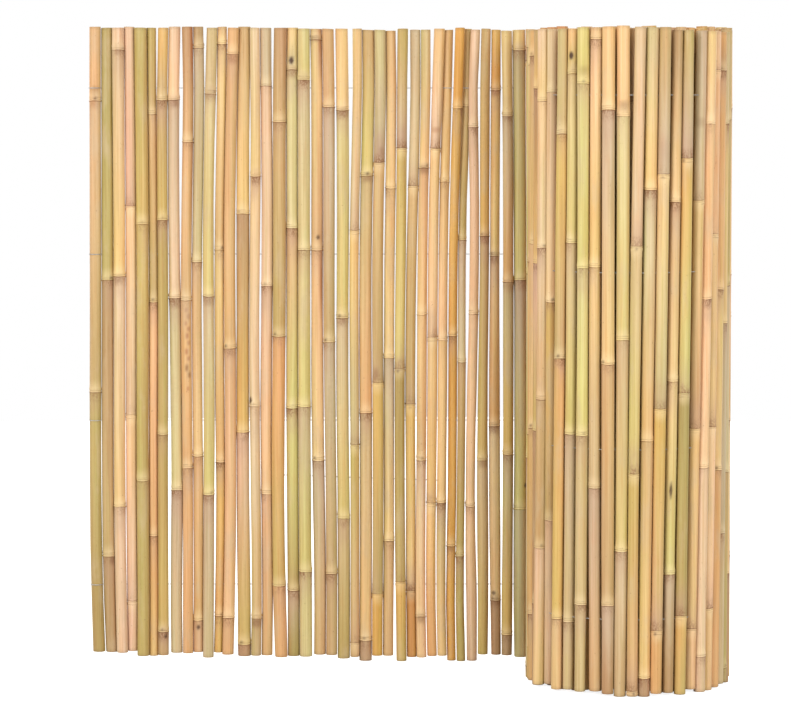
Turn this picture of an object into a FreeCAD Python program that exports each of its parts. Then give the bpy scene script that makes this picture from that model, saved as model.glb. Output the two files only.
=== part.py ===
import FreeCAD, Part
import os, math

V = FreeCAD.Vector

# Bamboo cane fence, strung on four wires, part unrolled and standing on end.
# X runs along the flat stretch to the right, Y away from the front, Z up.
# Origin: middle of the bounding box at floor level.  All sizes in mm.

# ---- driving dimensions
KNOT_TOP = 1006.0        # height of the highest knot of the cane table
KNOT_COUNT = 12          # knots of each cane's centre line, evenly spaced from the floor up
NODE_RIDGE = 0.45        # how far a node ring stands out from the cane
NODE_HALF = 4.0          # half height of a node ring
NODE_FLAT = 1.3          # half height of the flat crest of a node ring
BEND_TOL = 0.12          # a knot that lies this close to a straight line makes no bend
BORE_RATIO = 0.52        # hollow of a cane as a part of its outer radius
SEPTUM_HALF = 1.6        # half thickness of the wall inside each node
WIRE_R = 0.65            # galvanised binding wire
HOLE_R = 1.30            # hole drilled through a cane for a wire
LOOP_GAP = 0.45          # air between a cane and the wire loop round it
LOOP_BEND_R = 1.6        # bend where a wire leaves its hole to go round the end cane
WIRE_Z_FLAT = (912.0, 649.3, 385.1, 122.6)   # wire heights along the flat stretch
WIRE_Z_ROLL = (901.3, 636.6, 371.7, 115.7)   # wire heights in the roll
ROLL_R = 153.8           # centre line radius of the first half turn
TURN = 22.0              # distance from turn to turn
X_TANGENT = 337.6       # where the flat stretch runs into the roll
Y_FLAT = 150.6          # centre line of the flat stretch
STEP_DOWN_RUN = (136.0, 4.0)   # the wires step down between these distances before X_TANGENT
SHORT_WIRE = (-203.4, 297.7, 60.6, 288.7)      # x, z of both ends of the short extra wire

# ---- canes, in the order they are strung:
# radius, taper (share of the radius gained from foot to top), foot z, top z,
# node heights, centre line x, y at each knot
CANES = [
    (9.05, -0.050, 14.8, 1008.7, (429.8, 891.5), (-487.7, 150.6, -490.4, 150.6, -492.1, 150.6, -492.6, 150.6, -492.4, 150.6, -491.9, 150.5, -491.3, 150.4, -490.8, 150.3, -490.5, 150.2, -490.3, 150.2, -490.1, 150.2, -489.6, 150.3)),
    (9.20, -0.037, 14.0, 1007.1, (167.5, 608.1), (-467.5, 153.6, -470.9, 152.5, -472.6, 151.9, -473.2, 151.8, -473.1, 151.8, -472.7, 151.9, -472.2, 152.1, -471.8, 152.3, -471.6, 152.6, -471.5, 153.0, -471.5, 153.4, -471.1, 153.9)),
    (9.11, 0.050, 14.0, 1007.1, (247.6, 614.4, 971.9), (-450.3, 145.0, -452.3, 147.7, -453.6, 148.9, -454.1, 149.2, -454.0, 149.1, -453.6, 149.0, -453.2, 148.9, -452.8, 148.7, -452.7, 148.4, -452.9, 147.9, -453.2, 147.2, -453.3, 146.3)),
    (8.53, -0.005, 15.2, 1008.7, (96.9, 394.7, 725.4), (-434.8, 155.0, -434.8, 153.5, -435.4, 152.6, -435.8, 152.4, -435.7, 152.4, -435.4, 152.5, -434.9, 152.5, -434.5, 152.6, -434.5, 152.8, -434.8, 153.1, -435.4, 153.4, -436.0, 153.6)),
    (9.70, 0.016, 8.7, 1007.1, (289.3, 696.9), (-417.6, 146.6, -416.8, 146.8, -417.1, 147.0, -417.3, 147.1, -417.3, 147.2, -416.8, 147.3, -416.3, 147.4, -416.0, 147.4, -416.1, 147.2, -416.5, 147.0, -417.3, 146.8, -417.8, 147.2)),
    (7.28, 0.007, 7.5, 1007.1, (199.6, 573.1, 870.9), (-401.4, 154.0, -400.6, 154.2, -400.7, 154.2, -400.8, 154.1, -400.6, 153.9, -400.1, 153.8, -399.5, 153.8, -399.2, 154.0, -399.5, 154.3, -400.0, 154.2, -400.7, 153.9, -400.9, 153.7)),
    (8.23, 0.002, 9.5, 1007.1, (47.0, 362.8, 703.3, 893.0), (-385.5, 148.5, -385.2, 148.3, -385.3, 148.3, -385.3, 148.4, -385.0, 148.5, -384.4, 148.5, -383.9, 148.4, -383.8, 148.0, -384.3, 147.7, -384.6, 148.1, -384.0, 148.5, -381.9, 148.2)),
    (9.00, 0.033, 12.8, 1008.7, (273.3, 579.5, 893.0), (-364.4, 152.8, -365.0, 152.8, -364.1, 152.8, -363.1, 152.8, -363.4, 153.0, -364.2, 153.0, -365.1, 152.8, -366.2, 152.9, -366.8, 153.1, -366.9, 152.9, -366.1, 152.8, -364.2, 153.1)),
    (8.19, 0.050, 12.8, 1008.7, (308.5, 576.3, 826.7), (-346.3, 147.4, -346.0, 147.5, -345.6, 147.7, -345.6, 148.0, -346.1, 147.7, -346.9, 147.7, -347.5, 148.1, -347.0, 148.1, -345.6, 148.2, -343.8, 148.2, -342.6, 148.2, -343.9, 148.2)),
    (7.77, 0.050, 13.6, 1008.7, (64.7, 327.6, 636.6, 975.0), (-330.5, 152.4, -330.1, 152.3, -329.4, 151.9, -329.2, 151.4, -329.7, 151.5, -330.3, 151.4, -330.8, 151.3, -330.2, 151.3, -328.7, 151.3, -326.9, 151.3, -325.5, 151.2, -326.8, 151.3)),
    (8.30, -0.050, 5.9, 1007.1, (266.9, 582.6, 902.5), (-314.1, 147.7, -313.5, 148.3, -312.7, 148.4, -312.2, 148.7, -311.4, 148.7, -311.4, 148.7, -311.8, 148.7, -312.1, 148.7, -311.7, 148.7, -310.0, 148.7, -307.4, 148.7, -305.0, 148.2)),
    (7.39, 0.050, 12.8, 1008.7, (71.2, 318.0, 655.7, 981.3), (-298.7, 154.2, -296.5, 153.6, -294.6, 153.5, -293.8, 153.2, -294.3, 153.2, -295.0, 153.2, -295.4, 153.2, -294.9, 153.2, -293.8, 153.3, -291.9, 153.3, -290.1, 153.2, -289.2, 153.7)),
    (8.80, -0.050, 10.8, 1007.1, (69.6, 499.9, 965.6), (-283.0, 147.2, -280.5, 147.2, -278.5, 147.3, -277.6, 147.6, -277.3, 147.5, -277.5, 147.6, -278.1, 147.6, -278.3, 147.6, -277.6, 147.5, -275.8, 147.5, -273.7, 147.2, -271.1, 146.2)),
    (9.81, -0.019, 7.5, 1008.7, (26.1, 366.0, 712.8), (-256.6, 152.9, -256.8, 152.7, -257.7, 152.7, -258.3, 152.7, -258.3, 152.8, -258.2, 152.7, -257.8, 152.7, -257.4, 152.7, -257.1, 152.7, -256.8, 152.7, -255.3, 153.1, -254.2, 155.6)),
    (7.90, -0.024, 8.7, 1007.1, (67.9, 407.5, 772.9), (-238.2, 148.5, -236.4, 148.6, -236.7, 148.4, -237.8, 148.5, -238.7, 148.7, -239.5, 148.7, -239.4, 148.7, -238.6, 148.7, -237.3, 148.7, -236.4, 148.7, -237.0, 148.5, -237.7, 147.2)),
    (8.74, 0.037, 8.7, 1007.1, (266.9, 598.5, 915.1), (-220.8, 153.2, -219.4, 153.2, -219.9, 153.6, -220.8, 153.4, -221.4, 153.2, -220.8, 153.2, -219.7, 153.2, -218.7, 153.2, -218.4, 153.2, -219.0, 153.2, -220.0, 153.3, -220.6, 153.2)),
    (9.86, 0.018, 6.7, 1007.1, (121.0, 519.0, 858.3), (-197.3, 147.6, -199.9, 147.6, -201.5, 147.5, -202.2, 147.6, -201.8, 147.6, -200.8, 147.6, -199.7, 147.6, -199.1, 147.6, -199.0, 147.6, -199.1, 147.6, -198.7, 147.5, -197.1, 146.8)),
    (9.32, -0.010, 7.5, 1007.1, (112.9, 404.3, 690.6, 940.4), (-177.9, 153.0, -177.9, 153.0, -178.5, 152.9, -179.2, 152.9, -179.6, 153.0, -179.7, 153.0, -179.5, 153.0, -179.3, 153.1, -179.2, 153.0, -179.3, 153.1, -179.4, 153.3, -178.5, 154.6)),
    (9.60, -0.050, 7.5, 1005.6, (143.4, 407.5, 655.7, 924.6), (-158.2, 148.2, -158.3, 148.3, -158.9, 148.3, -159.6, 148.3, -160.1, 148.3, -160.3, 148.2, -160.2, 148.2, -160.1, 148.2, -160.0, 148.2, -160.1, 148.2, -160.4, 148.1, -160.2, 147.5)),
    (9.35, -0.050, 9.9, 1005.6, (321.2, 655.7, 987.6), (-136.1, 153.1, -135.5, 153.1, -136.1, 152.8, -137.6, 152.7, -138.9, 152.7, -139.6, 152.7, -139.8, 152.8, -139.8, 152.9, -139.6, 153.0, -139.4, 152.9, -139.7, 152.9, -141.0, 153.2)),
    (9.07, 0.050, 9.9, 1005.6, (140.2, 509.5, 882.0), (-117.4, 147.8, -116.8, 147.8, -117.2, 148.3, -117.8, 148.6, -118.9, 148.6, -119.9, 148.7, -120.8, 148.7, -120.9, 148.5, -120.7, 148.5, -120.4, 148.5, -120.8, 148.6, -122.3, 148.2)),
    (9.73, -0.050, 3.9, 1005.6, (228.4, 547.7, 877.2), (-98.0, 151.9, -97.6, 152.5, -97.7, 151.9, -98.2, 151.4, -99.3, 151.3, -99.9, 151.2, -99.6, 151.2, -99.0, 151.2, -98.6, 151.2, -98.7, 151.2, -99.4, 151.2, -100.7, 151.2)),
    (7.40, 0.050, 6.7, 1005.6, (29.3, 346.8, 687.4), (-80.3, 147.6, -80.2, 147.1, -80.0, 147.7, -80.0, 148.2, -80.1, 148.2, -80.7, 148.3, -81.2, 148.3, -81.1, 148.3, -79.7, 148.3, -77.3, 148.3, -75.4, 148.1, -75.9, 148.1)),
    (9.86, -0.029, 0.0, 1004.0, (32.6, 396.3, 772.9), (-63.2, 153.8, -63.1, 153.3, -62.6, 153.1, -62.4, 152.9, -62.4, 152.9, -63.0, 152.9, -63.4, 152.9, -63.0, 152.9, -61.6, 152.9, -59.6, 153.0, -57.8, 153.3, -58.5, 153.7)),
    (8.60, 0.050, 8.7, 1004.0, (108.1, 445.8, 795.1), (-44.6, 148.1, -44.3, 148.4, -43.3, 148.3, -43.0, 148.1, -43.1, 148.2, -43.4, 148.4, -43.9, 148.5, -43.8, 148.5, -42.6, 148.5, -40.6, 148.4, -39.0, 148.0, -40.0, 147.2)),
    (8.52, -0.050, 7.9, 1002.4, (191.6, 484.0, 753.9), (-27.4, 153.6, -26.9, 153.6, -26.0, 153.7, -25.9, 154.3, -26.0, 154.2, -26.1, 153.8, -25.7, 153.5, -24.9, 153.5, -23.5, 153.5, -22.5, 153.8, -21.9, 154.0, -23.3, 154.2)),
    (8.24, -0.020, 0.0, 1005.6, (127.4, 468.1, 817.2), (-5.8, 149.1, -6.8, 149.4, -8.1, 149.8, -8.7, 149.4, -8.8, 149.4, -8.8, 149.5, -8.3, 149.6, -7.0, 149.7, -6.2, 149.8, -5.4, 149.5, -4.9, 149.5, -3.8, 149.8)),
    (8.00, 0.050, 5.5, 1004.0, (111.3, 410.7, 757.1), (10.6, 154.0, 9.5, 154.7, 8.8, 154.0, 8.9, 153.3, 8.1, 153.2, 8.0, 153.3, 8.6, 153.3, 9.9, 153.2, 12.1, 153.2, 14.5, 153.3, 16.2, 153.3, 15.7, 153.2)),
    (7.82, -0.021, 5.9, 1004.0, (71.2, 321.2, 554.0, 785.6), (26.4, 148.5, 24.5, 147.3, 24.4, 147.7, 25.0, 148.5, 25.9, 148.7, 26.4, 148.7, 26.7, 148.7, 27.3, 148.7, 28.5, 148.7, 30.7, 148.5, 32.4, 148.5, 32.2, 148.7)),
    (7.83, 0.050, 7.9, 1005.6, (254.0, 517.4, 817.2), (43.1, 149.0, 40.9, 148.9, 40.9, 148.8, 41.6, 148.7, 42.5, 148.7, 43.0, 148.7, 43.4, 148.6, 44.0, 148.6, 45.3, 148.6, 47.7, 148.6, 51.0, 148.6, 54.0, 148.6)),
    (7.45, -0.011, 8.7, 1004.0, (254.0, 512.7, 763.4), (59.1, 147.3, 57.0, 147.3, 57.0, 147.2, 57.7, 147.0, 58.6, 147.0, 59.2, 147.4, 59.7, 148.7, 60.2, 151.2, 61.6, 153.6, 63.9, 156.1, 66.3, 158.1, 68.1, 159.6)),
    (6.97, 0.020, 0.0, 1007.1, (183.5, 519.0, 880.4), (73.9, 153.2, 72.2, 153.6, 73.1, 154.0, 74.6, 154.3, 75.2, 154.3, 75.5, 153.8, 75.5, 152.2, 76.1, 150.5, 77.8, 149.4, 80.4, 148.3, 83.8, 147.5, 86.3, 146.6)),
    (6.42, -0.050, 0.0, 1005.6, (167.5, 477.6, 671.5, 883.6), (89.0, 148.2, 87.0, 148.7, 87.3, 149.1, 88.3, 149.6, 89.3, 150.9, 89.8, 152.1, 89.8, 153.1, 90.1, 154.0, 91.4, 155.3, 94.3, 157.1, 97.4, 159.2, 98.7, 161.1)),
    (7.63, -0.050, 0.0, 1004.0, (247.6, 554.0, 850.4), (106.4, 153.0, 106.0, 152.8, 104.2, 152.6, 103.4, 152.1, 104.4, 151.1, 106.3, 150.1, 108.4, 149.3, 109.6, 148.9, 109.7, 148.7, 108.0, 148.4, 107.2, 148.0, 110.9, 147.6)),
    (7.54, -0.050, 10.8, 1005.6, (321.2, 677.9), (123.6, 148.3, 124.3, 148.3, 123.7, 148.3, 123.0, 148.3, 122.8, 148.3, 123.4, 148.3, 124.6, 148.3, 125.6, 148.2, 125.7, 148.3, 125.8, 148.3, 126.0, 148.3, 127.5, 148.3)),
    (7.63, -0.050, 9.5, 1004.0, (96.9, 375.6, 646.2, 908.8), (145.2, 152.7, 144.1, 152.7, 143.2, 152.7, 142.4, 152.7, 142.0, 152.7, 141.8, 152.7, 141.7, 152.7, 141.9, 152.7, 142.1, 152.7, 142.5, 152.7, 143.2, 152.8, 143.5, 153.2)),
    (8.31, 0.048, 9.5, 1002.4, (42.2, 330.8, 604.9, 867.8), (162.0, 148.2, 162.4, 148.2, 163.0, 148.2, 163.4, 148.2, 163.6, 148.2, 163.6, 148.2, 163.5, 148.2, 163.3, 148.2, 163.0, 148.2, 162.3, 148.1, 161.2, 148.2, 159.6, 147.8)),
    (9.86, 0.042, 5.9, 1004.0, (242.8, 608.1, 971.9), (184.0, 153.4, 182.8, 153.4, 182.6, 153.4, 182.8, 153.4, 183.1, 153.5, 183.0, 153.6, 182.6, 153.6, 182.1, 153.6, 181.6, 153.6, 180.9, 153.7, 180.1, 153.5, 179.2, 153.4)),
    (7.66, 0.004, 1.0, 1004.7, (219.4, 591.7, 954.0), (202.3, 148.2, 201.9, 148.2, 201.6, 148.2, 201.2, 148.2, 200.8, 148.2, 200.6, 148.1, 200.3, 148.0, 199.9, 148.0, 199.3, 148.0, 198.8, 148.1, 198.0, 148.1, 197.4, 148.2)),
    (7.64, 0.015, 0.0, 1001.1, (76.7, 380.2, 666.3, 951.1), (221.1, 153.0, 220.5, 153.0, 220.0, 153.0, 219.4, 153.0, 218.7, 153.0, 218.2, 153.0, 217.7, 153.0, 217.2, 153.0, 216.7, 153.0, 216.1, 153.0, 215.5, 153.0, 214.9, 153.0)),
    (7.69, 0.039, 2.0, 1002.9, (52.9, 311.7, 592.9, 918.9), (240.0, 148.3, 239.5, 148.3, 239.0, 148.3, 238.5, 148.3, 238.0, 148.3, 237.5, 148.3, 237.0, 148.3, 236.4, 148.3, 235.7, 148.3, 235.0, 148.3, 234.4, 148.3, 233.9, 148.3)),
    (8.08, 0.026, 0.0, 1001.4, (262.2, 576.8, 913.4), (258.5, 152.6, 257.9, 152.6, 257.3, 152.6, 256.7, 152.6, 256.1, 152.6, 255.4, 152.6, 254.7, 152.6, 254.0, 152.6, 253.3, 152.6, 252.5, 152.6, 251.7, 152.6, 251.0, 152.6)),
    (8.83, 0.002, 5.5, 1002.1, (83.2, 338.1, 658.3, 937.3), (277.2, 148.4, 276.5, 148.5, 275.8, 148.6, 275.1, 148.6, 274.4, 148.7, 273.8, 148.7, 273.1, 148.7, 272.4, 148.6, 271.7, 148.6, 271.0, 148.6, 270.3, 148.6, 269.6, 148.6)),
    (8.83, 0.022, 4.0, 1003.4, (307.7, 614.8, 985.0), (295.0, 153.5, 294.4, 153.5, 293.7, 153.4, 293.1, 153.3, 292.5, 153.3, 291.8, 153.3, 291.2, 153.3, 290.5, 153.3, 289.8, 153.4, 289.1, 153.4, 288.4, 153.4, 287.8, 153.4)),
    (8.24, -0.021, 2.0, 1001.3, (40.1, 325.9, 650.4, 951.9), (314.6, 148.0, 313.7, 148.0, 312.8, 148.0, 312.1, 148.0, 311.4, 148.0, 310.6, 148.0, 309.9, 148.0, 309.1, 148.0, 308.3, 148.0, 307.5, 148.0, 306.7, 148.0, 305.8, 148.0)),
    (8.04, 0.005, 5.5, 1004.2, (230.6, 565.5, 935.3), (332.8, 153.0, 332.0, 153.0, 331.1, 153.0, 330.3, 153.0, 329.5, 153.0, 328.6, 153.0, 327.6, 153.0, 326.6, 153.0, 325.7, 153.0, 324.9, 153.0, 324.3, 153.0, 323.5, 153.0)),
    (7.70, 0.035, 2.0, 1000.2, (279.4, 575.3, 891.8), (351.2, 147.7, 350.5, 147.8, 349.7, 147.9, 348.9, 147.9, 348.0, 148.0, 347.2, 148.0, 346.3, 148.1, 345.4, 148.2, 344.5, 148.2, 343.6, 148.3, 342.7, 148.3, 341.9, 148.3)),
    (8.74, 0.006, 3.0, 1000.7, (194.2, 530.0, 866.8), (370.3, 149.9, 369.4, 150.1, 368.4, 150.3, 367.5, 150.5, 366.6, 150.7, 365.6, 150.8, 364.6, 151.0, 363.6, 151.2, 362.8, 151.3, 361.9, 151.5, 360.8, 151.6, 359.8, 151.8)),
    (7.77, 0.020, 0.0, 1002.4, (69.9, 277.4, 488.3, 749.0, 981.2), (387.1, 140.2, 386.3, 140.5, 385.3, 140.8, 384.3, 141.1, 383.3, 141.5, 382.3, 141.8, 381.4, 142.0, 380.4, 142.3, 379.4, 142.6, 378.5, 142.9, 377.7, 143.1, 376.9, 143.3)),
    (8.05, 0.008, 2.0, 1002.0, (106.2, 409.8, 696.1, 955.4), (405.5, 137.2, 404.6, 137.6, 403.7, 138.1, 402.9, 138.4, 402.1, 138.8, 401.3, 139.2, 400.4, 139.6, 399.5, 140.0, 398.5, 140.4, 397.6, 140.8, 396.8, 141.1, 396.0, 141.4)),
    (8.60, 0.016, 2.0, 1004.2, (103.5, 361.3, 660.3, 973.3), (419.8, 123.7, 418.9, 124.2, 417.9, 124.8, 417.1, 125.4, 416.2, 125.9, 415.3, 126.4, 414.4, 127.0, 413.4, 127.5, 412.5, 128.1, 411.7, 128.5, 410.9, 129.0, 410.1, 129.4)),
    (8.03, 0.006, 0.0, 1000.0, (270.3, 609.9, 887.1), (436.9, 115.4, 436.1, 116.1, 435.2, 116.8, 434.4, 117.5, 433.6, 118.1, 432.7, 118.8, 431.8, 119.5, 430.9, 120.2, 429.9, 120.9, 429.0, 121.6, 428.2, 122.2, 427.3, 122.9)),
    (8.38, -0.011, 4.0, 1005.4, (279.0, 598.4, 891.3), (447.6, 101.6, 446.9, 102.3, 446.2, 103.0, 445.5, 103.7, 444.8, 104.5, 444.0, 105.2, 443.2, 106.0, 442.3, 106.8, 441.5, 107.6, 440.6, 108.4, 439.8, 109.2, 439.0, 109.9)),
    (7.73, 0.021, 0.0, 1002.8, (226.0, 547.6, 919.4), (462.9, 89.5, 462.1, 90.5, 461.4, 91.5, 460.7, 92.4, 459.9, 93.4, 459.2, 94.3, 458.4, 95.2, 457.7, 96.1, 457.0, 96.9, 456.3, 97.8, 455.6, 98.6, 454.8, 99.5)),
    (8.65, -0.014, 1.0, 1002.8, (226.3, 568.1, 914.6), (468.9, 71.6, 468.3, 72.7, 467.6, 73.7, 467.0, 74.8, 466.4, 75.8, 465.8, 76.7, 465.1, 77.7, 464.5, 78.7, 463.9, 79.7, 463.3, 80.6, 462.6, 81.6, 462.0, 82.6)),
    (8.86, -0.010, 0.0, 1001.8, (100.0, 385.6, 618.1, 869.1), (479.7, 56.4, 479.2, 57.6, 478.7, 58.8, 478.2, 60.0, 477.7, 61.1, 477.2, 62.2, 476.7, 63.3, 476.2, 64.4, 475.6, 65.4, 475.1, 66.5, 474.5, 67.5, 474.0, 68.6)),
    (7.95, -0.007, 5.5, 1002.9, (234.7, 589.6, 950.8), (485.4, 38.1, 485.1, 39.3, 484.8, 40.4, 484.4, 41.5, 484.1, 42.7, 483.6, 44.0, 483.2, 45.4, 482.8, 46.7, 482.3, 48.0, 481.9, 49.2, 481.4, 50.5, 480.9, 51.7)),
    (8.79, 0.004, 1.0, 1005.4, (71.9, 358.6, 627.1, 886.0), (489.9, 20.4, 489.7, 21.7, 489.4, 23.0, 489.2, 24.3, 488.9, 25.7, 488.7, 27.0, 488.4, 28.4, 488.1, 29.7, 487.8, 31.1, 487.5, 32.4, 487.2, 33.7, 486.9, 35.0)),
    (8.58, -0.014, 3.0, 1003.0, (227.5, 524.6, 891.8), (491.0, 2.0, 490.9, 3.3, 490.9, 4.7, 490.8, 6.0, 490.7, 7.3, 490.6, 8.7, 490.5, 10.1, 490.3, 11.5, 490.2, 12.8, 490.1, 14.2, 489.9, 15.5, 489.7, 16.9)),
    (8.37, -0.034, 5.5, 1004.0, (192.4, 561.5, 891.8), (491.3, -16.2, 491.4, -14.8, 491.5, -13.4, 491.5, -12.0, 491.6, -10.7, 491.7, -9.2, 491.7, -7.8, 491.7, -6.4, 491.8, -5.0, 491.8, -3.6, 491.8, -2.2, 491.8, -0.8)),
    (8.44, -0.024, 0.0, 999.8, (167.8, 403.9, 627.1, 880.0), (487.7, -35.1, 488.0, -33.6, 488.3, -32.1, 488.6, -30.6, 488.8, -29.2, 489.1, -27.7, 489.3, -26.3, 489.5, -24.9, 489.7, -23.4, 489.9, -21.8, 490.1, -20.3, 490.2, -18.8)),
    (7.82, -0.004, 4.0, 999.5, (25.2, 326.0, 611.2, 863.5), (483.5, -52.4, 484.0, -51.1, 484.4, -49.8, 484.8, -48.4, 485.2, -47.0, 485.7, -45.5, 486.1, -44.0, 486.5, -42.6, 486.8, -41.3, 487.2, -39.9, 487.5, -38.4, 487.8, -37.0)),
    (8.14, -0.034, 4.0, 996.7, (235.0, 555.0, 858.2), (476.2, -69.0, 476.8, -67.7, 477.4, -66.5, 478.0, -65.2, 478.6, -63.8, 479.3, -62.2, 479.9, -60.7, 480.4, -59.4, 480.9, -58.0, 481.5, -56.6, 482.0, -55.2, 482.5, -53.7)),
    (8.34, 0.037, 2.0, 996.2, (333.0, 606.9, 937.5), (467.3, -86.4, 468.2, -85.0, 469.1, -83.6, 470.0, -82.1, 470.8, -80.7, 471.6, -79.3, 472.4, -77.8, 473.2, -76.4, 474.0, -75.0, 474.7, -73.6, 475.5, -72.1, 476.2, -70.6)),
    (8.11, -0.002, 0.0, 997.1, (125.2, 400.3, 692.6, 938.9), (456.0, -100.8, 457.0, -99.5, 458.0, -98.2, 459.1, -96.9, 460.2, -95.5, 461.2, -94.1, 462.1, -92.9, 462.9, -91.7, 463.9, -90.3, 464.9, -88.8, 465.8, -87.3, 466.7, -85.7)),
    (8.48, -0.011, 0.0, 997.0, (53.7, 340.1, 595.1, 857.8), (444.4, -114.6, 445.4, -113.5, 446.5, -112.3, 447.6, -111.1, 448.8, -109.9, 450.0, -108.6, 451.2, -107.4, 452.6, -106.0, 453.9, -104.9, 455.5, -103.7, 457.1, -102.5, 458.8, -101.4)),
    (8.26, 0.000, 5.6, 997.7, (97.5, 400.9, 744.1), (429.0, -123.5, 430.2, -122.7, 431.4, -121.8, 432.7, -120.8, 434.0, -119.8, 435.3, -118.6, 436.7, -117.5, 438.0, -116.2, 439.3, -114.9, 440.6, -113.4, 442.0, -111.7, 443.3, -109.8)),
    (7.95, 0.000, 0.8, 998.3, (119.5, 455.1, 807.3), (412.4, -139.9, 413.3, -139.4, 414.1, -138.9, 415.0, -138.4, 415.8, -137.9, 416.7, -137.5, 417.5, -137.0, 418.3, -136.5, 419.1, -136.0, 419.9, -135.5, 420.6, -135.0, 421.4, -134.6)),
    (7.64, 0.000, 4.1, 998.5, (183.1, 474.0, 741.9), (393.7, -144.1, 394.6, -143.7, 395.6, -143.3, 396.5, -142.9, 397.5, -142.5, 398.5, -142.1, 399.5, -141.6, 400.5, -141.2, 401.6, -140.7, 402.6, -140.2, 403.7, -139.7, 404.8, -139.2)),
    (8.21, 0.000, 4.6, 1002.1, (99.5, 434.0, 783.8), (375.3, -154.8, 376.2, -154.5, 377.3, -154.2, 378.3, -153.9, 379.3, -153.7, 380.3, -153.4, 381.2, -153.1, 382.1, -152.9, 383.0, -152.6, 383.9, -152.3, 384.7, -152.1, 385.5, -151.8)),
    (9.09, 0.000, 0.0, 1002.0, (27.6, 385.0, 760.2), (357.1, -152.7, 357.9, -152.6, 358.6, -152.5, 359.4, -152.4, 360.2, -152.3, 361.0, -152.1, 361.8, -152.0, 362.7, -151.9, 363.6, -151.7, 364.5, -151.6, 365.5, -151.4, 366.4, -151.2)),
    (7.62, 0.000, 1.3, 1002.5, (9.7, 337.1, 676.8), (339.4, -159.3, 339.5, -159.3, 339.8, -159.3, 340.2, -159.3, 340.7, -159.3, 341.3, -159.3, 342.1, -159.2, 343.0, -159.2, 344.1, -159.2, 345.3, -159.1, 346.6, -159.0, 348.0, -159.0)),
    (9.08, 0.000, 0.2, 1004.2, (219.6, 536.4, 870.1), (321.3, -153.8, 321.7, -154.1, 322.3, -154.1, 322.8, -154.2, 323.2, -154.2, 323.4, -154.2, 323.6, -154.3, 323.7, -154.3, 323.6, -154.3, 323.4, -154.2, 323.2, -154.2, 322.8, -154.2)),
    (8.65, 0.000, 4.2, 1003.0, (137.5, 500.2, 879.0), (302.7, -155.8, 302.8, -155.6, 302.5, -155.5, 302.3, -155.4, 302.1, -155.4, 301.9, -155.3, 301.7, -155.3, 301.6, -155.2, 301.4, -155.2, 301.2, -155.2, 301.1, -155.1, 301.0, -155.1)),
    (8.52, 0.000, 6.6, 1002.0, (313.2, 644.9, 984.4), (285.3, -144.0, 284.5, -143.7, 283.9, -143.4, 283.4, -143.2, 283.0, -143.1, 282.8, -143.0, 282.7, -142.9, 282.7, -142.9, 282.9, -143.0, 283.2, -143.1, 283.6, -143.3, 284.2, -143.5)),
    (8.39, 0.000, 4.9, 1002.1, (136.5, 392.0, 642.9, 917.6), (262.1, -138.3, 262.7, -138.7, 263.3, -139.0, 263.8, -139.3, 264.1, -139.5, 264.4, -139.7, 264.6, -139.8, 264.7, -139.8, 264.8, -139.8, 264.7, -139.8, 264.5, -139.7, 264.3, -139.6)),
    (7.37, 0.000, 4.8, 1000.8, (107.3, 392.3, 679.8, 932.6), (245.6, -120.4, 246.3, -121.0, 246.9, -121.5, 247.4, -122.0, 247.9, -122.4, 248.3, -122.8, 248.7, -123.1, 249.0, -123.3, 249.3, -123.5, 249.5, -123.7, 249.6, -123.8, 249.8, -123.8)),
    (7.84, 0.000, 3.2, 1000.5, (111.0, 505.7, 842.8), (228.7, -110.5, 229.3, -111.3, 229.9, -112.0, 230.6, -112.6, 231.2, -113.3, 231.8, -113.9, 232.4, -114.5, 232.9, -115.1, 233.5, -115.7, 234.0, -116.3, 234.6, -116.8, 234.9, -117.3)),
    (7.72, 0.000, 5.9, 1000.5, (257.8, 589.1, 905.7), (218.8, -82.2, 219.0, -84.2, 219.2, -86.2, 219.3, -87.7, 219.4, -88.8, 219.6, -89.5, 219.8, -90.0, 220.0, -90.4, 220.2, -90.6, 220.3, -90.7, 220.5, -90.6, 220.7, -90.4)),
    (8.81, -0.016, 4.0, 1000.5, (213.7, 439.9, 670.2, 891.8), (202.6, -75.5, 203.7, -75.8, 204.8, -76.1, 205.9, -76.4, 206.8, -76.6, 207.4, -76.9, 207.9, -77.2, 208.1, -77.5, 208.2, -77.8, 208.2, -78.1, 208.0, -78.4, 207.8, -78.6)),
    (8.61, 0.018, 0.0, 1000.1, (125.2, 390.8, 646.1, 910.8), (202.5, -57.1, 202.5, -57.4, 202.5, -57.8, 202.5, -58.3, 202.5, -58.7, 202.5, -59.1, 202.6, -59.5, 202.7, -59.9, 202.8, -60.2, 202.9, -60.5, 203.0, -60.6, 203.0, -60.8)),
    (8.44, -0.024, 4.0, 1000.0, (106.2, 393.5, 674.6, 960.1), (196.6, -40.0, 196.6, -40.3, 196.7, -40.7, 196.8, -41.1, 196.9, -41.5, 197.1, -41.9, 197.2, -42.3, 197.3, -42.7, 197.3, -43.0, 197.4, -43.2, 197.4, -43.3, 197.5, -43.5)),
    (8.01, -0.008, 3.0, 999.9, (53.1, 381.2, 646.1, 947.2), (195.3, -22.4, 195.3, -22.6, 195.3, -22.9, 195.3, -23.2, 195.4, -23.4, 195.4, -23.7, 195.4, -24.0, 195.4, -24.3, 195.4, -24.6, 195.5, -24.8, 195.5, -25.0, 195.5, -25.3)),
    (8.43, 0.006, 2.0, 999.8, (19.2, 342.9, 627.1, 974.2), (194.9, -4.0, 194.8, -4.2, 194.8, -4.6, 194.8, -4.9, 194.8, -5.3, 194.8, -5.5, 194.8, -5.6, 194.8, -5.7, 194.7, -5.9, 194.7, -6.2, 194.7, -6.6, 194.7, -7.0)),
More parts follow.
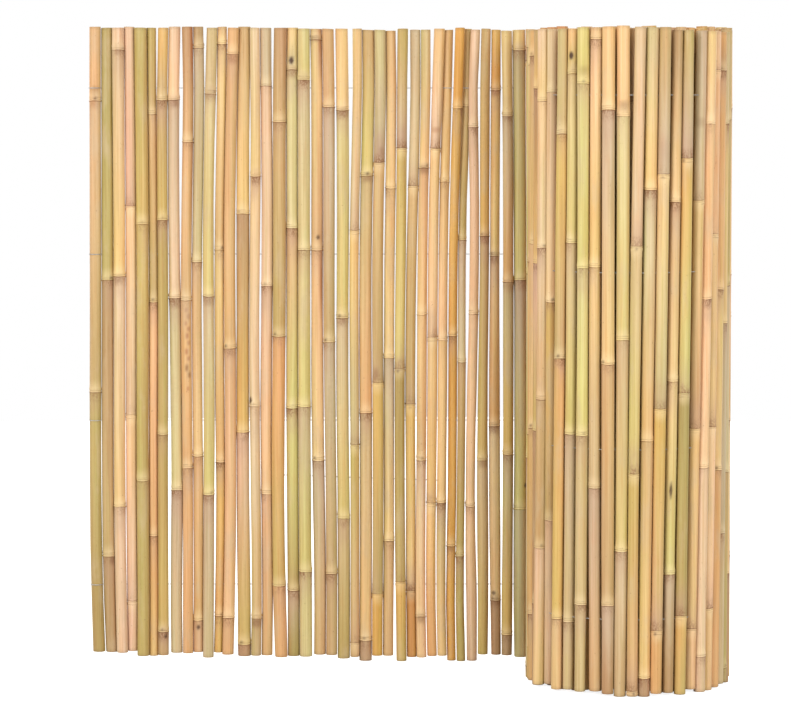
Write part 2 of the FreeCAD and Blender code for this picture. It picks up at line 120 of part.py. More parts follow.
    (7.78, 0.013, 1.0, 1001.1, (21.0, 297.8, 603.4, 891.8), (198.0, 14.4, 197.9, 14.2, 197.9, 13.9, 197.8, 13.4, 197.7, 13.0, 197.6, 12.6, 197.6, 12.4, 197.6, 12.2, 197.5, 12.1, 197.5, 11.9, 197.4, 11.6, 197.4, 11.3)),
    (8.43, 0.024, 1.0, 1001.2, (79.6, 381.2, 697.2, 983.4), (201.9, 31.3, 201.9, 31.2, 201.8, 31.1, 201.8, 31.0, 201.8, 30.9, 201.7, 30.8, 201.7, 30.6, 201.6, 30.4, 201.5, 30.2, 201.5, 30.0, 201.4, 29.7, 201.3, 29.4)),
    (8.70, -0.034, 1.0, 1001.1, (143.3, 388.9, 646.1, 891.8), (209.2, 47.9, 209.2, 47.9, 209.2, 47.8, 209.1, 47.7, 209.1, 47.6, 209.0, 47.5, 209.0, 47.4, 208.9, 47.2, 208.8, 47.0, 208.8, 46.9, 208.8, 46.9, 208.8, 47.0)),
    (7.95, -0.007, 5.5, 1005.2, (158.9, 407.3, 672.1, 887.9), (217.1, 64.0, 217.1, 63.9, 217.1, 64.0, 217.2, 64.1, 217.2, 64.1, 217.2, 64.1, 217.2, 64.1, 217.1, 64.0, 217.1, 64.0, 217.2, 64.1, 217.3, 64.2, 217.3, 64.3)),
    (8.54, 0.008, 0.0, 1003.7, (212.7, 456.9, 716.0, 959.3), (230.9, 76.8, 230.9, 76.8, 230.8, 76.8, 230.8, 76.8, 230.8, 76.8, 230.8, 76.8, 230.8, 76.8, 230.7, 76.7, 230.7, 76.7, 230.7, 76.7, 230.8, 76.8, 230.9, 76.9)),
    (8.60, -0.036, 0.0, 1005.4, (198.0, 438.0, 682.5, 891.8), (239.8, 92.7, 239.8, 92.7, 239.8, 92.7, 239.8, 92.7, 239.9, 92.7, 239.9, 92.7, 240.0, 92.8, 240.1, 92.9, 240.3, 93.1, 240.4, 93.2, 240.5, 93.3, 240.6, 93.3)),
    (8.47, -0.020, 3.0, 1001.1, (102.3, 408.9, 683.5, 979.1), (256.2, 102.3, 256.3, 102.3, 256.4, 102.4, 256.4, 102.4, 256.4, 102.4, 256.4, 102.4, 256.3, 102.4, 256.4, 102.4, 256.5, 102.4, 256.5, 102.5, 256.5, 102.5, 256.6, 102.5)),
    (8.82, -0.006, 2.0, 1002.5, (79.5, 353.3, 620.0, 878.5), (270.0, 114.5, 270.1, 114.6, 270.2, 114.6, 270.3, 114.7, 270.4, 114.7, 270.6, 114.8, 270.7, 114.9, 270.7, 114.9, 270.8, 114.9, 270.8, 114.9, 270.8, 114.9, 270.7, 115.0)),
    (8.58, -0.010, 0.0, 1001.4, (180.3, 544.1, 914.9), (289.9, 117.6, 290.0, 117.6, 290.1, 117.7, 290.2, 117.7, 290.0, 117.6, 289.7, 117.5, 289.4, 117.4, 289.2, 117.3, 289.1, 117.3, 289.0, 117.3, 289.0, 117.2, 289.0, 117.2)),
    (8.02, -0.037, 0.0, 1003.0, (106.2, 383.7, 627.1, 872.5), (305.5, 127.5, 305.5, 127.5, 305.6, 127.5, 305.8, 127.6, 305.8, 127.6, 305.8, 127.6, 305.8, 127.6, 305.7, 127.5, 305.7, 127.5, 305.7, 127.5, 305.8, 127.6, 305.9, 127.6)),
    (8.00, 0.034, 3.0, 1001.9, (193.0, 546.8, 873.2), (325.0, 125.1, 325.0, 125.1, 325.0, 125.1, 324.9, 125.1, 324.8, 125.1, 324.6, 125.1, 324.4, 125.1, 324.2, 125.2, 324.0, 125.2, 323.8, 125.2, 323.6, 125.2, 323.4, 125.2)),
    (8.77, -0.039, 1.0, 1004.6, (20.4, 301.2, 595.1, 889.5), (341.8, 131.0, 342.1, 130.9, 342.3, 130.9, 342.6, 130.9, 342.8, 130.9, 342.9, 130.9, 343.0, 130.9, 343.0, 130.9, 343.1, 130.8, 343.3, 130.8, 343.4, 130.9, 343.6, 130.9)),
    (8.63, -0.021, 3.0, 1001.2, (315.8, 590.8, 927.0), (360.6, 124.9, 360.7, 124.8, 360.8, 124.8, 360.9, 124.8, 360.8, 124.8, 360.8, 124.8, 360.7, 124.8, 360.7, 124.8, 360.7, 124.8, 360.6, 124.8, 360.6, 124.8, 360.7, 124.8)),
    (8.07, 0.025, 3.0, 1000.3, (184.5, 454.9, 716.9, 938.0), (379.3, 124.6, 379.4, 124.5, 379.5, 124.5, 379.6, 124.5, 379.6, 124.4, 379.6, 124.4, 379.6, 124.4, 379.7, 124.4, 379.8, 124.4, 379.9, 124.4, 379.9, 124.4, 379.9, 124.4)),
    (8.29, 0.031, 2.0, 1004.3, (286.2, 627.1, 984.0), (394.9, 112.9, 394.8, 112.9, 394.8, 112.9, 394.8, 112.9, 394.9, 112.9, 394.8, 112.9, 394.7, 113.0, 394.6, 113.0, 394.5, 113.0, 394.6, 113.0, 394.7, 113.0, 394.7, 113.0)),
    (8.76, 0.021, 2.0, 1001.7, (138.3, 504.3, 856.6), (411.9, 106.7, 412.0, 106.7, 412.0, 106.7, 412.1, 106.7, 412.2, 106.6, 412.3, 106.5, 412.3, 106.4, 412.3, 106.4, 412.2, 106.5, 412.1, 106.5, 412.1, 106.5, 412.1, 106.5)),
    (8.83, -0.039, 0.0, 1004.2, (201.4, 436.0, 690.9, 910.8), (424.5, 92.9, 424.5, 92.9, 424.5, 92.9, 424.5, 92.8, 424.6, 92.7, 424.7, 92.7, 424.8, 92.6, 424.8, 92.6, 424.8, 92.6, 424.8, 92.6, 424.7, 92.7, 424.7, 92.7)),
    (8.45, 0.002, 0.0, 1002.3, (212.5, 457.8, 690.0, 951.6), (440.7, 82.5, 440.7, 82.5, 440.6, 82.6, 440.5, 82.7, 440.5, 82.7, 440.6, 82.6, 440.6, 82.5, 440.6, 82.6, 440.5, 82.7, 440.5, 82.7, 440.4, 82.8, 440.4, 82.8)),
    (7.79, -0.018, 1.0, 1000.5, (16.5, 320.0, 592.8, 878.4), (447.1, 64.8, 447.0, 64.9, 447.0, 64.9, 446.9, 65.0, 447.0, 65.0, 447.0, 64.9, 447.0, 64.9, 447.0, 64.9, 447.0, 64.9, 447.1, 64.7, 447.2, 64.7, 447.2, 64.6)),
    (8.01, 0.033, 0.0, 1003.5, (158.1, 395.1, 690.8, 941.8), (460.1, 50.8, 460.2, 50.8, 460.2, 50.7, 460.2, 50.7, 460.2, 50.7, 460.2, 50.8, 460.1, 50.8, 460.2, 50.8, 460.2, 50.7, 460.2, 50.7, 460.1, 50.9, 460.1, 51.0)),
    (8.46, 0.024, 3.0, 1004.4, (36.3, 324.0, 602.5, 872.9), (463.5, 33.4, 463.5, 33.3, 463.6, 33.2, 463.6, 33.1, 463.6, 33.0, 463.7, 32.8, 463.7, 32.7, 463.8, 32.5, 463.8, 32.4, 463.8, 32.3, 463.8, 32.3, 463.8, 32.3)),
    (7.81, -0.025, 0.0, 1000.1, (38.1, 306.5, 627.1, 920.4), (470.9, 15.4, 470.9, 15.4, 470.9, 15.5, 470.9, 15.5, 470.9, 15.5, 470.9, 15.4, 471.0, 15.2, 471.0, 15.1, 471.0, 14.9, 471.0, 14.9, 471.0, 15.1, 471.0, 15.2)),
    (8.04, 0.022, 0.0, 1003.2, (42.8, 301.2, 591.4, 866.4), (466.7, -3.8, 466.7, -3.8, 466.7, -3.9, 466.6, -4.0, 466.6, -4.1, 466.7, -4.1, 466.7, -4.1, 466.7, -3.9, 466.7, -3.7, 466.7, -3.6, 466.7, -3.5, 466.7, -3.4)),
    (7.91, 0.034, 2.0, 999.9, (87.6, 381.2, 648.1, 962.0), (470.0, -22.7, 470.0, -22.6, 470.1, -22.6, 470.1, -22.5, 470.1, -22.4, 470.1, -22.4, 470.1, -22.4, 470.1, -22.3, 470.1, -22.2, 470.1, -22.2, 470.1, -22.1, 470.1, -22.0)),
    (8.55, -0.017, 1.0, 1004.9, (29.5, 249.3, 470.1, 734.3, 938.9), (462.0, -39.1, 462.0, -39.2, 461.9, -39.4, 461.9, -39.6, 461.9, -39.6, 461.9, -39.6, 461.9, -39.6, 461.9, -39.6, 461.9, -39.5, 461.9, -39.4, 462.0, -39.4, 462.0, -39.4)),
    (8.25, 0.013, 5.5, 1003.0, (277.6, 580.1, 949.2), (458.6, -56.9, 458.6, -56.9, 458.5, -57.0, 458.4, -57.2, 458.3, -57.5, 458.2, -57.6, 458.2, -57.7, 458.2, -57.6, 458.3, -57.6, 458.3, -57.5, 458.3, -57.5, 458.3, -57.6)),
    (8.45, 0.040, 3.0, 1004.9, (95.0, 354.7, 606.6, 891.8), (447.5, -71.6, 447.4, -71.7, 447.3, -71.9, 447.2, -72.0, 447.2, -72.1, 447.1, -72.2, 447.1, -72.2, 447.1, -72.3, 447.1, -72.3, 447.0, -72.4, 446.9, -72.5, 446.9, -72.6)),
    (8.04, -0.001, 4.0, 1001.3, (276.2, 568.4, 910.8), (440.0, -90.3, 440.1, -90.2, 440.2, -90.0, 440.3, -89.9, 440.4, -89.9, 440.3, -89.9, 440.3, -89.9, 440.3, -89.9, 440.3, -89.9, 440.3, -89.9, 440.3, -90.0, 440.3, -89.9)),
    (8.62, -0.005, 5.5, 1002.5, (308.3, 656.5, 962.5), (424.6, -101.3, 424.7, -101.2, 424.8, -101.1, 424.9, -101.1, 425.0, -101.0, 425.0, -101.0, 425.1, -100.9, 425.2, -100.8, 425.3, -100.7, 425.4, -100.6, 425.6, -100.5, 425.7, -100.3)),
    (8.26, -0.037, 0.0, 1003.0, (28.1, 303.6, 613.9, 857.8), (412.5, -114.7, 412.5, -114.7, 412.5, -114.8, 412.4, -114.8, 412.3, -114.8, 412.3, -114.9, 412.2, -114.9, 412.1, -115.0, 412.0, -115.0, 412.0, -115.1, 412.0, -115.1, 412.0, -115.1)),
    (8.61, -0.038, 5.5, 1001.8, (344.1, 646.1, 942.4), (393.8, -119.4, 393.7, -119.4, 393.8, -119.4, 393.9, -119.3, 394.0, -119.3, 393.9, -119.3, 393.7, -119.4, 393.7, -119.4, 393.6, -119.4, 393.5, -119.5, 393.4, -119.5, 393.4, -119.6)),
    (8.49, 0.022, 1.0, 1002.1, (166.6, 432.2, 655.8, 910.8), (378.4, -131.0, 378.5, -131.0, 378.5, -131.0, 378.6, -131.0, 378.6, -131.0, 378.6, -131.0, 378.6, -131.0, 378.6, -130.9, 378.7, -130.9, 378.7, -130.9, 378.7, -130.9, 378.7, -130.9)),
    (8.00, 0.024, 0.0, 1004.0, (269.9, 534.9, 857.5), (360.0, -130.5, 359.9, -130.6, 359.8, -130.6, 359.7, -130.6, 359.6, -130.6, 359.6, -130.6, 359.6, -130.6, 359.6, -130.6, 359.6, -130.6, 359.5, -130.6, 359.4, -130.6, 359.4, -130.6)),
    (7.99, -0.006, 0.0, 1000.5, (171.3, 435.4, 679.3, 891.8), (341.8, -137.9, 341.9, -137.9, 341.9, -137.9, 342.0, -137.9, 342.0, -137.9, 342.0, -137.9, 342.0, -137.9, 342.1, -137.9, 342.2, -137.9, 342.2, -137.9, 342.2, -137.9, 342.2, -137.9)),
    (8.22, -0.007, 4.0, 1001.8, (235.0, 530.8, 862.0), (323.9, -131.9, 323.8, -131.8, 323.8, -131.8, 323.7, -131.8, 323.6, -131.7, 323.4, -131.7, 323.4, -131.7, 323.5, -131.7, 323.5, -131.7, 323.5, -131.7, 323.4, -131.7, 323.3, -131.7)),
    (7.84, 0.034, 0.0, 1003.2, (227.9, 572.5, 878.9), (305.0, -131.4, 305.1, -131.4, 305.2, -131.4, 305.2, -131.4, 305.2, -131.4, 305.2, -131.4, 305.3, -131.4, 305.3, -131.5, 305.3, -131.4, 305.1, -131.4, 304.9, -131.3, 304.8, -131.3)),
    (8.78, -0.009, 4.0, 1000.5, (164.6, 426.1, 646.1, 880.5), (288.7, -122.5, 288.7, -122.5, 288.7, -122.5, 288.7, -122.6, 288.8, -122.6, 288.9, -122.6, 289.0, -122.7, 289.1, -122.7, 289.1, -122.7, 289.0, -122.6, 288.9, -122.6, 288.9, -122.5)),
    (8.79, 0.008, 4.0, 1003.8, (308.0, 676.1, 979.8), (270.7, -117.9, 270.7, -117.9, 270.7, -117.8, 270.7, -117.8, 270.8, -117.9, 270.8, -117.9, 270.8, -117.8, 270.6, -117.8, 270.5, -117.7, 270.5, -117.7, 270.4, -117.6, 270.4, -117.6)),
    (8.28, -0.026, 0.0, 999.5, (199.0, 416.1, 660.7, 910.8), (259.2, -102.5, 259.1, -102.4, 259.0, -102.3, 259.0, -102.3, 259.0, -102.3, 258.9, -102.2, 258.9, -102.2, 258.9, -102.2, 259.0, -102.3, 259.0, -102.3, 259.0, -102.3, 258.9, -102.2)),
    (7.62, -0.020, 0.0, 1000.6, (135.5, 361.0, 597.1, 861.6), (242.3, -92.5, 242.4, -92.6, 242.5, -92.7, 242.5, -92.7, 242.5, -92.7, 242.5, -92.7, 242.5, -92.8, 242.6, -92.8, 242.6, -92.9, 242.7, -92.9, 242.7, -93.0, 242.8, -93.1)),
    (8.58, -0.022, 0.0, 1004.7, (92.8, 386.2, 627.1, 875.5), (236.3, -74.9, 236.3, -75.0, 236.3, -75.0, 236.3, -74.9, 236.2, -74.8, 236.0, -74.5, 235.9, -74.4, 235.9, -74.4, 235.9, -74.4, 236.0, -74.5, 236.0, -74.5, 236.0, -74.6)),
    (7.93, -0.019, 0.0, 999.5, (64.9, 341.6, 646.1, 910.8), (223.7, -60.9, 223.6, -60.9, 223.6, -60.7, 223.5, -60.5, 223.5, -60.4, 223.5, -60.5, 223.5, -60.6, 223.5, -60.6, 223.5, -60.6, 223.5, -60.6, 223.5, -60.6, 223.6, -60.7)),
    (7.95, -0.027, 0.0, 1004.3, (161.4, 420.3, 665.1, 910.8), (222.6, -41.9, 222.6, -41.8, 222.6, -41.8, 222.6, -41.8, 222.6, -41.8, 222.6, -41.8, 222.6, -41.9, 222.6, -41.9, 222.6, -42.0, 222.6, -41.9, 222.6, -41.9, 222.6, -41.8)),
    (8.40, -0.033, 1.0, 1003.8, (260.7, 521.1, 766.4, 975.0), (214.1, -24.7, 214.1, -24.7, 214.1, -24.7, 214.1, -24.6, 214.1, -24.5, 214.1, -24.5, 214.1, -24.5, 214.1, -24.6, 214.1, -24.7, 214.1, -24.7, 214.1, -24.7, 214.1, -24.7)),
    (8.01, -0.035, 2.0, 1003.8, (106.2, 324.7, 542.8, 763.1, 972.7), (217.8, -6.0, 217.8, -6.1, 217.8, -6.1, 217.8, -5.9, 217.8, -5.7, 217.8, -5.5, 217.8, -5.5, 217.8, -5.5, 217.8, -5.5, 217.8, -5.5, 217.8, -5.5, 217.8, -5.4)),
    (7.79, 0.024, 0.0, 1003.7, (125.2, 381.2, 672.4, 954.3), (219.0, 13.0, 219.0, 12.9, 219.0, 12.9, 219.0, 12.8, 219.0, 12.8, 219.0, 12.7, 218.9, 12.6, 218.9, 12.4, 218.9, 12.3, 218.9, 12.3, 218.9, 12.3, 218.9, 12.2)),
    (7.65, 0.018, 3.0, 1001.3, (25.0, 321.0, 575.1, 888.2), (227.7, 28.8, 227.7, 28.8, 227.7, 28.8, 227.7, 28.8, 227.7, 28.8, 227.7, 28.8, 227.7, 28.8, 227.7, 28.8, 227.8, 28.9, 227.8, 29.0, 227.9, 29.2, 227.9, 29.2)),
    (8.45, -0.004, 5.5, 1005.5, (296.3, 611.4, 913.1), (230.5, 48.2, 230.5, 48.1, 230.5, 48.0, 230.5, 48.1, 230.6, 48.2, 230.6, 48.2, 230.6, 48.2, 230.6, 48.2, 230.5, 48.1, 230.4, 48.0, 230.4, 47.9, 230.4, 47.9)),
    (8.45, -0.006, 0.0, 1005.2, (211.2, 518.7, 862.3), (245.5, 60.0, 245.5, 60.0, 245.6, 60.1, 245.6, 60.1, 245.5, 60.0, 245.5, 60.0, 245.5, 60.0, 245.4, 59.9, 245.5, 60.0, 245.6, 60.1, 245.7, 60.2, 245.7, 60.3)),
    (8.30, -0.005, 0.0, 1004.8, (281.8, 570.5, 891.8), (254.8, 76.5, 254.8, 76.6, 254.8, 76.6, 254.8, 76.6, 254.9, 76.7, 255.0, 76.7, 255.0, 76.8, 255.0, 76.8, 255.0, 76.7, 254.9, 76.7, 255.0, 76.7, 255.1, 76.8)),
    (8.89, 0.027, 0.0, 1000.3, (87.5, 362.2, 613.0, 881.6), (271.9, 84.2, 271.9, 84.2, 271.9, 84.2, 271.8, 84.2, 271.7, 84.1, 271.7, 84.1, 271.8, 84.1, 271.9, 84.2, 272.1, 84.4, 272.2, 84.4, 272.3, 84.5, 272.3, 84.4)),
    (8.39, 0.000, 2.0, 1002.8, (227.5, 554.2, 912.5), (286.4, 97.5, 286.3, 97.4, 286.1, 97.3, 285.9, 97.2, 285.7, 97.1, 285.6, 97.1, 285.5, 97.0, 285.5, 97.0, 285.5, 97.0, 285.6, 97.1, 285.6, 97.2, 285.6, 97.2)),
    (8.67, -0.003, 0.0, 1005.5, (135.4, 430.4, 683.7, 961.8), (304.3, 99.9, 304.4, 99.9, 304.5, 100.0, 304.5, 100.0, 304.5, 100.0, 304.5, 99.9, 304.4, 99.9, 304.5, 99.9, 304.5, 100.0, 304.5, 100.0, 304.5, 99.9, 304.4, 99.9)),
    (8.14, -0.022, 3.0, 1004.9, (282.0, 627.1, 915.4), (321.2, 108.2, 321.3, 108.3, 321.5, 108.3, 321.5, 108.3, 321.5, 108.3, 321.6, 108.2, 321.7, 108.2, 321.8, 108.2, 321.8, 108.1, 321.8, 108.1, 321.8, 108.1, 321.9, 108.1)),
    (8.68, 0.017, 3.0, 1003.7, (42.1, 306.4, 601.3, 878.0), (341.0, 103.5, 340.9, 103.5, 340.8, 103.5, 340.8, 103.5, 340.6, 103.5, 340.5, 103.5, 340.5, 103.5, 340.4, 103.5, 340.2, 103.5, 340.0, 103.5, 339.9, 103.5, 339.8, 103.5)),
    (8.72, 0.020, 0.0, 1000.6, (219.1, 573.4, 873.9), (359.0, 106.6, 359.0, 106.6, 359.0, 106.5, 358.9, 106.5, 358.9, 106.5, 358.9, 106.5, 358.9, 106.5, 358.9, 106.5, 358.9, 106.5, 358.9, 106.6, 358.7, 106.6, 358.6, 106.6)),
    (8.90, -0.011, 4.0, 1003.3, (62.2, 329.3, 627.1, 880.7), (375.2, 97.4, 375.2, 97.4, 375.2, 97.4, 375.3, 97.4, 375.5, 97.3, 375.7, 97.3, 375.7, 97.3, 375.6, 97.3, 375.5, 97.3, 375.6, 97.3, 375.9, 97.2, 376.1, 97.1)),
    (8.22, -0.017, 2.0, 1000.4, (192.5, 488.7, 732.0, 967.7), (393.9, 94.3, 394.0, 94.2, 394.1, 94.2, 394.2, 94.1, 394.2, 94.2, 394.1, 94.2, 394.1, 94.2, 394.2, 94.1, 394.4, 94.0, 394.6, 93.9, 394.8, 93.8, 395.0, 93.7)),
    (7.82, 0.024, 4.0, 999.8, (234.9, 604.2, 917.9), (406.1, 78.8, 406.1, 78.9, 406.0, 78.9, 406.0, 78.9, 406.0, 78.9, 406.0, 78.9, 406.0, 78.9, 406.0, 78.9, 405.9, 79.0, 405.8, 79.1, 405.7, 79.1, 405.7, 79.2)),
    (7.62, 0.013, 1.0, 1001.7, (143.2, 385.5, 627.1, 864.9), (423.1, 70.1, 423.1, 70.0, 423.1, 70.1, 423.1, 70.1, 423.0, 70.2, 423.0, 70.2, 423.1, 70.1, 423.2, 69.9, 423.3, 69.8, 423.4, 69.7, 423.5, 69.6, 423.6, 69.4)),
    (8.78, 0.009, 1.0, 1004.7, (242.1, 468.1, 691.1, 913.3), (429.7, 52.8, 429.7, 52.8, 429.8, 52.7, 429.9, 52.6, 429.9, 52.5, 430.0, 52.4, 430.1, 52.3, 430.1, 52.2, 430.1, 52.1, 430.2, 52.1, 430.2, 52.0, 430.2, 51.9)),
    (8.88, 0.033, 0.0, 1001.2, (82.0, 362.2, 603.3, 890.2), (441.9, 38.3, 441.9, 38.3, 441.9, 38.3, 441.9, 38.3, 442.0, 38.1, 442.1, 37.8, 442.1, 37.6, 442.2, 37.4, 442.3, 37.3, 442.2, 37.3, 442.2, 37.5, 442.3, 37.5)),
    (7.79, 0.028, 2.0, 1003.0, (83.7, 362.2, 616.1, 878.6), (444.1, 19.3, 444.1, 19.3, 444.1, 19.3, 444.1, 19.2, 444.2, 19.1, 444.2, 19.0, 444.2, 18.9, 444.2, 18.9, 444.2, 18.9, 444.2, 18.8, 444.3, 18.7, 444.3, 18.6)),
    (8.66, 0.006, 0.0, 1000.1, (36.9, 334.1, 627.1, 917.1), (449.6, 0.5, 449.6, 0.7, 449.6, 0.8, 449.7, 0.8, 449.7, 0.8, 449.6, 0.8, 449.6, 0.8, 449.6, 0.9, 449.6, 1.1, 449.6, 1.4, 449.6, 1.6, 449.6, 1.8)),
    (8.14, 0.026, 2.0, 1000.0, (198.0, 433.6, 696.1, 941.0), (444.0, -17.5, 444.0, -17.5, 444.0, -17.5, 444.0, -17.5, 444.0, -17.4, 444.1, -17.2, 444.1, -17.1, 444.1, -16.9, 444.1, -16.8, 444.1, -16.7, 444.1, -16.6, 444.2, -16.6)),
    (8.46, -0.026, 0.0, 1001.3, (302.1, 627.1, 924.6), (443.3, -35.7, 443.3, -35.7, 443.3, -35.7, 443.3, -35.7, 443.3, -35.7, 443.3, -35.7, 443.3, -35.7, 443.3, -35.7, 443.3, -35.6, 443.4, -35.4, 443.4, -35.3, 443.4, -35.2)),
    (8.62, 0.013, 5.5, 1001.5, (20.6, 328.9, 627.1, 956.7), (435.1, -51.9, 435.1, -51.9, 435.1, -51.9, 435.1, -52.0, 435.1, -52.1, 435.1, -52.1, 435.1, -52.1, 435.0, -52.1, 435.0, -52.2, 435.0, -52.3, 434.9, -52.4, 434.8, -52.5)),
    (8.78, -0.002, 5.5, 1000.7, (83.2, 314.8, 533.5, 753.0, 966.4), (428.4, -70.1, 428.4, -70.1, 428.4, -70.1, 428.4, -70.1, 428.5, -70.0, 428.5, -70.0, 428.5, -70.0, 428.5, -70.0, 428.5, -70.0, 428.5, -70.0, 428.5, -70.0, 428.5, -70.0)),
    (8.86, 0.035, 2.0, 1000.7, (83.9, 381.2, 670.4, 975.3), (412.3, -80.0, 412.3, -80.0, 412.3, -80.0, 412.3, -80.0, 412.3, -80.0, 412.2, -80.1, 412.2, -80.2, 412.1, -80.2, 412.1, -80.2, 412.1, -80.2, 412.1, -80.2, 412.1, -80.2)),
    (8.45, 0.029, 0.0, 1002.9, (168.7, 415.1, 664.3, 927.2), (401.9, -95.9, 401.8, -96.0, 401.8, -96.0, 401.8, -96.0, 401.8, -96.0, 401.7, -96.1, 401.6, -96.1, 401.5, -96.2, 401.5, -96.2, 401.5, -96.2, 401.5, -96.2, 401.6, -96.1)),
    (8.87, 0.007, 0.0, 1002.3, (45.5, 343.4, 600.6, 877.1), (382.1, -100.2, 382.2, -100.2, 382.2, -100.2, 382.2, -100.1, 382.2, -100.1, 382.3, -100.1, 382.4, -100.1, 382.5, -100.0, 382.7, -99.9, 382.7, -99.9, 382.8, -99.9, 382.8, -99.9)),
    (8.35, -0.027, 1.0, 1005.0, (126.1, 385.8, 652.8, 923.5), (367.3, -111.8, 367.3, -111.8, 367.4, -111.7, 367.4, -111.7, 367.4, -111.8, 367.4, -111.8, 367.4, -111.8, 367.4, -111.7, 367.4, -111.8, 367.3, -111.8, 367.2, -111.8, 367.1, -111.8)),
    (8.86, -0.021, 1.0, 1001.8, (101.1, 362.2, 655.9, 983.3), (349.0, -109.4, 348.8, -109.5, 348.5, -109.5, 348.4, -109.5, 348.3, -109.5, 348.2, -109.5, 348.1, -109.5, 348.0, -109.5, 347.9, -109.6, 347.9, -109.6, 348.0, -109.5, 348.1, -109.5)),
    (8.18, -0.034, 1.0, 1001.9, (276.3, 570.3, 862.8), (329.4, -115.2, 329.5, -115.3, 329.7, -115.3, 329.8, -115.3, 329.8, -115.4, 329.8, -115.4, 329.9, -115.4, 329.9, -115.4, 329.9, -115.4, 330.1, -115.4, 330.3, -115.4, 330.4, -115.4)),
    (8.76, 0.018, 3.0, 1003.8, (14.8, 294.1, 578.1, 875.3), (312.9, -107.0, 312.9, -107.0, 312.8, -107.0, 312.8, -107.0, 312.8, -107.0, 312.8, -107.0, 312.7, -107.0, 312.7, -106.9, 312.6, -106.9, 312.6, -106.9, 312.5, -106.9, 312.4, -106.9)),
    (8.77, -0.003, 4.0, 1002.5, (87.9, 351.7, 624.7, 888.2), (294.4, -104.8, 294.4, -104.8, 294.3, -104.8, 294.3, -104.8, 294.4, -104.9, 294.3, -104.9, 294.3, -104.9, 294.3, -104.9, 294.2, -104.9, 294.1, -104.8, 294.0, -104.8, 293.9, -104.7)),
    (8.64, -0.023, 0.0, 1000.0, (105.3, 362.2, 646.1, 918.4), (280.2, -92.2, 280.3, -92.2, 280.3, -92.2, 280.2, -92.1, 280.2, -92.1, 280.2, -92.1, 280.2, -92.2, 280.2, -92.1, 280.2, -92.1, 280.2, -92.1, 280.3, -92.2, 280.3, -92.2)),
    (8.24, 0.006, 5.5, 1003.1, (38.5, 324.4, 581.0, 859.7), (265.2, -81.4, 265.2, -81.4, 265.2, -81.4, 265.2, -81.4, 265.2, -81.4, 265.3, -81.5, 265.3, -81.5, 265.4, -81.6, 265.5, -81.7, 265.6, -81.9, 265.7, -82.0, 265.7, -82.1)),
]

KNOTS = [KNOT_TOP * k / (KNOT_COUNT - 1) for k in range(KNOT_COUNT)]


def centre(c, z):
    """plan position of a cane's centre line at height z"""
    xy = c[5]
    t = min(max(z / KNOT_TOP * (KNOT_COUNT - 1), 0.0), KNOT_COUNT - 1.0)
    k = min(int(t), KNOT_COUNT - 2)
    f = t - k
    return (xy[2 * k] * (1 - f) + xy[2 * k + 2] * f, xy[2 * k + 1] * (1 - f) + xy[2 * k + 3] * f)


def radius(c, z):
    return c[0] * (1.0 + c[1] * (z / KNOT_TOP - 0.5))


def ring(c, z, r, seam):
    """level circle round the cane's centre line; its seam is turned away from the drilled holes"""
    x, y = centre(c, z)
    e = Part.makeCircle(r, V(x, y, z), V(0, 0, 1))
    e.rotate(V(x, y, z), V(0, 0, 1), seam)
    return Part.Wire(e)


def bends(c, lo, hi, keep_out=()):
    """knot heights between lo and hi where the centre line really bends"""
    zs = [z for z in KNOTS if lo + 5 < z < hi - 5 and all(abs(z - n) > NODE_HALF + 2 for n in keep_out)]

    def split(a, b, inner):
        if not inner:
            return []
        pa, pb = centre(c, a), centre(c, b)
        worst, at = 0.0, None
        for z in inner:
            f = (z - a) / (b - a)
            p = centre(c, z)
            d = math.hypot(p[0] - pa[0] - f * (pb[0] - pa[0]), p[1] - pa[1] - f * (pb[1] - pa[1]))
            if d > worst:
                worst, at = d, z
        if worst < BEND_TOL:
            return []
        return split(a, at, [z for z in inner if z < at]) + [at] + split(at, b, [z for z in inner if z > at])

    return split(lo, hi, zs)


def turns():
    """half turns of the roll: centre y, radius, start angle, arc length"""
    k = 0
    while True:
        r = ROLL_R - k * TURN / 2
        cy = Y_FLAT - ROLL_R - (TURN / 2 if k % 2 else 0.0)
        yield cy, r, math.pi * (k % 2), math.pi * r
        k += 1


def path(s):
    """plan point, outward normal and direction at distance s past X_TANGENT"""
    if s <= 0:
        return (X_TANGENT + s, Y_FLAT), (0.0, 1.0), (1.0, 0.0)
    for cy, r, a0, length in turns():
        if s <= length:
            a = a0 + s / r
            n = (math.sin(a), math.cos(a))
            return (X_TANGENT + r * n[0], cy + r * n[1]), n, (n[1], -n[0])
        s -= length


def path_near(x, y, s_guess):
    """distance along the path of the point nearest to (x, y)"""
    best = None
    lo, hi = s_guess - 14.0, s_guess + 14.0
    for _ in range(5):
        step = (hi - lo) / 24
        for k in range(25):
            s = lo + k * step
            p = path(s)[0]
            d = (p[0] - x) ** 2 + (p[1] - y) ** 2
            if best is None or d < best[0]:
                best = (d, s)
        lo, hi = best[1] - step, best[1] + step
    return best[1]


def step_curve(k):
    """the two arcs by which wire k steps down behind the roll: x0, x1, drop, arc radius"""
    x0, x1 = X_TANGENT - STEP_DOWN_RUN[0], X_TANGENT - STEP_DOWN_RUN[1]
    drop = WIRE_Z_FLAT[k] - WIRE_Z_ROLL[k]
    run = x1 - x0
    a = 2 * math.atan2(drop, run)
    return x0, x1, drop, run / (2 * math.sin(a))


def wire_at(k, s):
    """height and slope (dz/ds) of wire k at distance s past X_TANGENT"""
    x0, x1, drop, r = step_curve(k)
    x = X_TANGENT + s
    if x <= x0:
        return WIRE_Z_FLAT[k], 0.0
    if x >= x1:
        return WIRE_Z_ROLL[k], 0.0
    xm = (x0 + x1) / 2
    d = x - x0 if x < xm else x1 - x
    sag = r - math.sqrt(r * r - d * d)
    slope = -d / math.sqrt(r * r - d * d)
    return (WIRE_Z_FLAT[k] - sag if x < xm else WIRE_Z_ROLL[k] + sag), slope


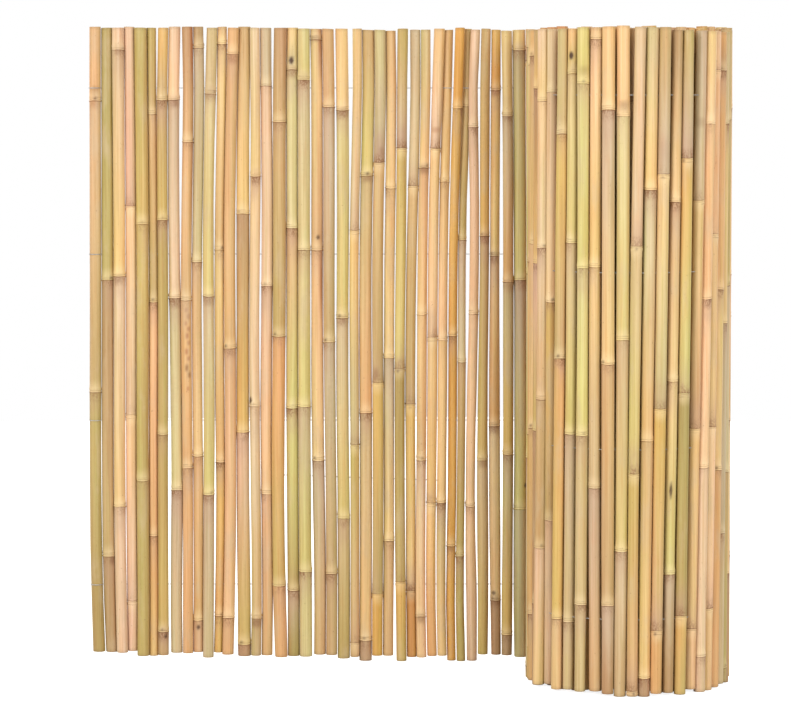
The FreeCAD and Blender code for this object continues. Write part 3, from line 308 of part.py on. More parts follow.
# distance along the path of every cane at the height of each wire
def cane_stations():
    out = []
    guess = centre(CANES[0], WIRE_Z_FLAT[1])[0] - X_TANGENT
    for i, c in enumerate(CANES):
        row = []
        for k in range(4):
            g = guess
            z = wire_at(k, g)[0]
            for _ in range(2):
                x, y = centre(c, z)
                g = path_near(x, y, g)
                z = wire_at(k, g)[0]
            row.append(g)
        out.append(row)
        guess = sum(row) / 4 + 18.3
    return out


STATIONS = cane_stations()


def short_wire_z(x):
    x0, z0, x1, z1 = SHORT_WIRE
    return z0 + (z1 - z0) * (x - x0) / (x1 - x0)


def make_cane(i):
    """one cane; the seam of its surface is turned until the drilled solid is sound"""
    for turn in (17.0, 52.0, -31.0, 75.0, -60.0, 131.0):
        solid = cane_with_seam(i, turn)
        if len(solid.Solids) == 1 and solid.isValid():
            return solid.Solids[0]
    raise SystemExit("cane %d is not one sound solid" % (i + 1))


def cane_with_seam(i, turn):
    c = CANES[i]
    r0, taper, z0, z1, nodes, _ = c
    n = path(STATIONS[i][1])[1]
    seam = math.degrees(math.atan2(n[1], n[0])) + turn
    marks = [(z0, 0.0), (z1, 0.0)]
    for a, b in zip([z0] + list(nodes), list(nodes) + [z1]):
        marks += [(z, 0.0) for z in bends(c, a, b, nodes)]
    for n in nodes:
        marks += [(n - NODE_HALF, 0.0), (n - NODE_FLAT, NODE_RIDGE), (n + NODE_FLAT, NODE_RIDGE), (n + NODE_HALF, 0.0)]
    marks.sort()
    body = Part.makeLoft([ring(c, z, radius(c, z) + h, seam) for z, h in marks], True, True)
    tools = []
    # hollow of each internode; the first and the last are open at the cane's ends
    limits = [z0] + list(nodes) + [z1]
    for a, b in zip(limits[:-1], limits[1:]):
        lo = a - 1.0 if a == z0 else a + SEPTUM_HALF
        hi = b + 1.0 if b == z1 else b - SEPTUM_HALF
        if hi - lo < 6:
            continue
        zs = [lo] + bends(c, lo, hi) + [hi]
        tools.append(Part.makeLoft([ring(c, z, BORE_RATIO * radius(c, z), seam) for z in zs], True, True))
    # drilled wire holes
    drills = []
    for k in range(4):
        s = STATIONS[i][k]
        p, n, t = path(s)
        z, slope = wire_at(k, s)
        drills.append((V(p[0], p[1], z), V(t[0], t[1], slope)))
    x = centre(c, short_wire_z(centre(c, SHORT_WIRE[1])[0]))[0]
    if i < 38 and SHORT_WIRE[0] - 4 < x < SHORT_WIRE[2] + 4:
        drills.append((V(x, Y_FLAT, short_wire_z(x)), V(SHORT_WIRE[2] - SHORT_WIRE[0], 0, SHORT_WIRE[3] - SHORT_WIRE[1])))
    for p, d in drills:
        d.normalize()
        half = r0 + 6.0
        tools.append(Part.makeCylinder(HOLE_R, 2 * half, p - d * half, d))
    return body.cut(tools)


def arc(p, m, q):
    return Part.Arc(p, m, q).toShape()


def end_loop(i, k, exit_sign):
    """points of the loop that holds wire k on an end cane, from the hole outwards:
    leaves the hole, bends inwards, and goes round the cane"""
    s = STATIONS[i][k]
    p, n, t = path(s)
    z = wire_at(k, s)[0]
    cx, cy = centre(CANES[i], z)
    ex, ey = -exit_sign * t[0], -exit_sign * t[1]          # local x axis, away from the exit
    u = (cx - p[0]) * ex + (cy - p[1]) * ey                # cane centre in the local frame
    c = (cx - p[0]) * n[0] + (cy - p[1]) * n[1]
    big = radius(CANES[i], z) + LOOP_GAP + WIRE_R
    rho = LOOP_BEND_R
    xa = u - math.sqrt((big - rho) ** 2 - (c + rho) ** 2)

    def glob(x, y):
        return V(p[0] + x * ex + y * n[0], p[1] + x * ey + y * n[1], z)

    a_end = math.atan2(-rho - c, xa - u) % (2 * math.pi)   # where the bend meets the big circle
    b0 = math.pi / 2
    b1 = a_end
    bm = (b0 + b1) / 2
    small = [glob(xa + rho * math.cos(a), -rho + rho * math.sin(a)) for a in (b0, bm, b1)]
    a1 = math.radians(332)
    am = (a_end + a1) / 2
    large = [glob(u + big * math.cos(a), c + big * math.sin(a)) for a in (a_end, am, a1)]
    return small, large


def make_wire(k):
    first_small, first_large = end_loop(0, k, -1)
    last = len(CANES) - 1
    last_small, last_large = end_loop(last, k, 1)
    zf, zr = WIRE_Z_FLAT[k], WIRE_Z_ROLL[k]
    edges = [arc(first_large[2], first_large[1], first_large[0]), arc(first_small[2], first_small[1], first_small[0])]
    x0, x1, drop, r = step_curve(k)
    xm = (x0 + x1) / 2
    P0, P2 = V(x0, Y_FLAT, zf), V(x1, Y_FLAT, zr)
    PM = V(xm, Y_FLAT, (zf + zr) / 2)

    def on(x):
        return V(x, Y_FLAT, wire_at(k, x - X_TANGENT)[0])

    edges.append(Part.LineSegment(first_small[0], P0).toShape())
    edges.append(arc(P0, on((x0 + xm) / 2), PM))
    edges.append(arc(PM, on((x1 + xm) / 2), P2))
    edges.append(Part.LineSegment(P2, V(X_TANGENT, Y_FLAT, zr)).toShape())
    # half turns up to the last cane
    s_last = STATIONS[last][k]
    done = 0.0
    for cy, rr, a0, length in turns():
        stop = min(length, s_last - done)
        pts = []
        for f in (0.0, 0.5, 1.0):
            a = a0 + f * stop / rr
            pts.append(V(X_TANGENT + rr * math.sin(a), cy + rr * math.cos(a), zr))
        edges.append(arc(*pts))
        done += length
        if done >= s_last:
            break
    edges.append(Part.LineSegment(pts[2], last_small[0]).toShape())
    edges.append(arc(*last_small))
    edges.append(arc(*last_large))
    route = Part.Wire(edges)
    start = route.Edges[0]
    p = edges[0].valueAt(edges[0].FirstParameter)
    d = edges[0].tangentAt(edges[0].FirstParameter)
    tube = route.makePipeShell([Part.Wire(Part.makeCircle(WIRE_R, p, d))], True, False)
    want = math.pi * WIRE_R ** 2 * route.Length
    print("wire", k + 1, "length %.1f" % route.Length, "volume / section x length %.4f" % (tube.Volume / want), tube.isValid(), len(tube.Solids))
    return tube.Solids[0]


def make_short_wire():
    x0, z0, x1, z1 = SHORT_WIRE
    a, b = V(x0, Y_FLAT, z0), V(x1, Y_FLAT, z1)
    return Part.makeCylinder(WIRE_R, (b - a).Length, a, b - a)


# ---- named pieces: single canes along the flat stretch, groups of neighbours elsewhere
GROUPS = {"cane_%02d" % (i + 1): [i] for i in range(38)}


def group(name, first, last):
    GROUPS[name] = list(range(first - 1, last))


group("canes_behind_roll", 39, 46)
group("roll_outer_right_a", 47, 56)
group("roll_outer_right_b", 57, 66)
group("roll_front_right", 67, 72)
group("roll_front_left", 73, 79)
group("roll_outer_left_a", 80, 86)
group("roll_outer_left_b", 87, 92)
group("roll_second_turn_a", 93, 101)
group("roll_second_turn_b", 102, 110)
group("roll_second_turn_c", 111, 119)
group("roll_second_turn_d", 120, 128)
group("roll_second_turn_e", 129, 136)
group("roll_inner_turn_a", 137, 145)
group("roll_inner_turn_b", 146, 154)
group("roll_inner_turn_c", 155, len(CANES))


def main():
    os.makedirs("parts", exist_ok=True)
    for name, members in GROUPS.items():
        solids = [make_cane(i) for i in members]
        shape = solids[0] if len(solids) == 1 else Part.Compound(solids)
        shape.exportStep("parts/%s.step" % name)
    for k, place in enumerate(("top", "upper", "lower", "bottom")):
        make_wire(k).exportStep("parts/wire_%s.step" % place)
    make_short_wire().exportStep("parts/wire_short_extra.step")


if __name__ == "__main__":
    main()
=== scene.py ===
import bpy
import math
import random
import numpy as np
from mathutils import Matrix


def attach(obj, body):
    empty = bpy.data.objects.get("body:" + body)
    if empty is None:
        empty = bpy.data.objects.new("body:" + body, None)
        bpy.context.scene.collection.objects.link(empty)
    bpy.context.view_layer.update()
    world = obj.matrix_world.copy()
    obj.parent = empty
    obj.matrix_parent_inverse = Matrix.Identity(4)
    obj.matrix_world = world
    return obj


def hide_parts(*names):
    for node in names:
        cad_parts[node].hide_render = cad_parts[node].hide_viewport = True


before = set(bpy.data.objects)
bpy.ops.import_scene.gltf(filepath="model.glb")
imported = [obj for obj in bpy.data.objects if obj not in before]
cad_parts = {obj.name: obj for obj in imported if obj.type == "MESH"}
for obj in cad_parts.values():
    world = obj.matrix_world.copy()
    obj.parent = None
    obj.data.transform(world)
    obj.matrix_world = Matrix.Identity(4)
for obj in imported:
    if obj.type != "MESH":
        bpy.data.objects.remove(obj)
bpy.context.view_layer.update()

MM = 0.001

# ---------------------------------------------------------------- the canes
# one row per cane: radius, taper, foot, head, (node heights), (x, y of the centre line at 12 even heights from 0 to KNOT_TOP); millimetres
CANES = [
    (9.05, -0.050, 14.8, 1008.7, (429.8, 891.5), (-487.7, 150.6, -490.4, 150.6, -492.1, 150.6, -492.6, 150.6, -492.4, 150.6, -491.9, 150.5, -491.3, 150.4, -490.8, 150.3, -490.5, 150.2, -490.3, 150.2, -490.1, 150.2, -489.6, 150.3)),
    (9.20, -0.037, 14.0, 1007.1, (167.5, 608.1), (-467.5, 153.6, -470.9, 152.5, -472.6, 151.9, -473.2, 151.8, -473.1, 151.8, -472.7, 151.9, -472.2, 152.1, -471.8, 152.3, -471.6, 152.6, -471.5, 153.0, -471.5, 153.4, -471.1, 153.9)),
    (9.11, 0.050, 14.0, 1007.1, (247.6, 614.4, 971.9), (-450.3, 145.0, -452.3, 147.7, -453.6, 148.9, -454.1, 149.2, -454.0, 149.1, -453.6, 149.0, -453.2, 148.9, -452.8, 148.7, -452.7, 148.4, -452.9, 147.9, -453.2, 147.2, -453.3, 146.3)),
    (8.53, -0.005, 15.2, 1008.7, (96.9, 394.7, 725.4), (-434.8, 155.0, -434.8, 153.5, -435.4, 152.6, -435.8, 152.4, -435.7, 152.4, -435.4, 152.5, -434.9, 152.5, -434.5, 152.6, -434.5, 152.8, -434.8, 153.1, -435.4, 153.4, -436.0, 153.6)),
    (9.70, 0.016, 8.7, 1007.1, (289.3, 696.9), (-417.6, 146.6, -416.8, 146.8, -417.1, 147.0, -417.3, 147.1, -417.3, 147.2, -416.8, 147.3, -416.3, 147.4, -416.0, 147.4, -416.1, 147.2, -416.5, 147.0, -417.3, 146.8, -417.8, 147.2)),
    (7.28, 0.007, 7.5, 1007.1, (199.6, 573.1, 870.9), (-401.4, 154.0, -400.6, 154.2, -400.7, 154.2, -400.8, 154.1, -400.6, 153.9, -400.1, 153.8, -399.5, 153.8, -399.2, 154.0, -399.5, 154.3, -400.0, 154.2, -400.7, 153.9, -400.9, 153.7)),
    (8.23, 0.002, 9.5, 1007.1, (47.0, 362.8, 703.3, 893.0), (-385.5, 148.5, -385.2, 148.3, -385.3, 148.3, -385.3, 148.4, -385.0, 148.5, -384.4, 148.5, -383.9, 148.4, -383.8, 148.0, -384.3, 147.7, -384.6, 148.1, -384.0, 148.5, -381.9, 148.2)),
    (9.00, 0.033, 12.8, 1008.7, (273.3, 579.5, 893.0), (-364.4, 152.8, -365.0, 152.8, -364.1, 152.8, -363.1, 152.8, -363.4, 153.0, -364.2, 153.0, -365.1, 152.8, -366.2, 152.9, -366.8, 153.1, -366.9, 152.9, -366.1, 152.8, -364.2, 153.1)),
    (8.19, 0.050, 12.8, 1008.7, (308.5, 576.3, 826.7), (-346.3, 147.4, -346.0, 147.5, -345.6, 147.7, -345.6, 148.0, -346.1, 147.7, -346.9, 147.7, -347.5, 148.1, -347.0, 148.1, -345.6, 148.2, -343.8, 148.2, -342.6, 148.2, -343.9, 148.2)),
    (7.77, 0.050, 13.6, 1008.7, (64.7, 327.6, 636.6, 975.0), (-330.5, 152.4, -330.1, 152.3, -329.4, 151.9, -329.2, 151.4, -329.7, 151.5, -330.3, 151.4, -330.8, 151.3, -330.2, 151.3, -328.7, 151.3, -326.9, 151.3, -325.5, 151.2, -326.8, 151.3)),
    (8.30, -0.050, 5.9, 1007.1, (266.9, 582.6, 902.5), (-314.1, 147.7, -313.5, 148.3, -312.7, 148.4, -312.2, 148.7, -311.4, 148.7, -311.4, 148.7, -311.8, 148.7, -312.1, 148.7, -311.7, 148.7, -310.0, 148.7, -307.4, 148.7, -305.0, 148.2)),
    (7.39, 0.050, 12.8, 1008.7, (71.2, 318.0, 655.7, 981.3), (-298.7, 154.2, -296.5, 153.6, -294.6, 153.5, -293.8, 153.2, -294.3, 153.2, -295.0, 153.2, -295.4, 153.2, -294.9, 153.2, -293.8, 153.3, -291.9, 153.3, -290.1, 153.2, -289.2, 153.7)),
    (8.80, -0.050, 10.8, 1007.1, (69.6, 499.9, 965.6), (-283.0, 147.2, -280.5, 147.2, -278.5, 147.3, -277.6, 147.6, -277.3, 147.5, -277.5, 147.6, -278.1, 147.6, -278.3, 147.6, -277.6, 147.5, -275.8, 147.5, -273.7, 147.2, -271.1, 146.2)),
    (9.81, -0.019, 7.5, 1008.7, (26.1, 366.0, 712.8), (-256.6, 152.9, -256.8, 152.7, -257.7, 152.7, -258.3, 152.7, -258.3, 152.8, -258.2, 152.7, -257.8, 152.7, -257.4, 152.7, -257.1, 152.7, -256.8, 152.7, -255.3, 153.1, -254.2, 155.6)),
    (7.90, -0.024, 8.7, 1007.1, (67.9, 407.5, 772.9), (-238.2, 148.5, -236.4, 148.6, -236.7, 148.4, -237.8, 148.5, -238.7, 148.7, -239.5, 148.7, -239.4, 148.7, -238.6, 148.7, -237.3, 148.7, -236.4, 148.7, -237.0, 148.5, -237.7, 147.2)),
    (8.74, 0.037, 8.7, 1007.1, (266.9, 598.5, 915.1), (-220.8, 153.2, -219.4, 153.2, -219.9, 153.6, -220.8, 153.4, -221.4, 153.2, -220.8, 153.2, -219.7, 153.2, -218.7, 153.2, -218.4, 153.2, -219.0, 153.2, -220.0, 153.3, -220.6, 153.2)),
    (9.86, 0.018, 6.7, 1007.1, (121.0, 519.0, 858.3), (-197.3, 147.6, -199.9, 147.6, -201.5, 147.5, -202.2, 147.6, -201.8, 147.6, -200.8, 147.6, -199.7, 147.6, -199.1, 147.6, -199.0, 147.6, -199.1, 147.6, -198.7, 147.5, -197.1, 146.8)),
    (9.32, -0.010, 7.5, 1007.1, (112.9, 404.3, 690.6, 940.4), (-177.9, 153.0, -177.9, 153.0, -178.5, 152.9, -179.2, 152.9, -179.6, 153.0, -179.7, 153.0, -179.5, 153.0, -179.3, 153.1, -179.2, 153.0, -179.3, 153.1, -179.4, 153.3, -178.5, 154.6)),
    (9.60, -0.050, 7.5, 1005.6, (143.4, 407.5, 655.7, 924.6), (-158.2, 148.2, -158.3, 148.3, -158.9, 148.3, -159.6, 148.3, -160.1, 148.3, -160.3, 148.2, -160.2, 148.2, -160.1, 148.2, -160.0, 148.2, -160.1, 148.2, -160.4, 148.1, -160.2, 147.5)),
    (9.35, -0.050, 9.9, 1005.6, (321.2, 655.7, 987.6), (-136.1, 153.1, -135.5, 153.1, -136.1, 152.8, -137.6, 152.7, -138.9, 152.7, -139.6, 152.7, -139.8, 152.8, -139.8, 152.9, -139.6, 153.0, -139.4, 152.9, -139.7, 152.9, -141.0, 153.2)),
    (9.07, 0.050, 9.9, 1005.6, (140.2, 509.5, 882.0), (-117.4, 147.8, -116.8, 147.8, -117.2, 148.3, -117.8, 148.6, -118.9, 148.6, -119.9, 148.7, -120.8, 148.7, -120.9, 148.5, -120.7, 148.5, -120.4, 148.5, -120.8, 148.6, -122.3, 148.2)),
    (9.73, -0.050, 3.9, 1005.6, (228.4, 547.7, 877.2), (-98.0, 151.9, -97.6, 152.5, -97.7, 151.9, -98.2, 151.4, -99.3, 151.3, -99.9, 151.2, -99.6, 151.2, -99.0, 151.2, -98.6, 151.2, -98.7, 151.2, -99.4, 151.2, -100.7, 151.2)),
    (7.40, 0.050, 6.7, 1005.6, (29.3, 346.8, 687.4), (-80.3, 147.6, -80.2, 147.1, -80.0, 147.7, -80.0, 148.2, -80.1, 148.2, -80.7, 148.3, -81.2, 148.3, -81.1, 148.3, -79.7, 148.3, -77.3, 148.3, -75.4, 148.1, -75.9, 148.1)),
    (9.86, -0.029, 0.0, 1004.0, (32.6, 396.3, 772.9), (-63.2, 153.8, -63.1, 153.3, -62.6, 153.1, -62.4, 152.9, -62.4, 152.9, -63.0, 152.9, -63.4, 152.9, -63.0, 152.9, -61.6, 152.9, -59.6, 153.0, -57.8, 153.3, -58.5, 153.7)),
    (8.60, 0.050, 8.7, 1004.0, (108.1, 445.8, 795.1), (-44.6, 148.1, -44.3, 148.4, -43.3, 148.3, -43.0, 148.1, -43.1, 148.2, -43.4, 148.4, -43.9, 148.5, -43.8, 148.5, -42.6, 148.5, -40.6, 148.4, -39.0, 148.0, -40.0, 147.2)),
    (8.52, -0.050, 7.9, 1002.4, (191.6, 484.0, 753.9), (-27.4, 153.6, -26.9, 153.6, -26.0, 153.7, -25.9, 154.3, -26.0, 154.2, -26.1, 153.8, -25.7, 153.5, -24.9, 153.5, -23.5, 153.5, -22.5, 153.8, -21.9, 154.0, -23.3, 154.2)),
    (8.24, -0.020, 0.0, 1005.6, (127.4, 468.1, 817.2), (-5.8, 149.1, -6.8, 149.4, -8.1, 149.8, -8.7, 149.4, -8.8, 149.4, -8.8, 149.5, -8.3, 149.6, -7.0, 149.7, -6.2, 149.8, -5.4, 149.5, -4.9, 149.5, -3.8, 149.8)),
    (8.00, 0.050, 5.5, 1004.0, (111.3, 410.7, 757.1), (10.6, 154.0, 9.5, 154.7, 8.8, 154.0, 8.9, 153.3, 8.1, 153.2, 8.0, 153.3, 8.6, 153.3, 9.9, 153.2, 12.1, 153.2, 14.5, 153.3, 16.2, 153.3, 15.7, 153.2)),
    (7.82, -0.021, 5.9, 1004.0, (71.2, 321.2, 554.0, 785.6), (26.4, 148.5, 24.5, 147.3, 24.4, 147.7, 25.0, 148.5, 25.9, 148.7, 26.4, 148.7, 26.7, 148.7, 27.3, 148.7, 28.5, 148.7, 30.7, 148.5, 32.4, 148.5, 32.2, 148.7)),
    (7.83, 0.050, 7.9, 1005.6, (254.0, 517.4, 817.2), (43.1, 149.0, 40.9, 148.9, 40.9, 148.8, 41.6, 148.7, 42.5, 148.7, 43.0, 148.7, 43.4, 148.6, 44.0, 148.6, 45.3, 148.6, 47.7, 148.6, 51.0, 148.6, 54.0, 148.6)),
    (7.45, -0.011, 8.7, 1004.0, (254.0, 512.7, 763.4), (59.1, 147.3, 57.0, 147.3, 57.0, 147.2, 57.7, 147.0, 58.6, 147.0, 59.2, 147.4, 59.7, 148.7, 60.2, 151.2, 61.6, 153.6, 63.9, 156.1, 66.3, 158.1, 68.1, 159.6)),
    (6.97, 0.020, 0.0, 1007.1, (183.5, 519.0, 880.4), (73.9, 153.2, 72.2, 153.6, 73.1, 154.0, 74.6, 154.3, 75.2, 154.3, 75.5, 153.8, 75.5, 152.2, 76.1, 150.5, 77.8, 149.4, 80.4, 148.3, 83.8, 147.5, 86.3, 146.6)),
    (6.42, -0.050, 0.0, 1005.6, (167.5, 477.6, 671.5, 883.6), (89.0, 148.2, 87.0, 148.7, 87.3, 149.1, 88.3, 149.6, 89.3, 150.9, 89.8, 152.1, 89.8, 153.1, 90.1, 154.0, 91.4, 155.3, 94.3, 157.1, 97.4, 159.2, 98.7, 161.1)),
    (7.63, -0.050, 0.0, 1004.0, (247.6, 554.0, 850.4), (106.4, 153.0, 106.0, 152.8, 104.2, 152.6, 103.4, 152.1, 104.4, 151.1, 106.3, 150.1, 108.4, 149.3, 109.6, 148.9, 109.7, 148.7, 108.0, 148.4, 107.2, 148.0, 110.9, 147.6)),
    (7.54, -0.050, 10.8, 1005.6, (321.2, 677.9), (123.6, 148.3, 124.3, 148.3, 123.7, 148.3, 123.0, 148.3, 122.8, 148.3, 123.4, 148.3, 124.6, 148.3, 125.6, 148.2, 125.7, 148.3, 125.8, 148.3, 126.0, 148.3, 127.5, 148.3)),
    (7.63, -0.050, 9.5, 1004.0, (96.9, 375.6, 646.2, 908.8), (145.2, 152.7, 144.1, 152.7, 143.2, 152.7, 142.4, 152.7, 142.0, 152.7, 141.8, 152.7, 141.7, 152.7, 141.9, 152.7, 142.1, 152.7, 142.5, 152.7, 143.2, 152.8, 143.5, 153.2)),
    (8.31, 0.048, 9.5, 1002.4, (42.2, 330.8, 604.9, 867.8), (162.0, 148.2, 162.4, 148.2, 163.0, 148.2, 163.4, 148.2, 163.6, 148.2, 163.6, 148.2, 163.5, 148.2, 163.3, 148.2, 163.0, 148.2, 162.3, 148.1, 161.2, 148.2, 159.6, 147.8)),
    (9.86, 0.042, 5.9, 1004.0, (242.8, 608.1, 971.9), (184.0, 153.4, 182.8, 153.4, 182.6, 153.4, 182.8, 153.4, 183.1, 153.5, 183.0, 153.6, 182.6, 153.6, 182.1, 153.6, 181.6, 153.6, 180.9, 153.7, 180.1, 153.5, 179.2, 153.4)),
    (7.66, 0.004, 1.0, 1004.7, (219.4, 591.7, 954.0), (202.3, 148.2, 201.9, 148.2, 201.6, 148.2, 201.2, 148.2, 200.8, 148.2, 200.6, 148.1, 200.3, 148.0, 199.9, 148.0, 199.3, 148.0, 198.8, 148.1, 198.0, 148.1, 197.4, 148.2)),
    (7.64, 0.015, 0.0, 1001.1, (76.7, 380.2, 666.3, 951.1), (221.1, 153.0, 220.5, 153.0, 220.0, 153.0, 219.4, 153.0, 218.7, 153.0, 218.2, 153.0, 217.7, 153.0, 217.2, 153.0, 216.7, 153.0, 216.1, 153.0, 215.5, 153.0, 214.9, 153.0)),
    (7.69, 0.039, 2.0, 1002.9, (52.9, 311.7, 592.9, 918.9), (240.0, 148.3, 239.5, 148.3, 239.0, 148.3, 238.5, 148.3, 238.0, 148.3, 237.5, 148.3, 237.0, 148.3, 236.4, 148.3, 235.7, 148.3, 235.0, 148.3, 234.4, 148.3, 233.9, 148.3)),
    (8.08, 0.026, 0.0, 1001.4, (262.2, 576.8, 913.4), (258.5, 152.6, 257.9, 152.6, 257.3, 152.6, 256.7, 152.6, 256.1, 152.6, 255.4, 152.6, 254.7, 152.6, 254.0, 152.6, 253.3, 152.6, 252.5, 152.6, 251.7, 152.6, 251.0, 152.6)),
    (8.83, 0.002, 5.5, 1002.1, (83.2, 338.1, 658.3, 937.3), (277.2, 148.4, 276.5, 148.5, 275.8, 148.6, 275.1, 148.6, 274.4, 148.7, 273.8, 148.7, 273.1, 148.7, 272.4, 148.6, 271.7, 148.6, 271.0, 148.6, 270.3, 148.6, 269.6, 148.6)),
    (8.83, 0.022, 4.0, 1003.4, (307.7, 614.8, 985.0), (295.0, 153.5, 294.4, 153.5, 293.7, 153.4, 293.1, 153.3, 292.5, 153.3, 291.8, 153.3, 291.2, 153.3, 290.5, 153.3, 289.8, 153.4, 289.1, 153.4, 288.4, 153.4, 287.8, 153.4)),
    (8.24, -0.021, 2.0, 1001.3, (40.1, 325.9, 650.4, 951.9), (314.6, 148.0, 313.7, 148.0, 312.8, 148.0, 312.1, 148.0, 311.4, 148.0, 310.6, 148.0, 309.9, 148.0, 309.1, 148.0, 308.3, 148.0, 307.5, 148.0, 306.7, 148.0, 305.8, 148.0)),
    (8.04, 0.005, 5.5, 1004.2, (230.6, 565.5, 935.3), (332.8, 153.0, 332.0, 153.0, 331.1, 153.0, 330.3, 153.0, 329.5, 153.0, 328.6, 153.0, 327.6, 153.0, 326.6, 153.0, 325.7, 153.0, 324.9, 153.0, 324.3, 153.0, 323.5, 153.0)),
    (7.70, 0.035, 2.0, 1000.2, (279.4, 575.3, 891.8), (351.2, 147.7, 350.5, 147.8, 349.7, 147.9, 348.9, 147.9, 348.0, 148.0, 347.2, 148.0, 346.3, 148.1, 345.4, 148.2, 344.5, 148.2, 343.6, 148.3, 342.7, 148.3, 341.9, 148.3)),
    (8.74, 0.006, 3.0, 1000.7, (194.2, 530.0, 866.8), (370.3, 149.9, 369.4, 150.1, 368.4, 150.3, 367.5, 150.5, 366.6, 150.7, 365.6, 150.8, 364.6, 151.0, 363.6, 151.2, 362.8, 151.3, 361.9, 151.5, 360.8, 151.6, 359.8, 151.8)),
    (7.77, 0.020, 0.0, 1002.4, (69.9, 277.4, 488.3, 749.0, 981.2), (387.1, 140.2, 386.3, 140.5, 385.3, 140.8, 384.3, 141.1, 383.3, 141.5, 382.3, 141.8, 381.4, 142.0, 380.4, 142.3, 379.4, 142.6, 378.5, 142.9, 377.7, 143.1, 376.9, 143.3)),
    (8.05, 0.008, 2.0, 1002.0, (106.2, 409.8, 696.1, 955.4), (405.5, 137.2, 404.6, 137.6, 403.7, 138.1, 402.9, 138.4, 402.1, 138.8, 401.3, 139.2, 400.4, 139.6, 399.5, 140.0, 398.5, 140.4, 397.6, 140.8, 396.8, 141.1, 396.0, 141.4)),
    (8.60, 0.016, 2.0, 1004.2, (103.5, 361.3, 660.3, 973.3), (419.8, 123.7, 418.9, 124.2, 417.9, 124.8, 417.1, 125.4, 416.2, 125.9, 415.3, 126.4, 414.4, 127.0, 413.4, 127.5, 412.5, 128.1, 411.7, 128.5, 410.9, 129.0, 410.1, 129.4)),
    (8.03, 0.006, 0.0, 1000.0, (270.3, 609.9, 887.1), (436.9, 115.4, 436.1, 116.1, 435.2, 116.8, 434.4, 117.5, 433.6, 118.1, 432.7, 118.8, 431.8, 119.5, 430.9, 120.2, 429.9, 120.9, 429.0, 121.6, 428.2, 122.2, 427.3, 122.9)),
    (8.38, -0.011, 4.0, 1005.4, (279.0, 598.4, 891.3), (447.6, 101.6, 446.9, 102.3, 446.2, 103.0, 445.5, 103.7, 444.8, 104.5, 444.0, 105.2, 443.2, 106.0, 442.3, 106.8, 441.5, 107.6, 440.6, 108.4, 439.8, 109.2, 439.0, 109.9)),
    (7.73, 0.021, 0.0, 1002.8, (226.0, 547.6, 919.4), (462.9, 89.5, 462.1, 90.5, 461.4, 91.5, 460.7, 92.4, 459.9, 93.4, 459.2, 94.3, 458.4, 95.2, 457.7, 96.1, 457.0, 96.9, 456.3, 97.8, 455.6, 98.6, 454.8, 99.5)),
    (8.65, -0.014, 1.0, 1002.8, (226.3, 568.1, 914.6), (468.9, 71.6, 468.3, 72.7, 467.6, 73.7, 467.0, 74.8, 466.4, 75.8, 465.8, 76.7, 465.1, 77.7, 464.5, 78.7, 463.9, 79.7, 463.3, 80.6, 462.6, 81.6, 462.0, 82.6)),
    (8.86, -0.010, 0.0, 1001.8, (100.0, 385.6, 618.1, 869.1), (479.7, 56.4, 479.2, 57.6, 478.7, 58.8, 478.2, 60.0, 477.7, 61.1, 477.2, 62.2, 476.7, 63.3, 476.2, 64.4, 475.6, 65.4, 475.1, 66.5, 474.5, 67.5, 474.0, 68.6)),
    (7.95, -0.007, 5.5, 1002.9, (234.7, 589.6, 950.8), (485.4, 38.1, 485.1, 39.3, 484.8, 40.4, 484.4, 41.5, 484.1, 42.7, 483.6, 44.0, 483.2, 45.4, 482.8, 46.7, 482.3, 48.0, 481.9, 49.2, 481.4, 50.5, 480.9, 51.7)),
    (8.79, 0.004, 1.0, 1005.4, (71.9, 358.6, 627.1, 886.0), (489.9, 20.4, 489.7, 21.7, 489.4, 23.0, 489.2, 24.3, 488.9, 25.7, 488.7, 27.0, 488.4, 28.4, 488.1, 29.7, 487.8, 31.1, 487.5, 32.4, 487.2, 33.7, 486.9, 35.0)),
    (8.58, -0.014, 3.0, 1003.0, (227.5, 524.6, 891.8), (491.0, 2.0, 490.9, 3.3, 490.9, 4.7, 490.8, 6.0, 490.7, 7.3, 490.6, 8.7, 490.5, 10.1, 490.3, 11.5, 490.2, 12.8, 490.1, 14.2, 489.9, 15.5, 489.7, 16.9)),
    (8.37, -0.034, 5.5, 1004.0, (192.4, 561.5, 891.8), (491.3, -16.2, 491.4, -14.8, 491.5, -13.4, 491.5, -12.0, 491.6, -10.7, 491.7, -9.2, 491.7, -7.8, 491.7, -6.4, 491.8, -5.0, 491.8, -3.6, 491.8, -2.2, 491.8, -0.8)),
    (8.44, -0.024, 0.0, 999.8, (167.8, 403.9, 627.1, 880.0), (487.7, -35.1, 488.0, -33.6, 488.3, -32.1, 488.6, -30.6, 488.8, -29.2, 489.1, -27.7, 489.3, -26.3, 489.5, -24.9, 489.7, -23.4, 489.9, -21.8, 490.1, -20.3, 490.2, -18.8)),
    (7.82, -0.004, 4.0, 999.5, (25.2, 326.0, 611.2, 863.5), (483.5, -52.4, 484.0, -51.1, 484.4, -49.8, 484.8, -48.4, 485.2, -47.0, 485.7, -45.5, 486.1, -44.0, 486.5, -42.6, 486.8, -41.3, 487.2, -39.9, 487.5, -38.4, 487.8, -37.0)),
    (8.14, -0.034, 4.0, 996.7, (235.0, 555.0, 858.2), (476.2, -69.0, 476.8, -67.7, 477.4, -66.5, 478.0, -65.2, 478.6, -63.8, 479.3, -62.2, 479.9, -60.7, 480.4, -59.4, 480.9, -58.0, 481.5, -56.6, 482.0, -55.2, 482.5, -53.7)),
    (8.34, 0.037, 2.0, 996.2, (333.0, 606.9, 937.5), (467.3, -86.4, 468.2, -85.0, 469.1, -83.6, 470.0, -82.1, 470.8, -80.7, 471.6, -79.3, 472.4, -77.8, 473.2, -76.4, 474.0, -75.0, 474.7, -73.6, 475.5, -72.1, 476.2, -70.6)),
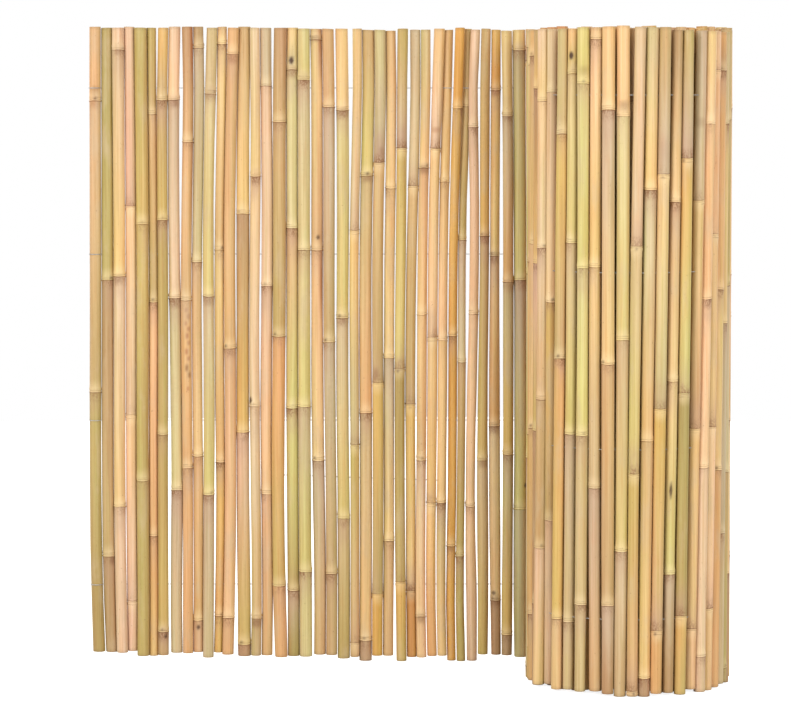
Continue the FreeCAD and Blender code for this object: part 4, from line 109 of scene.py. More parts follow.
    (8.11, -0.002, 0.0, 997.1, (125.2, 400.3, 692.6, 938.9), (456.0, -100.8, 457.0, -99.5, 458.0, -98.2, 459.1, -96.9, 460.2, -95.5, 461.2, -94.1, 462.1, -92.9, 462.9, -91.7, 463.9, -90.3, 464.9, -88.8, 465.8, -87.3, 466.7, -85.7)),
    (8.48, -0.011, 0.0, 997.0, (53.7, 340.1, 595.1, 857.8), (444.4, -114.6, 445.4, -113.5, 446.5, -112.3, 447.6, -111.1, 448.8, -109.9, 450.0, -108.6, 451.2, -107.4, 452.6, -106.0, 453.9, -104.9, 455.5, -103.7, 457.1, -102.5, 458.8, -101.4)),
    (8.26, 0.000, 5.6, 997.7, (97.5, 400.9, 744.1), (429.0, -123.5, 430.2, -122.7, 431.4, -121.8, 432.7, -120.8, 434.0, -119.8, 435.3, -118.6, 436.7, -117.5, 438.0, -116.2, 439.3, -114.9, 440.6, -113.4, 442.0, -111.7, 443.3, -109.8)),
    (7.95, 0.000, 0.8, 998.3, (119.5, 455.1, 807.3), (412.4, -139.9, 413.3, -139.4, 414.1, -138.9, 415.0, -138.4, 415.8, -137.9, 416.7, -137.5, 417.5, -137.0, 418.3, -136.5, 419.1, -136.0, 419.9, -135.5, 420.6, -135.0, 421.4, -134.6)),
    (7.64, 0.000, 4.1, 998.5, (183.1, 474.0, 741.9), (393.7, -144.1, 394.6, -143.7, 395.6, -143.3, 396.5, -142.9, 397.5, -142.5, 398.5, -142.1, 399.5, -141.6, 400.5, -141.2, 401.6, -140.7, 402.6, -140.2, 403.7, -139.7, 404.8, -139.2)),
    (8.21, 0.000, 4.6, 1002.1, (99.5, 434.0, 783.8), (375.3, -154.8, 376.2, -154.5, 377.3, -154.2, 378.3, -153.9, 379.3, -153.7, 380.3, -153.4, 381.2, -153.1, 382.1, -152.9, 383.0, -152.6, 383.9, -152.3, 384.7, -152.1, 385.5, -151.8)),
    (9.09, 0.000, 0.0, 1002.0, (27.6, 385.0, 760.2), (357.1, -152.7, 357.9, -152.6, 358.6, -152.5, 359.4, -152.4, 360.2, -152.3, 361.0, -152.1, 361.8, -152.0, 362.7, -151.9, 363.6, -151.7, 364.5, -151.6, 365.5, -151.4, 366.4, -151.2)),
    (7.62, 0.000, 1.3, 1002.5, (9.7, 337.1, 676.8), (339.4, -159.3, 339.5, -159.3, 339.8, -159.3, 340.2, -159.3, 340.7, -159.3, 341.3, -159.3, 342.1, -159.2, 343.0, -159.2, 344.1, -159.2, 345.3, -159.1, 346.6, -159.0, 348.0, -159.0)),
    (9.08, 0.000, 0.2, 1004.2, (219.6, 536.4, 870.1), (321.3, -153.8, 321.7, -154.1, 322.3, -154.1, 322.8, -154.2, 323.2, -154.2, 323.4, -154.2, 323.6, -154.3, 323.7, -154.3, 323.6, -154.3, 323.4, -154.2, 323.2, -154.2, 322.8, -154.2)),
    (8.65, 0.000, 4.2, 1003.0, (137.5, 500.2, 879.0), (302.7, -155.8, 302.8, -155.6, 302.5, -155.5, 302.3, -155.4, 302.1, -155.4, 301.9, -155.3, 301.7, -155.3, 301.6, -155.2, 301.4, -155.2, 301.2, -155.2, 301.1, -155.1, 301.0, -155.1)),
    (8.52, 0.000, 6.6, 1002.0, (313.2, 644.9, 984.4), (285.3, -144.0, 284.5, -143.7, 283.9, -143.4, 283.4, -143.2, 283.0, -143.1, 282.8, -143.0, 282.7, -142.9, 282.7, -142.9, 282.9, -143.0, 283.2, -143.1, 283.6, -143.3, 284.2, -143.5)),
    (8.39, 0.000, 4.9, 1002.1, (136.5, 392.0, 642.9, 917.6), (262.1, -138.3, 262.7, -138.7, 263.3, -139.0, 263.8, -139.3, 264.1, -139.5, 264.4, -139.7, 264.6, -139.8, 264.7, -139.8, 264.8, -139.8, 264.7, -139.8, 264.5, -139.7, 264.3, -139.6)),
    (7.37, 0.000, 4.8, 1000.8, (107.3, 392.3, 679.8, 932.6), (245.6, -120.4, 246.3, -121.0, 246.9, -121.5, 247.4, -122.0, 247.9, -122.4, 248.3, -122.8, 248.7, -123.1, 249.0, -123.3, 249.3, -123.5, 249.5, -123.7, 249.6, -123.8, 249.8, -123.8)),
    (7.84, 0.000, 3.2, 1000.5, (111.0, 505.7, 842.8), (228.7, -110.5, 229.3, -111.3, 229.9, -112.0, 230.6, -112.6, 231.2, -113.3, 231.8, -113.9, 232.4, -114.5, 232.9, -115.1, 233.5, -115.7, 234.0, -116.3, 234.6, -116.8, 234.9, -117.3)),
    (7.72, 0.000, 5.9, 1000.5, (257.8, 589.1, 905.7), (218.8, -82.2, 219.0, -84.2, 219.2, -86.2, 219.3, -87.7, 219.4, -88.8, 219.6, -89.5, 219.8, -90.0, 220.0, -90.4, 220.2, -90.6, 220.3, -90.7, 220.5, -90.6, 220.7, -90.4)),
    (8.81, -0.016, 4.0, 1000.5, (213.7, 439.9, 670.2, 891.8), (202.6, -75.5, 203.7, -75.8, 204.8, -76.1, 205.9, -76.4, 206.8, -76.6, 207.4, -76.9, 207.9, -77.2, 208.1, -77.5, 208.2, -77.8, 208.2, -78.1, 208.0, -78.4, 207.8, -78.6)),
    (8.61, 0.018, 0.0, 1000.1, (125.2, 390.8, 646.1, 910.8), (202.5, -57.1, 202.5, -57.4, 202.5, -57.8, 202.5, -58.3, 202.5, -58.7, 202.5, -59.1, 202.6, -59.5, 202.7, -59.9, 202.8, -60.2, 202.9, -60.5, 203.0, -60.6, 203.0, -60.8)),
    (8.44, -0.024, 4.0, 1000.0, (106.2, 393.5, 674.6, 960.1), (196.6, -40.0, 196.6, -40.3, 196.7, -40.7, 196.8, -41.1, 196.9, -41.5, 197.1, -41.9, 197.2, -42.3, 197.3, -42.7, 197.3, -43.0, 197.4, -43.2, 197.4, -43.3, 197.5, -43.5)),
    (8.01, -0.008, 3.0, 999.9, (53.1, 381.2, 646.1, 947.2), (195.3, -22.4, 195.3, -22.6, 195.3, -22.9, 195.3, -23.2, 195.4, -23.4, 195.4, -23.7, 195.4, -24.0, 195.4, -24.3, 195.4, -24.6, 195.5, -24.8, 195.5, -25.0, 195.5, -25.3)),
    (8.43, 0.006, 2.0, 999.8, (19.2, 342.9, 627.1, 974.2), (194.9, -4.0, 194.8, -4.2, 194.8, -4.6, 194.8, -4.9, 194.8, -5.3, 194.8, -5.5, 194.8, -5.6, 194.8, -5.7, 194.7, -5.9, 194.7, -6.2, 194.7, -6.6, 194.7, -7.0)),
    (7.78, 0.013, 1.0, 1001.1, (21.0, 297.8, 603.4, 891.8), (198.0, 14.4, 197.9, 14.2, 197.9, 13.9, 197.8, 13.4, 197.7, 13.0, 197.6, 12.6, 197.6, 12.4, 197.6, 12.2, 197.5, 12.1, 197.5, 11.9, 197.4, 11.6, 197.4, 11.3)),
    (8.43, 0.024, 1.0, 1001.2, (79.6, 381.2, 697.2, 983.4), (201.9, 31.3, 201.9, 31.2, 201.8, 31.1, 201.8, 31.0, 201.8, 30.9, 201.7, 30.8, 201.7, 30.6, 201.6, 30.4, 201.5, 30.2, 201.5, 30.0, 201.4, 29.7, 201.3, 29.4)),
    (8.70, -0.034, 1.0, 1001.1, (143.3, 388.9, 646.1, 891.8), (209.2, 47.9, 209.2, 47.9, 209.2, 47.8, 209.1, 47.7, 209.1, 47.6, 209.0, 47.5, 209.0, 47.4, 208.9, 47.2, 208.8, 47.0, 208.8, 46.9, 208.8, 46.9, 208.8, 47.0)),
    (7.95, -0.007, 5.5, 1005.2, (158.9, 407.3, 672.1, 887.9), (217.1, 64.0, 217.1, 63.9, 217.1, 64.0, 217.2, 64.1, 217.2, 64.1, 217.2, 64.1, 217.2, 64.1, 217.1, 64.0, 217.1, 64.0, 217.2, 64.1, 217.3, 64.2, 217.3, 64.3)),
    (8.54, 0.008, 0.0, 1003.7, (212.7, 456.9, 716.0, 959.3), (230.9, 76.8, 230.9, 76.8, 230.8, 76.8, 230.8, 76.8, 230.8, 76.8, 230.8, 76.8, 230.8, 76.8, 230.7, 76.7, 230.7, 76.7, 230.7, 76.7, 230.8, 76.8, 230.9, 76.9)),
    (8.60, -0.036, 0.0, 1005.4, (198.0, 438.0, 682.5, 891.8), (239.8, 92.7, 239.8, 92.7, 239.8, 92.7, 239.8, 92.7, 239.9, 92.7, 239.9, 92.7, 240.0, 92.8, 240.1, 92.9, 240.3, 93.1, 240.4, 93.2, 240.5, 93.3, 240.6, 93.3)),
    (8.47, -0.020, 3.0, 1001.1, (102.3, 408.9, 683.5, 979.1), (256.2, 102.3, 256.3, 102.3, 256.4, 102.4, 256.4, 102.4, 256.4, 102.4, 256.4, 102.4, 256.3, 102.4, 256.4, 102.4, 256.5, 102.4, 256.5, 102.5, 256.5, 102.5, 256.6, 102.5)),
    (8.82, -0.006, 2.0, 1002.5, (79.5, 353.3, 620.0, 878.5), (270.0, 114.5, 270.1, 114.6, 270.2, 114.6, 270.3, 114.7, 270.4, 114.7, 270.6, 114.8, 270.7, 114.9, 270.7, 114.9, 270.8, 114.9, 270.8, 114.9, 270.8, 114.9, 270.7, 115.0)),
    (8.58, -0.010, 0.0, 1001.4, (180.3, 544.1, 914.9), (289.9, 117.6, 290.0, 117.6, 290.1, 117.7, 290.2, 117.7, 290.0, 117.6, 289.7, 117.5, 289.4, 117.4, 289.2, 117.3, 289.1, 117.3, 289.0, 117.3, 289.0, 117.2, 289.0, 117.2)),
    (8.02, -0.037, 0.0, 1003.0, (106.2, 383.7, 627.1, 872.5), (305.5, 127.5, 305.5, 127.5, 305.6, 127.5, 305.8, 127.6, 305.8, 127.6, 305.8, 127.6, 305.8, 127.6, 305.7, 127.5, 305.7, 127.5, 305.7, 127.5, 305.8, 127.6, 305.9, 127.6)),
    (8.00, 0.034, 3.0, 1001.9, (193.0, 546.8, 873.2), (325.0, 125.1, 325.0, 125.1, 325.0, 125.1, 324.9, 125.1, 324.8, 125.1, 324.6, 125.1, 324.4, 125.1, 324.2, 125.2, 324.0, 125.2, 323.8, 125.2, 323.6, 125.2, 323.4, 125.2)),
    (8.77, -0.039, 1.0, 1004.6, (20.4, 301.2, 595.1, 889.5), (341.8, 131.0, 342.1, 130.9, 342.3, 130.9, 342.6, 130.9, 342.8, 130.9, 342.9, 130.9, 343.0, 130.9, 343.0, 130.9, 343.1, 130.8, 343.3, 130.8, 343.4, 130.9, 343.6, 130.9)),
    (8.63, -0.021, 3.0, 1001.2, (315.8, 590.8, 927.0), (360.6, 124.9, 360.7, 124.8, 360.8, 124.8, 360.9, 124.8, 360.8, 124.8, 360.8, 124.8, 360.7, 124.8, 360.7, 124.8, 360.7, 124.8, 360.6, 124.8, 360.6, 124.8, 360.7, 124.8)),
    (8.07, 0.025, 3.0, 1000.3, (184.5, 454.9, 716.9, 938.0), (379.3, 124.6, 379.4, 124.5, 379.5, 124.5, 379.6, 124.5, 379.6, 124.4, 379.6, 124.4, 379.6, 124.4, 379.7, 124.4, 379.8, 124.4, 379.9, 124.4, 379.9, 124.4, 379.9, 124.4)),
    (8.29, 0.031, 2.0, 1004.3, (286.2, 627.1, 984.0), (394.9, 112.9, 394.8, 112.9, 394.8, 112.9, 394.8, 112.9, 394.9, 112.9, 394.8, 112.9, 394.7, 113.0, 394.6, 113.0, 394.5, 113.0, 394.6, 113.0, 394.7, 113.0, 394.7, 113.0)),
    (8.76, 0.021, 2.0, 1001.7, (138.3, 504.3, 856.6), (411.9, 106.7, 412.0, 106.7, 412.0, 106.7, 412.1, 106.7, 412.2, 106.6, 412.3, 106.5, 412.3, 106.4, 412.3, 106.4, 412.2, 106.5, 412.1, 106.5, 412.1, 106.5, 412.1, 106.5)),
    (8.83, -0.039, 0.0, 1004.2, (201.4, 436.0, 690.9, 910.8), (424.5, 92.9, 424.5, 92.9, 424.5, 92.9, 424.5, 92.8, 424.6, 92.7, 424.7, 92.7, 424.8, 92.6, 424.8, 92.6, 424.8, 92.6, 424.8, 92.6, 424.7, 92.7, 424.7, 92.7)),
    (8.45, 0.002, 0.0, 1002.3, (212.5, 457.8, 690.0, 951.6), (440.7, 82.5, 440.7, 82.5, 440.6, 82.6, 440.5, 82.7, 440.5, 82.7, 440.6, 82.6, 440.6, 82.5, 440.6, 82.6, 440.5, 82.7, 440.5, 82.7, 440.4, 82.8, 440.4, 82.8)),
    (7.79, -0.018, 1.0, 1000.5, (16.5, 320.0, 592.8, 878.4), (447.1, 64.8, 447.0, 64.9, 447.0, 64.9, 446.9, 65.0, 447.0, 65.0, 447.0, 64.9, 447.0, 64.9, 447.0, 64.9, 447.0, 64.9, 447.1, 64.7, 447.2, 64.7, 447.2, 64.6)),
    (8.01, 0.033, 0.0, 1003.5, (158.1, 395.1, 690.8, 941.8), (460.1, 50.8, 460.2, 50.8, 460.2, 50.7, 460.2, 50.7, 460.2, 50.7, 460.2, 50.8, 460.1, 50.8, 460.2, 50.8, 460.2, 50.7, 460.2, 50.7, 460.1, 50.9, 460.1, 51.0)),
    (8.46, 0.024, 3.0, 1004.4, (36.3, 324.0, 602.5, 872.9), (463.5, 33.4, 463.5, 33.3, 463.6, 33.2, 463.6, 33.1, 463.6, 33.0, 463.7, 32.8, 463.7, 32.7, 463.8, 32.5, 463.8, 32.4, 463.8, 32.3, 463.8, 32.3, 463.8, 32.3)),
    (7.81, -0.025, 0.0, 1000.1, (38.1, 306.5, 627.1, 920.4), (470.9, 15.4, 470.9, 15.4, 470.9, 15.5, 470.9, 15.5, 470.9, 15.5, 470.9, 15.4, 471.0, 15.2, 471.0, 15.1, 471.0, 14.9, 471.0, 14.9, 471.0, 15.1, 471.0, 15.2)),
    (8.04, 0.022, 0.0, 1003.2, (42.8, 301.2, 591.4, 866.4), (466.7, -3.8, 466.7, -3.8, 466.7, -3.9, 466.6, -4.0, 466.6, -4.1, 466.7, -4.1, 466.7, -4.1, 466.7, -3.9, 466.7, -3.7, 466.7, -3.6, 466.7, -3.5, 466.7, -3.4)),
    (7.91, 0.034, 2.0, 999.9, (87.6, 381.2, 648.1, 962.0), (470.0, -22.7, 470.0, -22.6, 470.1, -22.6, 470.1, -22.5, 470.1, -22.4, 470.1, -22.4, 470.1, -22.4, 470.1, -22.3, 470.1, -22.2, 470.1, -22.2, 470.1, -22.1, 470.1, -22.0)),
    (8.55, -0.017, 1.0, 1004.9, (29.5, 249.3, 470.1, 734.3, 938.9), (462.0, -39.1, 462.0, -39.2, 461.9, -39.4, 461.9, -39.6, 461.9, -39.6, 461.9, -39.6, 461.9, -39.6, 461.9, -39.6, 461.9, -39.5, 461.9, -39.4, 462.0, -39.4, 462.0, -39.4)),
    (8.25, 0.013, 5.5, 1003.0, (277.6, 580.1, 949.2), (458.6, -56.9, 458.6, -56.9, 458.5, -57.0, 458.4, -57.2, 458.3, -57.5, 458.2, -57.6, 458.2, -57.7, 458.2, -57.6, 458.3, -57.6, 458.3, -57.5, 458.3, -57.5, 458.3, -57.6)),
    (8.45, 0.040, 3.0, 1004.9, (95.0, 354.7, 606.6, 891.8), (447.5, -71.6, 447.4, -71.7, 447.3, -71.9, 447.2, -72.0, 447.2, -72.1, 447.1, -72.2, 447.1, -72.2, 447.1, -72.3, 447.1, -72.3, 447.0, -72.4, 446.9, -72.5, 446.9, -72.6)),
    (8.04, -0.001, 4.0, 1001.3, (276.2, 568.4, 910.8), (440.0, -90.3, 440.1, -90.2, 440.2, -90.0, 440.3, -89.9, 440.4, -89.9, 440.3, -89.9, 440.3, -89.9, 440.3, -89.9, 440.3, -89.9, 440.3, -89.9, 440.3, -90.0, 440.3, -89.9)),
    (8.62, -0.005, 5.5, 1002.5, (308.3, 656.5, 962.5), (424.6, -101.3, 424.7, -101.2, 424.8, -101.1, 424.9, -101.1, 425.0, -101.0, 425.0, -101.0, 425.1, -100.9, 425.2, -100.8, 425.3, -100.7, 425.4, -100.6, 425.6, -100.5, 425.7, -100.3)),
    (8.26, -0.037, 0.0, 1003.0, (28.1, 303.6, 613.9, 857.8), (412.5, -114.7, 412.5, -114.7, 412.5, -114.8, 412.4, -114.8, 412.3, -114.8, 412.3, -114.9, 412.2, -114.9, 412.1, -115.0, 412.0, -115.0, 412.0, -115.1, 412.0, -115.1, 412.0, -115.1)),
    (8.61, -0.038, 5.5, 1001.8, (344.1, 646.1, 942.4), (393.8, -119.4, 393.7, -119.4, 393.8, -119.4, 393.9, -119.3, 394.0, -119.3, 393.9, -119.3, 393.7, -119.4, 393.7, -119.4, 393.6, -119.4, 393.5, -119.5, 393.4, -119.5, 393.4, -119.6)),
    (8.49, 0.022, 1.0, 1002.1, (166.6, 432.2, 655.8, 910.8), (378.4, -131.0, 378.5, -131.0, 378.5, -131.0, 378.6, -131.0, 378.6, -131.0, 378.6, -131.0, 378.6, -131.0, 378.6, -130.9, 378.7, -130.9, 378.7, -130.9, 378.7, -130.9, 378.7, -130.9)),
    (8.00, 0.024, 0.0, 1004.0, (269.9, 534.9, 857.5), (360.0, -130.5, 359.9, -130.6, 359.8, -130.6, 359.7, -130.6, 359.6, -130.6, 359.6, -130.6, 359.6, -130.6, 359.6, -130.6, 359.6, -130.6, 359.5, -130.6, 359.4, -130.6, 359.4, -130.6)),
    (7.99, -0.006, 0.0, 1000.5, (171.3, 435.4, 679.3, 891.8), (341.8, -137.9, 341.9, -137.9, 341.9, -137.9, 342.0, -137.9, 342.0, -137.9, 342.0, -137.9, 342.0, -137.9, 342.1, -137.9, 342.2, -137.9, 342.2, -137.9, 342.2, -137.9, 342.2, -137.9)),
    (8.22, -0.007, 4.0, 1001.8, (235.0, 530.8, 862.0), (323.9, -131.9, 323.8, -131.8, 323.8, -131.8, 323.7, -131.8, 323.6, -131.7, 323.4, -131.7, 323.4, -131.7, 323.5, -131.7, 323.5, -131.7, 323.5, -131.7, 323.4, -131.7, 323.3, -131.7)),
    (7.84, 0.034, 0.0, 1003.2, (227.9, 572.5, 878.9), (305.0, -131.4, 305.1, -131.4, 305.2, -131.4, 305.2, -131.4, 305.2, -131.4, 305.2, -131.4, 305.3, -131.4, 305.3, -131.5, 305.3, -131.4, 305.1, -131.4, 304.9, -131.3, 304.8, -131.3)),
    (8.78, -0.009, 4.0, 1000.5, (164.6, 426.1, 646.1, 880.5), (288.7, -122.5, 288.7, -122.5, 288.7, -122.5, 288.7, -122.6, 288.8, -122.6, 288.9, -122.6, 289.0, -122.7, 289.1, -122.7, 289.1, -122.7, 289.0, -122.6, 288.9, -122.6, 288.9, -122.5)),
    (8.79, 0.008, 4.0, 1003.8, (308.0, 676.1, 979.8), (270.7, -117.9, 270.7, -117.9, 270.7, -117.8, 270.7, -117.8, 270.8, -117.9, 270.8, -117.9, 270.8, -117.8, 270.6, -117.8, 270.5, -117.7, 270.5, -117.7, 270.4, -117.6, 270.4, -117.6)),
    (8.28, -0.026, 0.0, 999.5, (199.0, 416.1, 660.7, 910.8), (259.2, -102.5, 259.1, -102.4, 259.0, -102.3, 259.0, -102.3, 259.0, -102.3, 258.9, -102.2, 258.9, -102.2, 258.9, -102.2, 259.0, -102.3, 259.0, -102.3, 259.0, -102.3, 258.9, -102.2)),
    (7.62, -0.020, 0.0, 1000.6, (135.5, 361.0, 597.1, 861.6), (242.3, -92.5, 242.4, -92.6, 242.5, -92.7, 242.5, -92.7, 242.5, -92.7, 242.5, -92.7, 242.5, -92.8, 242.6, -92.8, 242.6, -92.9, 242.7, -92.9, 242.7, -93.0, 242.8, -93.1)),
    (8.58, -0.022, 0.0, 1004.7, (92.8, 386.2, 627.1, 875.5), (236.3, -74.9, 236.3, -75.0, 236.3, -75.0, 236.3, -74.9, 236.2, -74.8, 236.0, -74.5, 235.9, -74.4, 235.9, -74.4, 235.9, -74.4, 236.0, -74.5, 236.0, -74.5, 236.0, -74.6)),
    (7.93, -0.019, 0.0, 999.5, (64.9, 341.6, 646.1, 910.8), (223.7, -60.9, 223.6, -60.9, 223.6, -60.7, 223.5, -60.5, 223.5, -60.4, 223.5, -60.5, 223.5, -60.6, 223.5, -60.6, 223.5, -60.6, 223.5, -60.6, 223.5, -60.6, 223.6, -60.7)),
    (7.95, -0.027, 0.0, 1004.3, (161.4, 420.3, 665.1, 910.8), (222.6, -41.9, 222.6, -41.8, 222.6, -41.8, 222.6, -41.8, 222.6, -41.8, 222.6, -41.8, 222.6, -41.9, 222.6, -41.9, 222.6, -42.0, 222.6, -41.9, 222.6, -41.9, 222.6, -41.8)),
    (8.40, -0.033, 1.0, 1003.8, (260.7, 521.1, 766.4, 975.0), (214.1, -24.7, 214.1, -24.7, 214.1, -24.7, 214.1, -24.6, 214.1, -24.5, 214.1, -24.5, 214.1, -24.5, 214.1, -24.6, 214.1, -24.7, 214.1, -24.7, 214.1, -24.7, 214.1, -24.7)),
    (8.01, -0.035, 2.0, 1003.8, (106.2, 324.7, 542.8, 763.1, 972.7), (217.8, -6.0, 217.8, -6.1, 217.8, -6.1, 217.8, -5.9, 217.8, -5.7, 217.8, -5.5, 217.8, -5.5, 217.8, -5.5, 217.8, -5.5, 217.8, -5.5, 217.8, -5.5, 217.8, -5.4)),
    (7.79, 0.024, 0.0, 1003.7, (125.2, 381.2, 672.4, 954.3), (219.0, 13.0, 219.0, 12.9, 219.0, 12.9, 219.0, 12.8, 219.0, 12.8, 219.0, 12.7, 218.9, 12.6, 218.9, 12.4, 218.9, 12.3, 218.9, 12.3, 218.9, 12.3, 218.9, 12.2)),
    (7.65, 0.018, 3.0, 1001.3, (25.0, 321.0, 575.1, 888.2), (227.7, 28.8, 227.7, 28.8, 227.7, 28.8, 227.7, 28.8, 227.7, 28.8, 227.7, 28.8, 227.7, 28.8, 227.7, 28.8, 227.8, 28.9, 227.8, 29.0, 227.9, 29.2, 227.9, 29.2)),
    (8.45, -0.004, 5.5, 1005.5, (296.3, 611.4, 913.1), (230.5, 48.2, 230.5, 48.1, 230.5, 48.0, 230.5, 48.1, 230.6, 48.2, 230.6, 48.2, 230.6, 48.2, 230.6, 48.2, 230.5, 48.1, 230.4, 48.0, 230.4, 47.9, 230.4, 47.9)),
    (8.45, -0.006, 0.0, 1005.2, (211.2, 518.7, 862.3), (245.5, 60.0, 245.5, 60.0, 245.6, 60.1, 245.6, 60.1, 245.5, 60.0, 245.5, 60.0, 245.5, 60.0, 245.4, 59.9, 245.5, 60.0, 245.6, 60.1, 245.7, 60.2, 245.7, 60.3)),
    (8.30, -0.005, 0.0, 1004.8, (281.8, 570.5, 891.8), (254.8, 76.5, 254.8, 76.6, 254.8, 76.6, 254.8, 76.6, 254.9, 76.7, 255.0, 76.7, 255.0, 76.8, 255.0, 76.8, 255.0, 76.7, 254.9, 76.7, 255.0, 76.7, 255.1, 76.8)),
    (8.89, 0.027, 0.0, 1000.3, (87.5, 362.2, 613.0, 881.6), (271.9, 84.2, 271.9, 84.2, 271.9, 84.2, 271.8, 84.2, 271.7, 84.1, 271.7, 84.1, 271.8, 84.1, 271.9, 84.2, 272.1, 84.4, 272.2, 84.4, 272.3, 84.5, 272.3, 84.4)),
    (8.39, 0.000, 2.0, 1002.8, (227.5, 554.2, 912.5), (286.4, 97.5, 286.3, 97.4, 286.1, 97.3, 285.9, 97.2, 285.7, 97.1, 285.6, 97.1, 285.5, 97.0, 285.5, 97.0, 285.5, 97.0, 285.6, 97.1, 285.6, 97.2, 285.6, 97.2)),
    (8.67, -0.003, 0.0, 1005.5, (135.4, 430.4, 683.7, 961.8), (304.3, 99.9, 304.4, 99.9, 304.5, 100.0, 304.5, 100.0, 304.5, 100.0, 304.5, 99.9, 304.4, 99.9, 304.5, 99.9, 304.5, 100.0, 304.5, 100.0, 304.5, 99.9, 304.4, 99.9)),
    (8.14, -0.022, 3.0, 1004.9, (282.0, 627.1, 915.4), (321.2, 108.2, 321.3, 108.3, 321.5, 108.3, 321.5, 108.3, 321.5, 108.3, 321.6, 108.2, 321.7, 108.2, 321.8, 108.2, 321.8, 108.1, 321.8, 108.1, 321.8, 108.1, 321.9, 108.1)),
    (8.68, 0.017, 3.0, 1003.7, (42.1, 306.4, 601.3, 878.0), (341.0, 103.5, 340.9, 103.5, 340.8, 103.5, 340.8, 103.5, 340.6, 103.5, 340.5, 103.5, 340.5, 103.5, 340.4, 103.5, 340.2, 103.5, 340.0, 103.5, 339.9, 103.5, 339.8, 103.5)),
    (8.72, 0.020, 0.0, 1000.6, (219.1, 573.4, 873.9), (359.0, 106.6, 359.0, 106.6, 359.0, 106.5, 358.9, 106.5, 358.9, 106.5, 358.9, 106.5, 358.9, 106.5, 358.9, 106.5, 358.9, 106.5, 358.9, 106.6, 358.7, 106.6, 358.6, 106.6)),
    (8.90, -0.011, 4.0, 1003.3, (62.2, 329.3, 627.1, 880.7), (375.2, 97.4, 375.2, 97.4, 375.2, 97.4, 375.3, 97.4, 375.5, 97.3, 375.7, 97.3, 375.7, 97.3, 375.6, 97.3, 375.5, 97.3, 375.6, 97.3, 375.9, 97.2, 376.1, 97.1)),
    (8.22, -0.017, 2.0, 1000.4, (192.5, 488.7, 732.0, 967.7), (393.9, 94.3, 394.0, 94.2, 394.1, 94.2, 394.2, 94.1, 394.2, 94.2, 394.1, 94.2, 394.1, 94.2, 394.2, 94.1, 394.4, 94.0, 394.6, 93.9, 394.8, 93.8, 395.0, 93.7)),
    (7.82, 0.024, 4.0, 999.8, (234.9, 604.2, 917.9), (406.1, 78.8, 406.1, 78.9, 406.0, 78.9, 406.0, 78.9, 406.0, 78.9, 406.0, 78.9, 406.0, 78.9, 406.0, 78.9, 405.9, 79.0, 405.8, 79.1, 405.7, 79.1, 405.7, 79.2)),
    (7.62, 0.013, 1.0, 1001.7, (143.2, 385.5, 627.1, 864.9), (423.1, 70.1, 423.1, 70.0, 423.1, 70.1, 423.1, 70.1, 423.0, 70.2, 423.0, 70.2, 423.1, 70.1, 423.2, 69.9, 423.3, 69.8, 423.4, 69.7, 423.5, 69.6, 423.6, 69.4)),
    (8.78, 0.009, 1.0, 1004.7, (242.1, 468.1, 691.1, 913.3), (429.7, 52.8, 429.7, 52.8, 429.8, 52.7, 429.9, 52.6, 429.9, 52.5, 430.0, 52.4, 430.1, 52.3, 430.1, 52.2, 430.1, 52.1, 430.2, 52.1, 430.2, 52.0, 430.2, 51.9)),
    (8.88, 0.033, 0.0, 1001.2, (82.0, 362.2, 603.3, 890.2), (441.9, 38.3, 441.9, 38.3, 441.9, 38.3, 441.9, 38.3, 442.0, 38.1, 442.1, 37.8, 442.1, 37.6, 442.2, 37.4, 442.3, 37.3, 442.2, 37.3, 442.2, 37.5, 442.3, 37.5)),
    (7.79, 0.028, 2.0, 1003.0, (83.7, 362.2, 616.1, 878.6), (444.1, 19.3, 444.1, 19.3, 444.1, 19.3, 444.1, 19.2, 444.2, 19.1, 444.2, 19.0, 444.2, 18.9, 444.2, 18.9, 444.2, 18.9, 444.2, 18.8, 444.3, 18.7, 444.3, 18.6)),
    (8.66, 0.006, 0.0, 1000.1, (36.9, 334.1, 627.1, 917.1), (449.6, 0.5, 449.6, 0.7, 449.6, 0.8, 449.7, 0.8, 449.7, 0.8, 449.6, 0.8, 449.6, 0.8, 449.6, 0.9, 449.6, 1.1, 449.6, 1.4, 449.6, 1.6, 449.6, 1.8)),
    (8.14, 0.026, 2.0, 1000.0, (198.0, 433.6, 696.1, 941.0), (444.0, -17.5, 444.0, -17.5, 444.0, -17.5, 444.0, -17.5, 444.0, -17.4, 444.1, -17.2, 444.1, -17.1, 444.1, -16.9, 444.1, -16.8, 444.1, -16.7, 444.1, -16.6, 444.2, -16.6)),
    (8.46, -0.026, 0.0, 1001.3, (302.1, 627.1, 924.6), (443.3, -35.7, 443.3, -35.7, 443.3, -35.7, 443.3, -35.7, 443.3, -35.7, 443.3, -35.7, 443.3, -35.7, 443.3, -35.7, 443.3, -35.6, 443.4, -35.4, 443.4, -35.3, 443.4, -35.2)),
    (8.62, 0.013, 5.5, 1001.5, (20.6, 328.9, 627.1, 956.7), (435.1, -51.9, 435.1, -51.9, 435.1, -51.9, 435.1, -52.0, 435.1, -52.1, 435.1, -52.1, 435.1, -52.1, 435.0, -52.1, 435.0, -52.2, 435.0, -52.3, 434.9, -52.4, 434.8, -52.5)),
    (8.78, -0.002, 5.5, 1000.7, (83.2, 314.8, 533.5, 753.0, 966.4), (428.4, -70.1, 428.4, -70.1, 428.4, -70.1, 428.4, -70.1, 428.5, -70.0, 428.5, -70.0, 428.5, -70.0, 428.5, -70.0, 428.5, -70.0, 428.5, -70.0, 428.5, -70.0, 428.5, -70.0)),
    (8.86, 0.035, 2.0, 1000.7, (83.9, 381.2, 670.4, 975.3), (412.3, -80.0, 412.3, -80.0, 412.3, -80.0, 412.3, -80.0, 412.3, -80.0, 412.2, -80.1, 412.2, -80.2, 412.1, -80.2, 412.1, -80.2, 412.1, -80.2, 412.1, -80.2, 412.1, -80.2)),
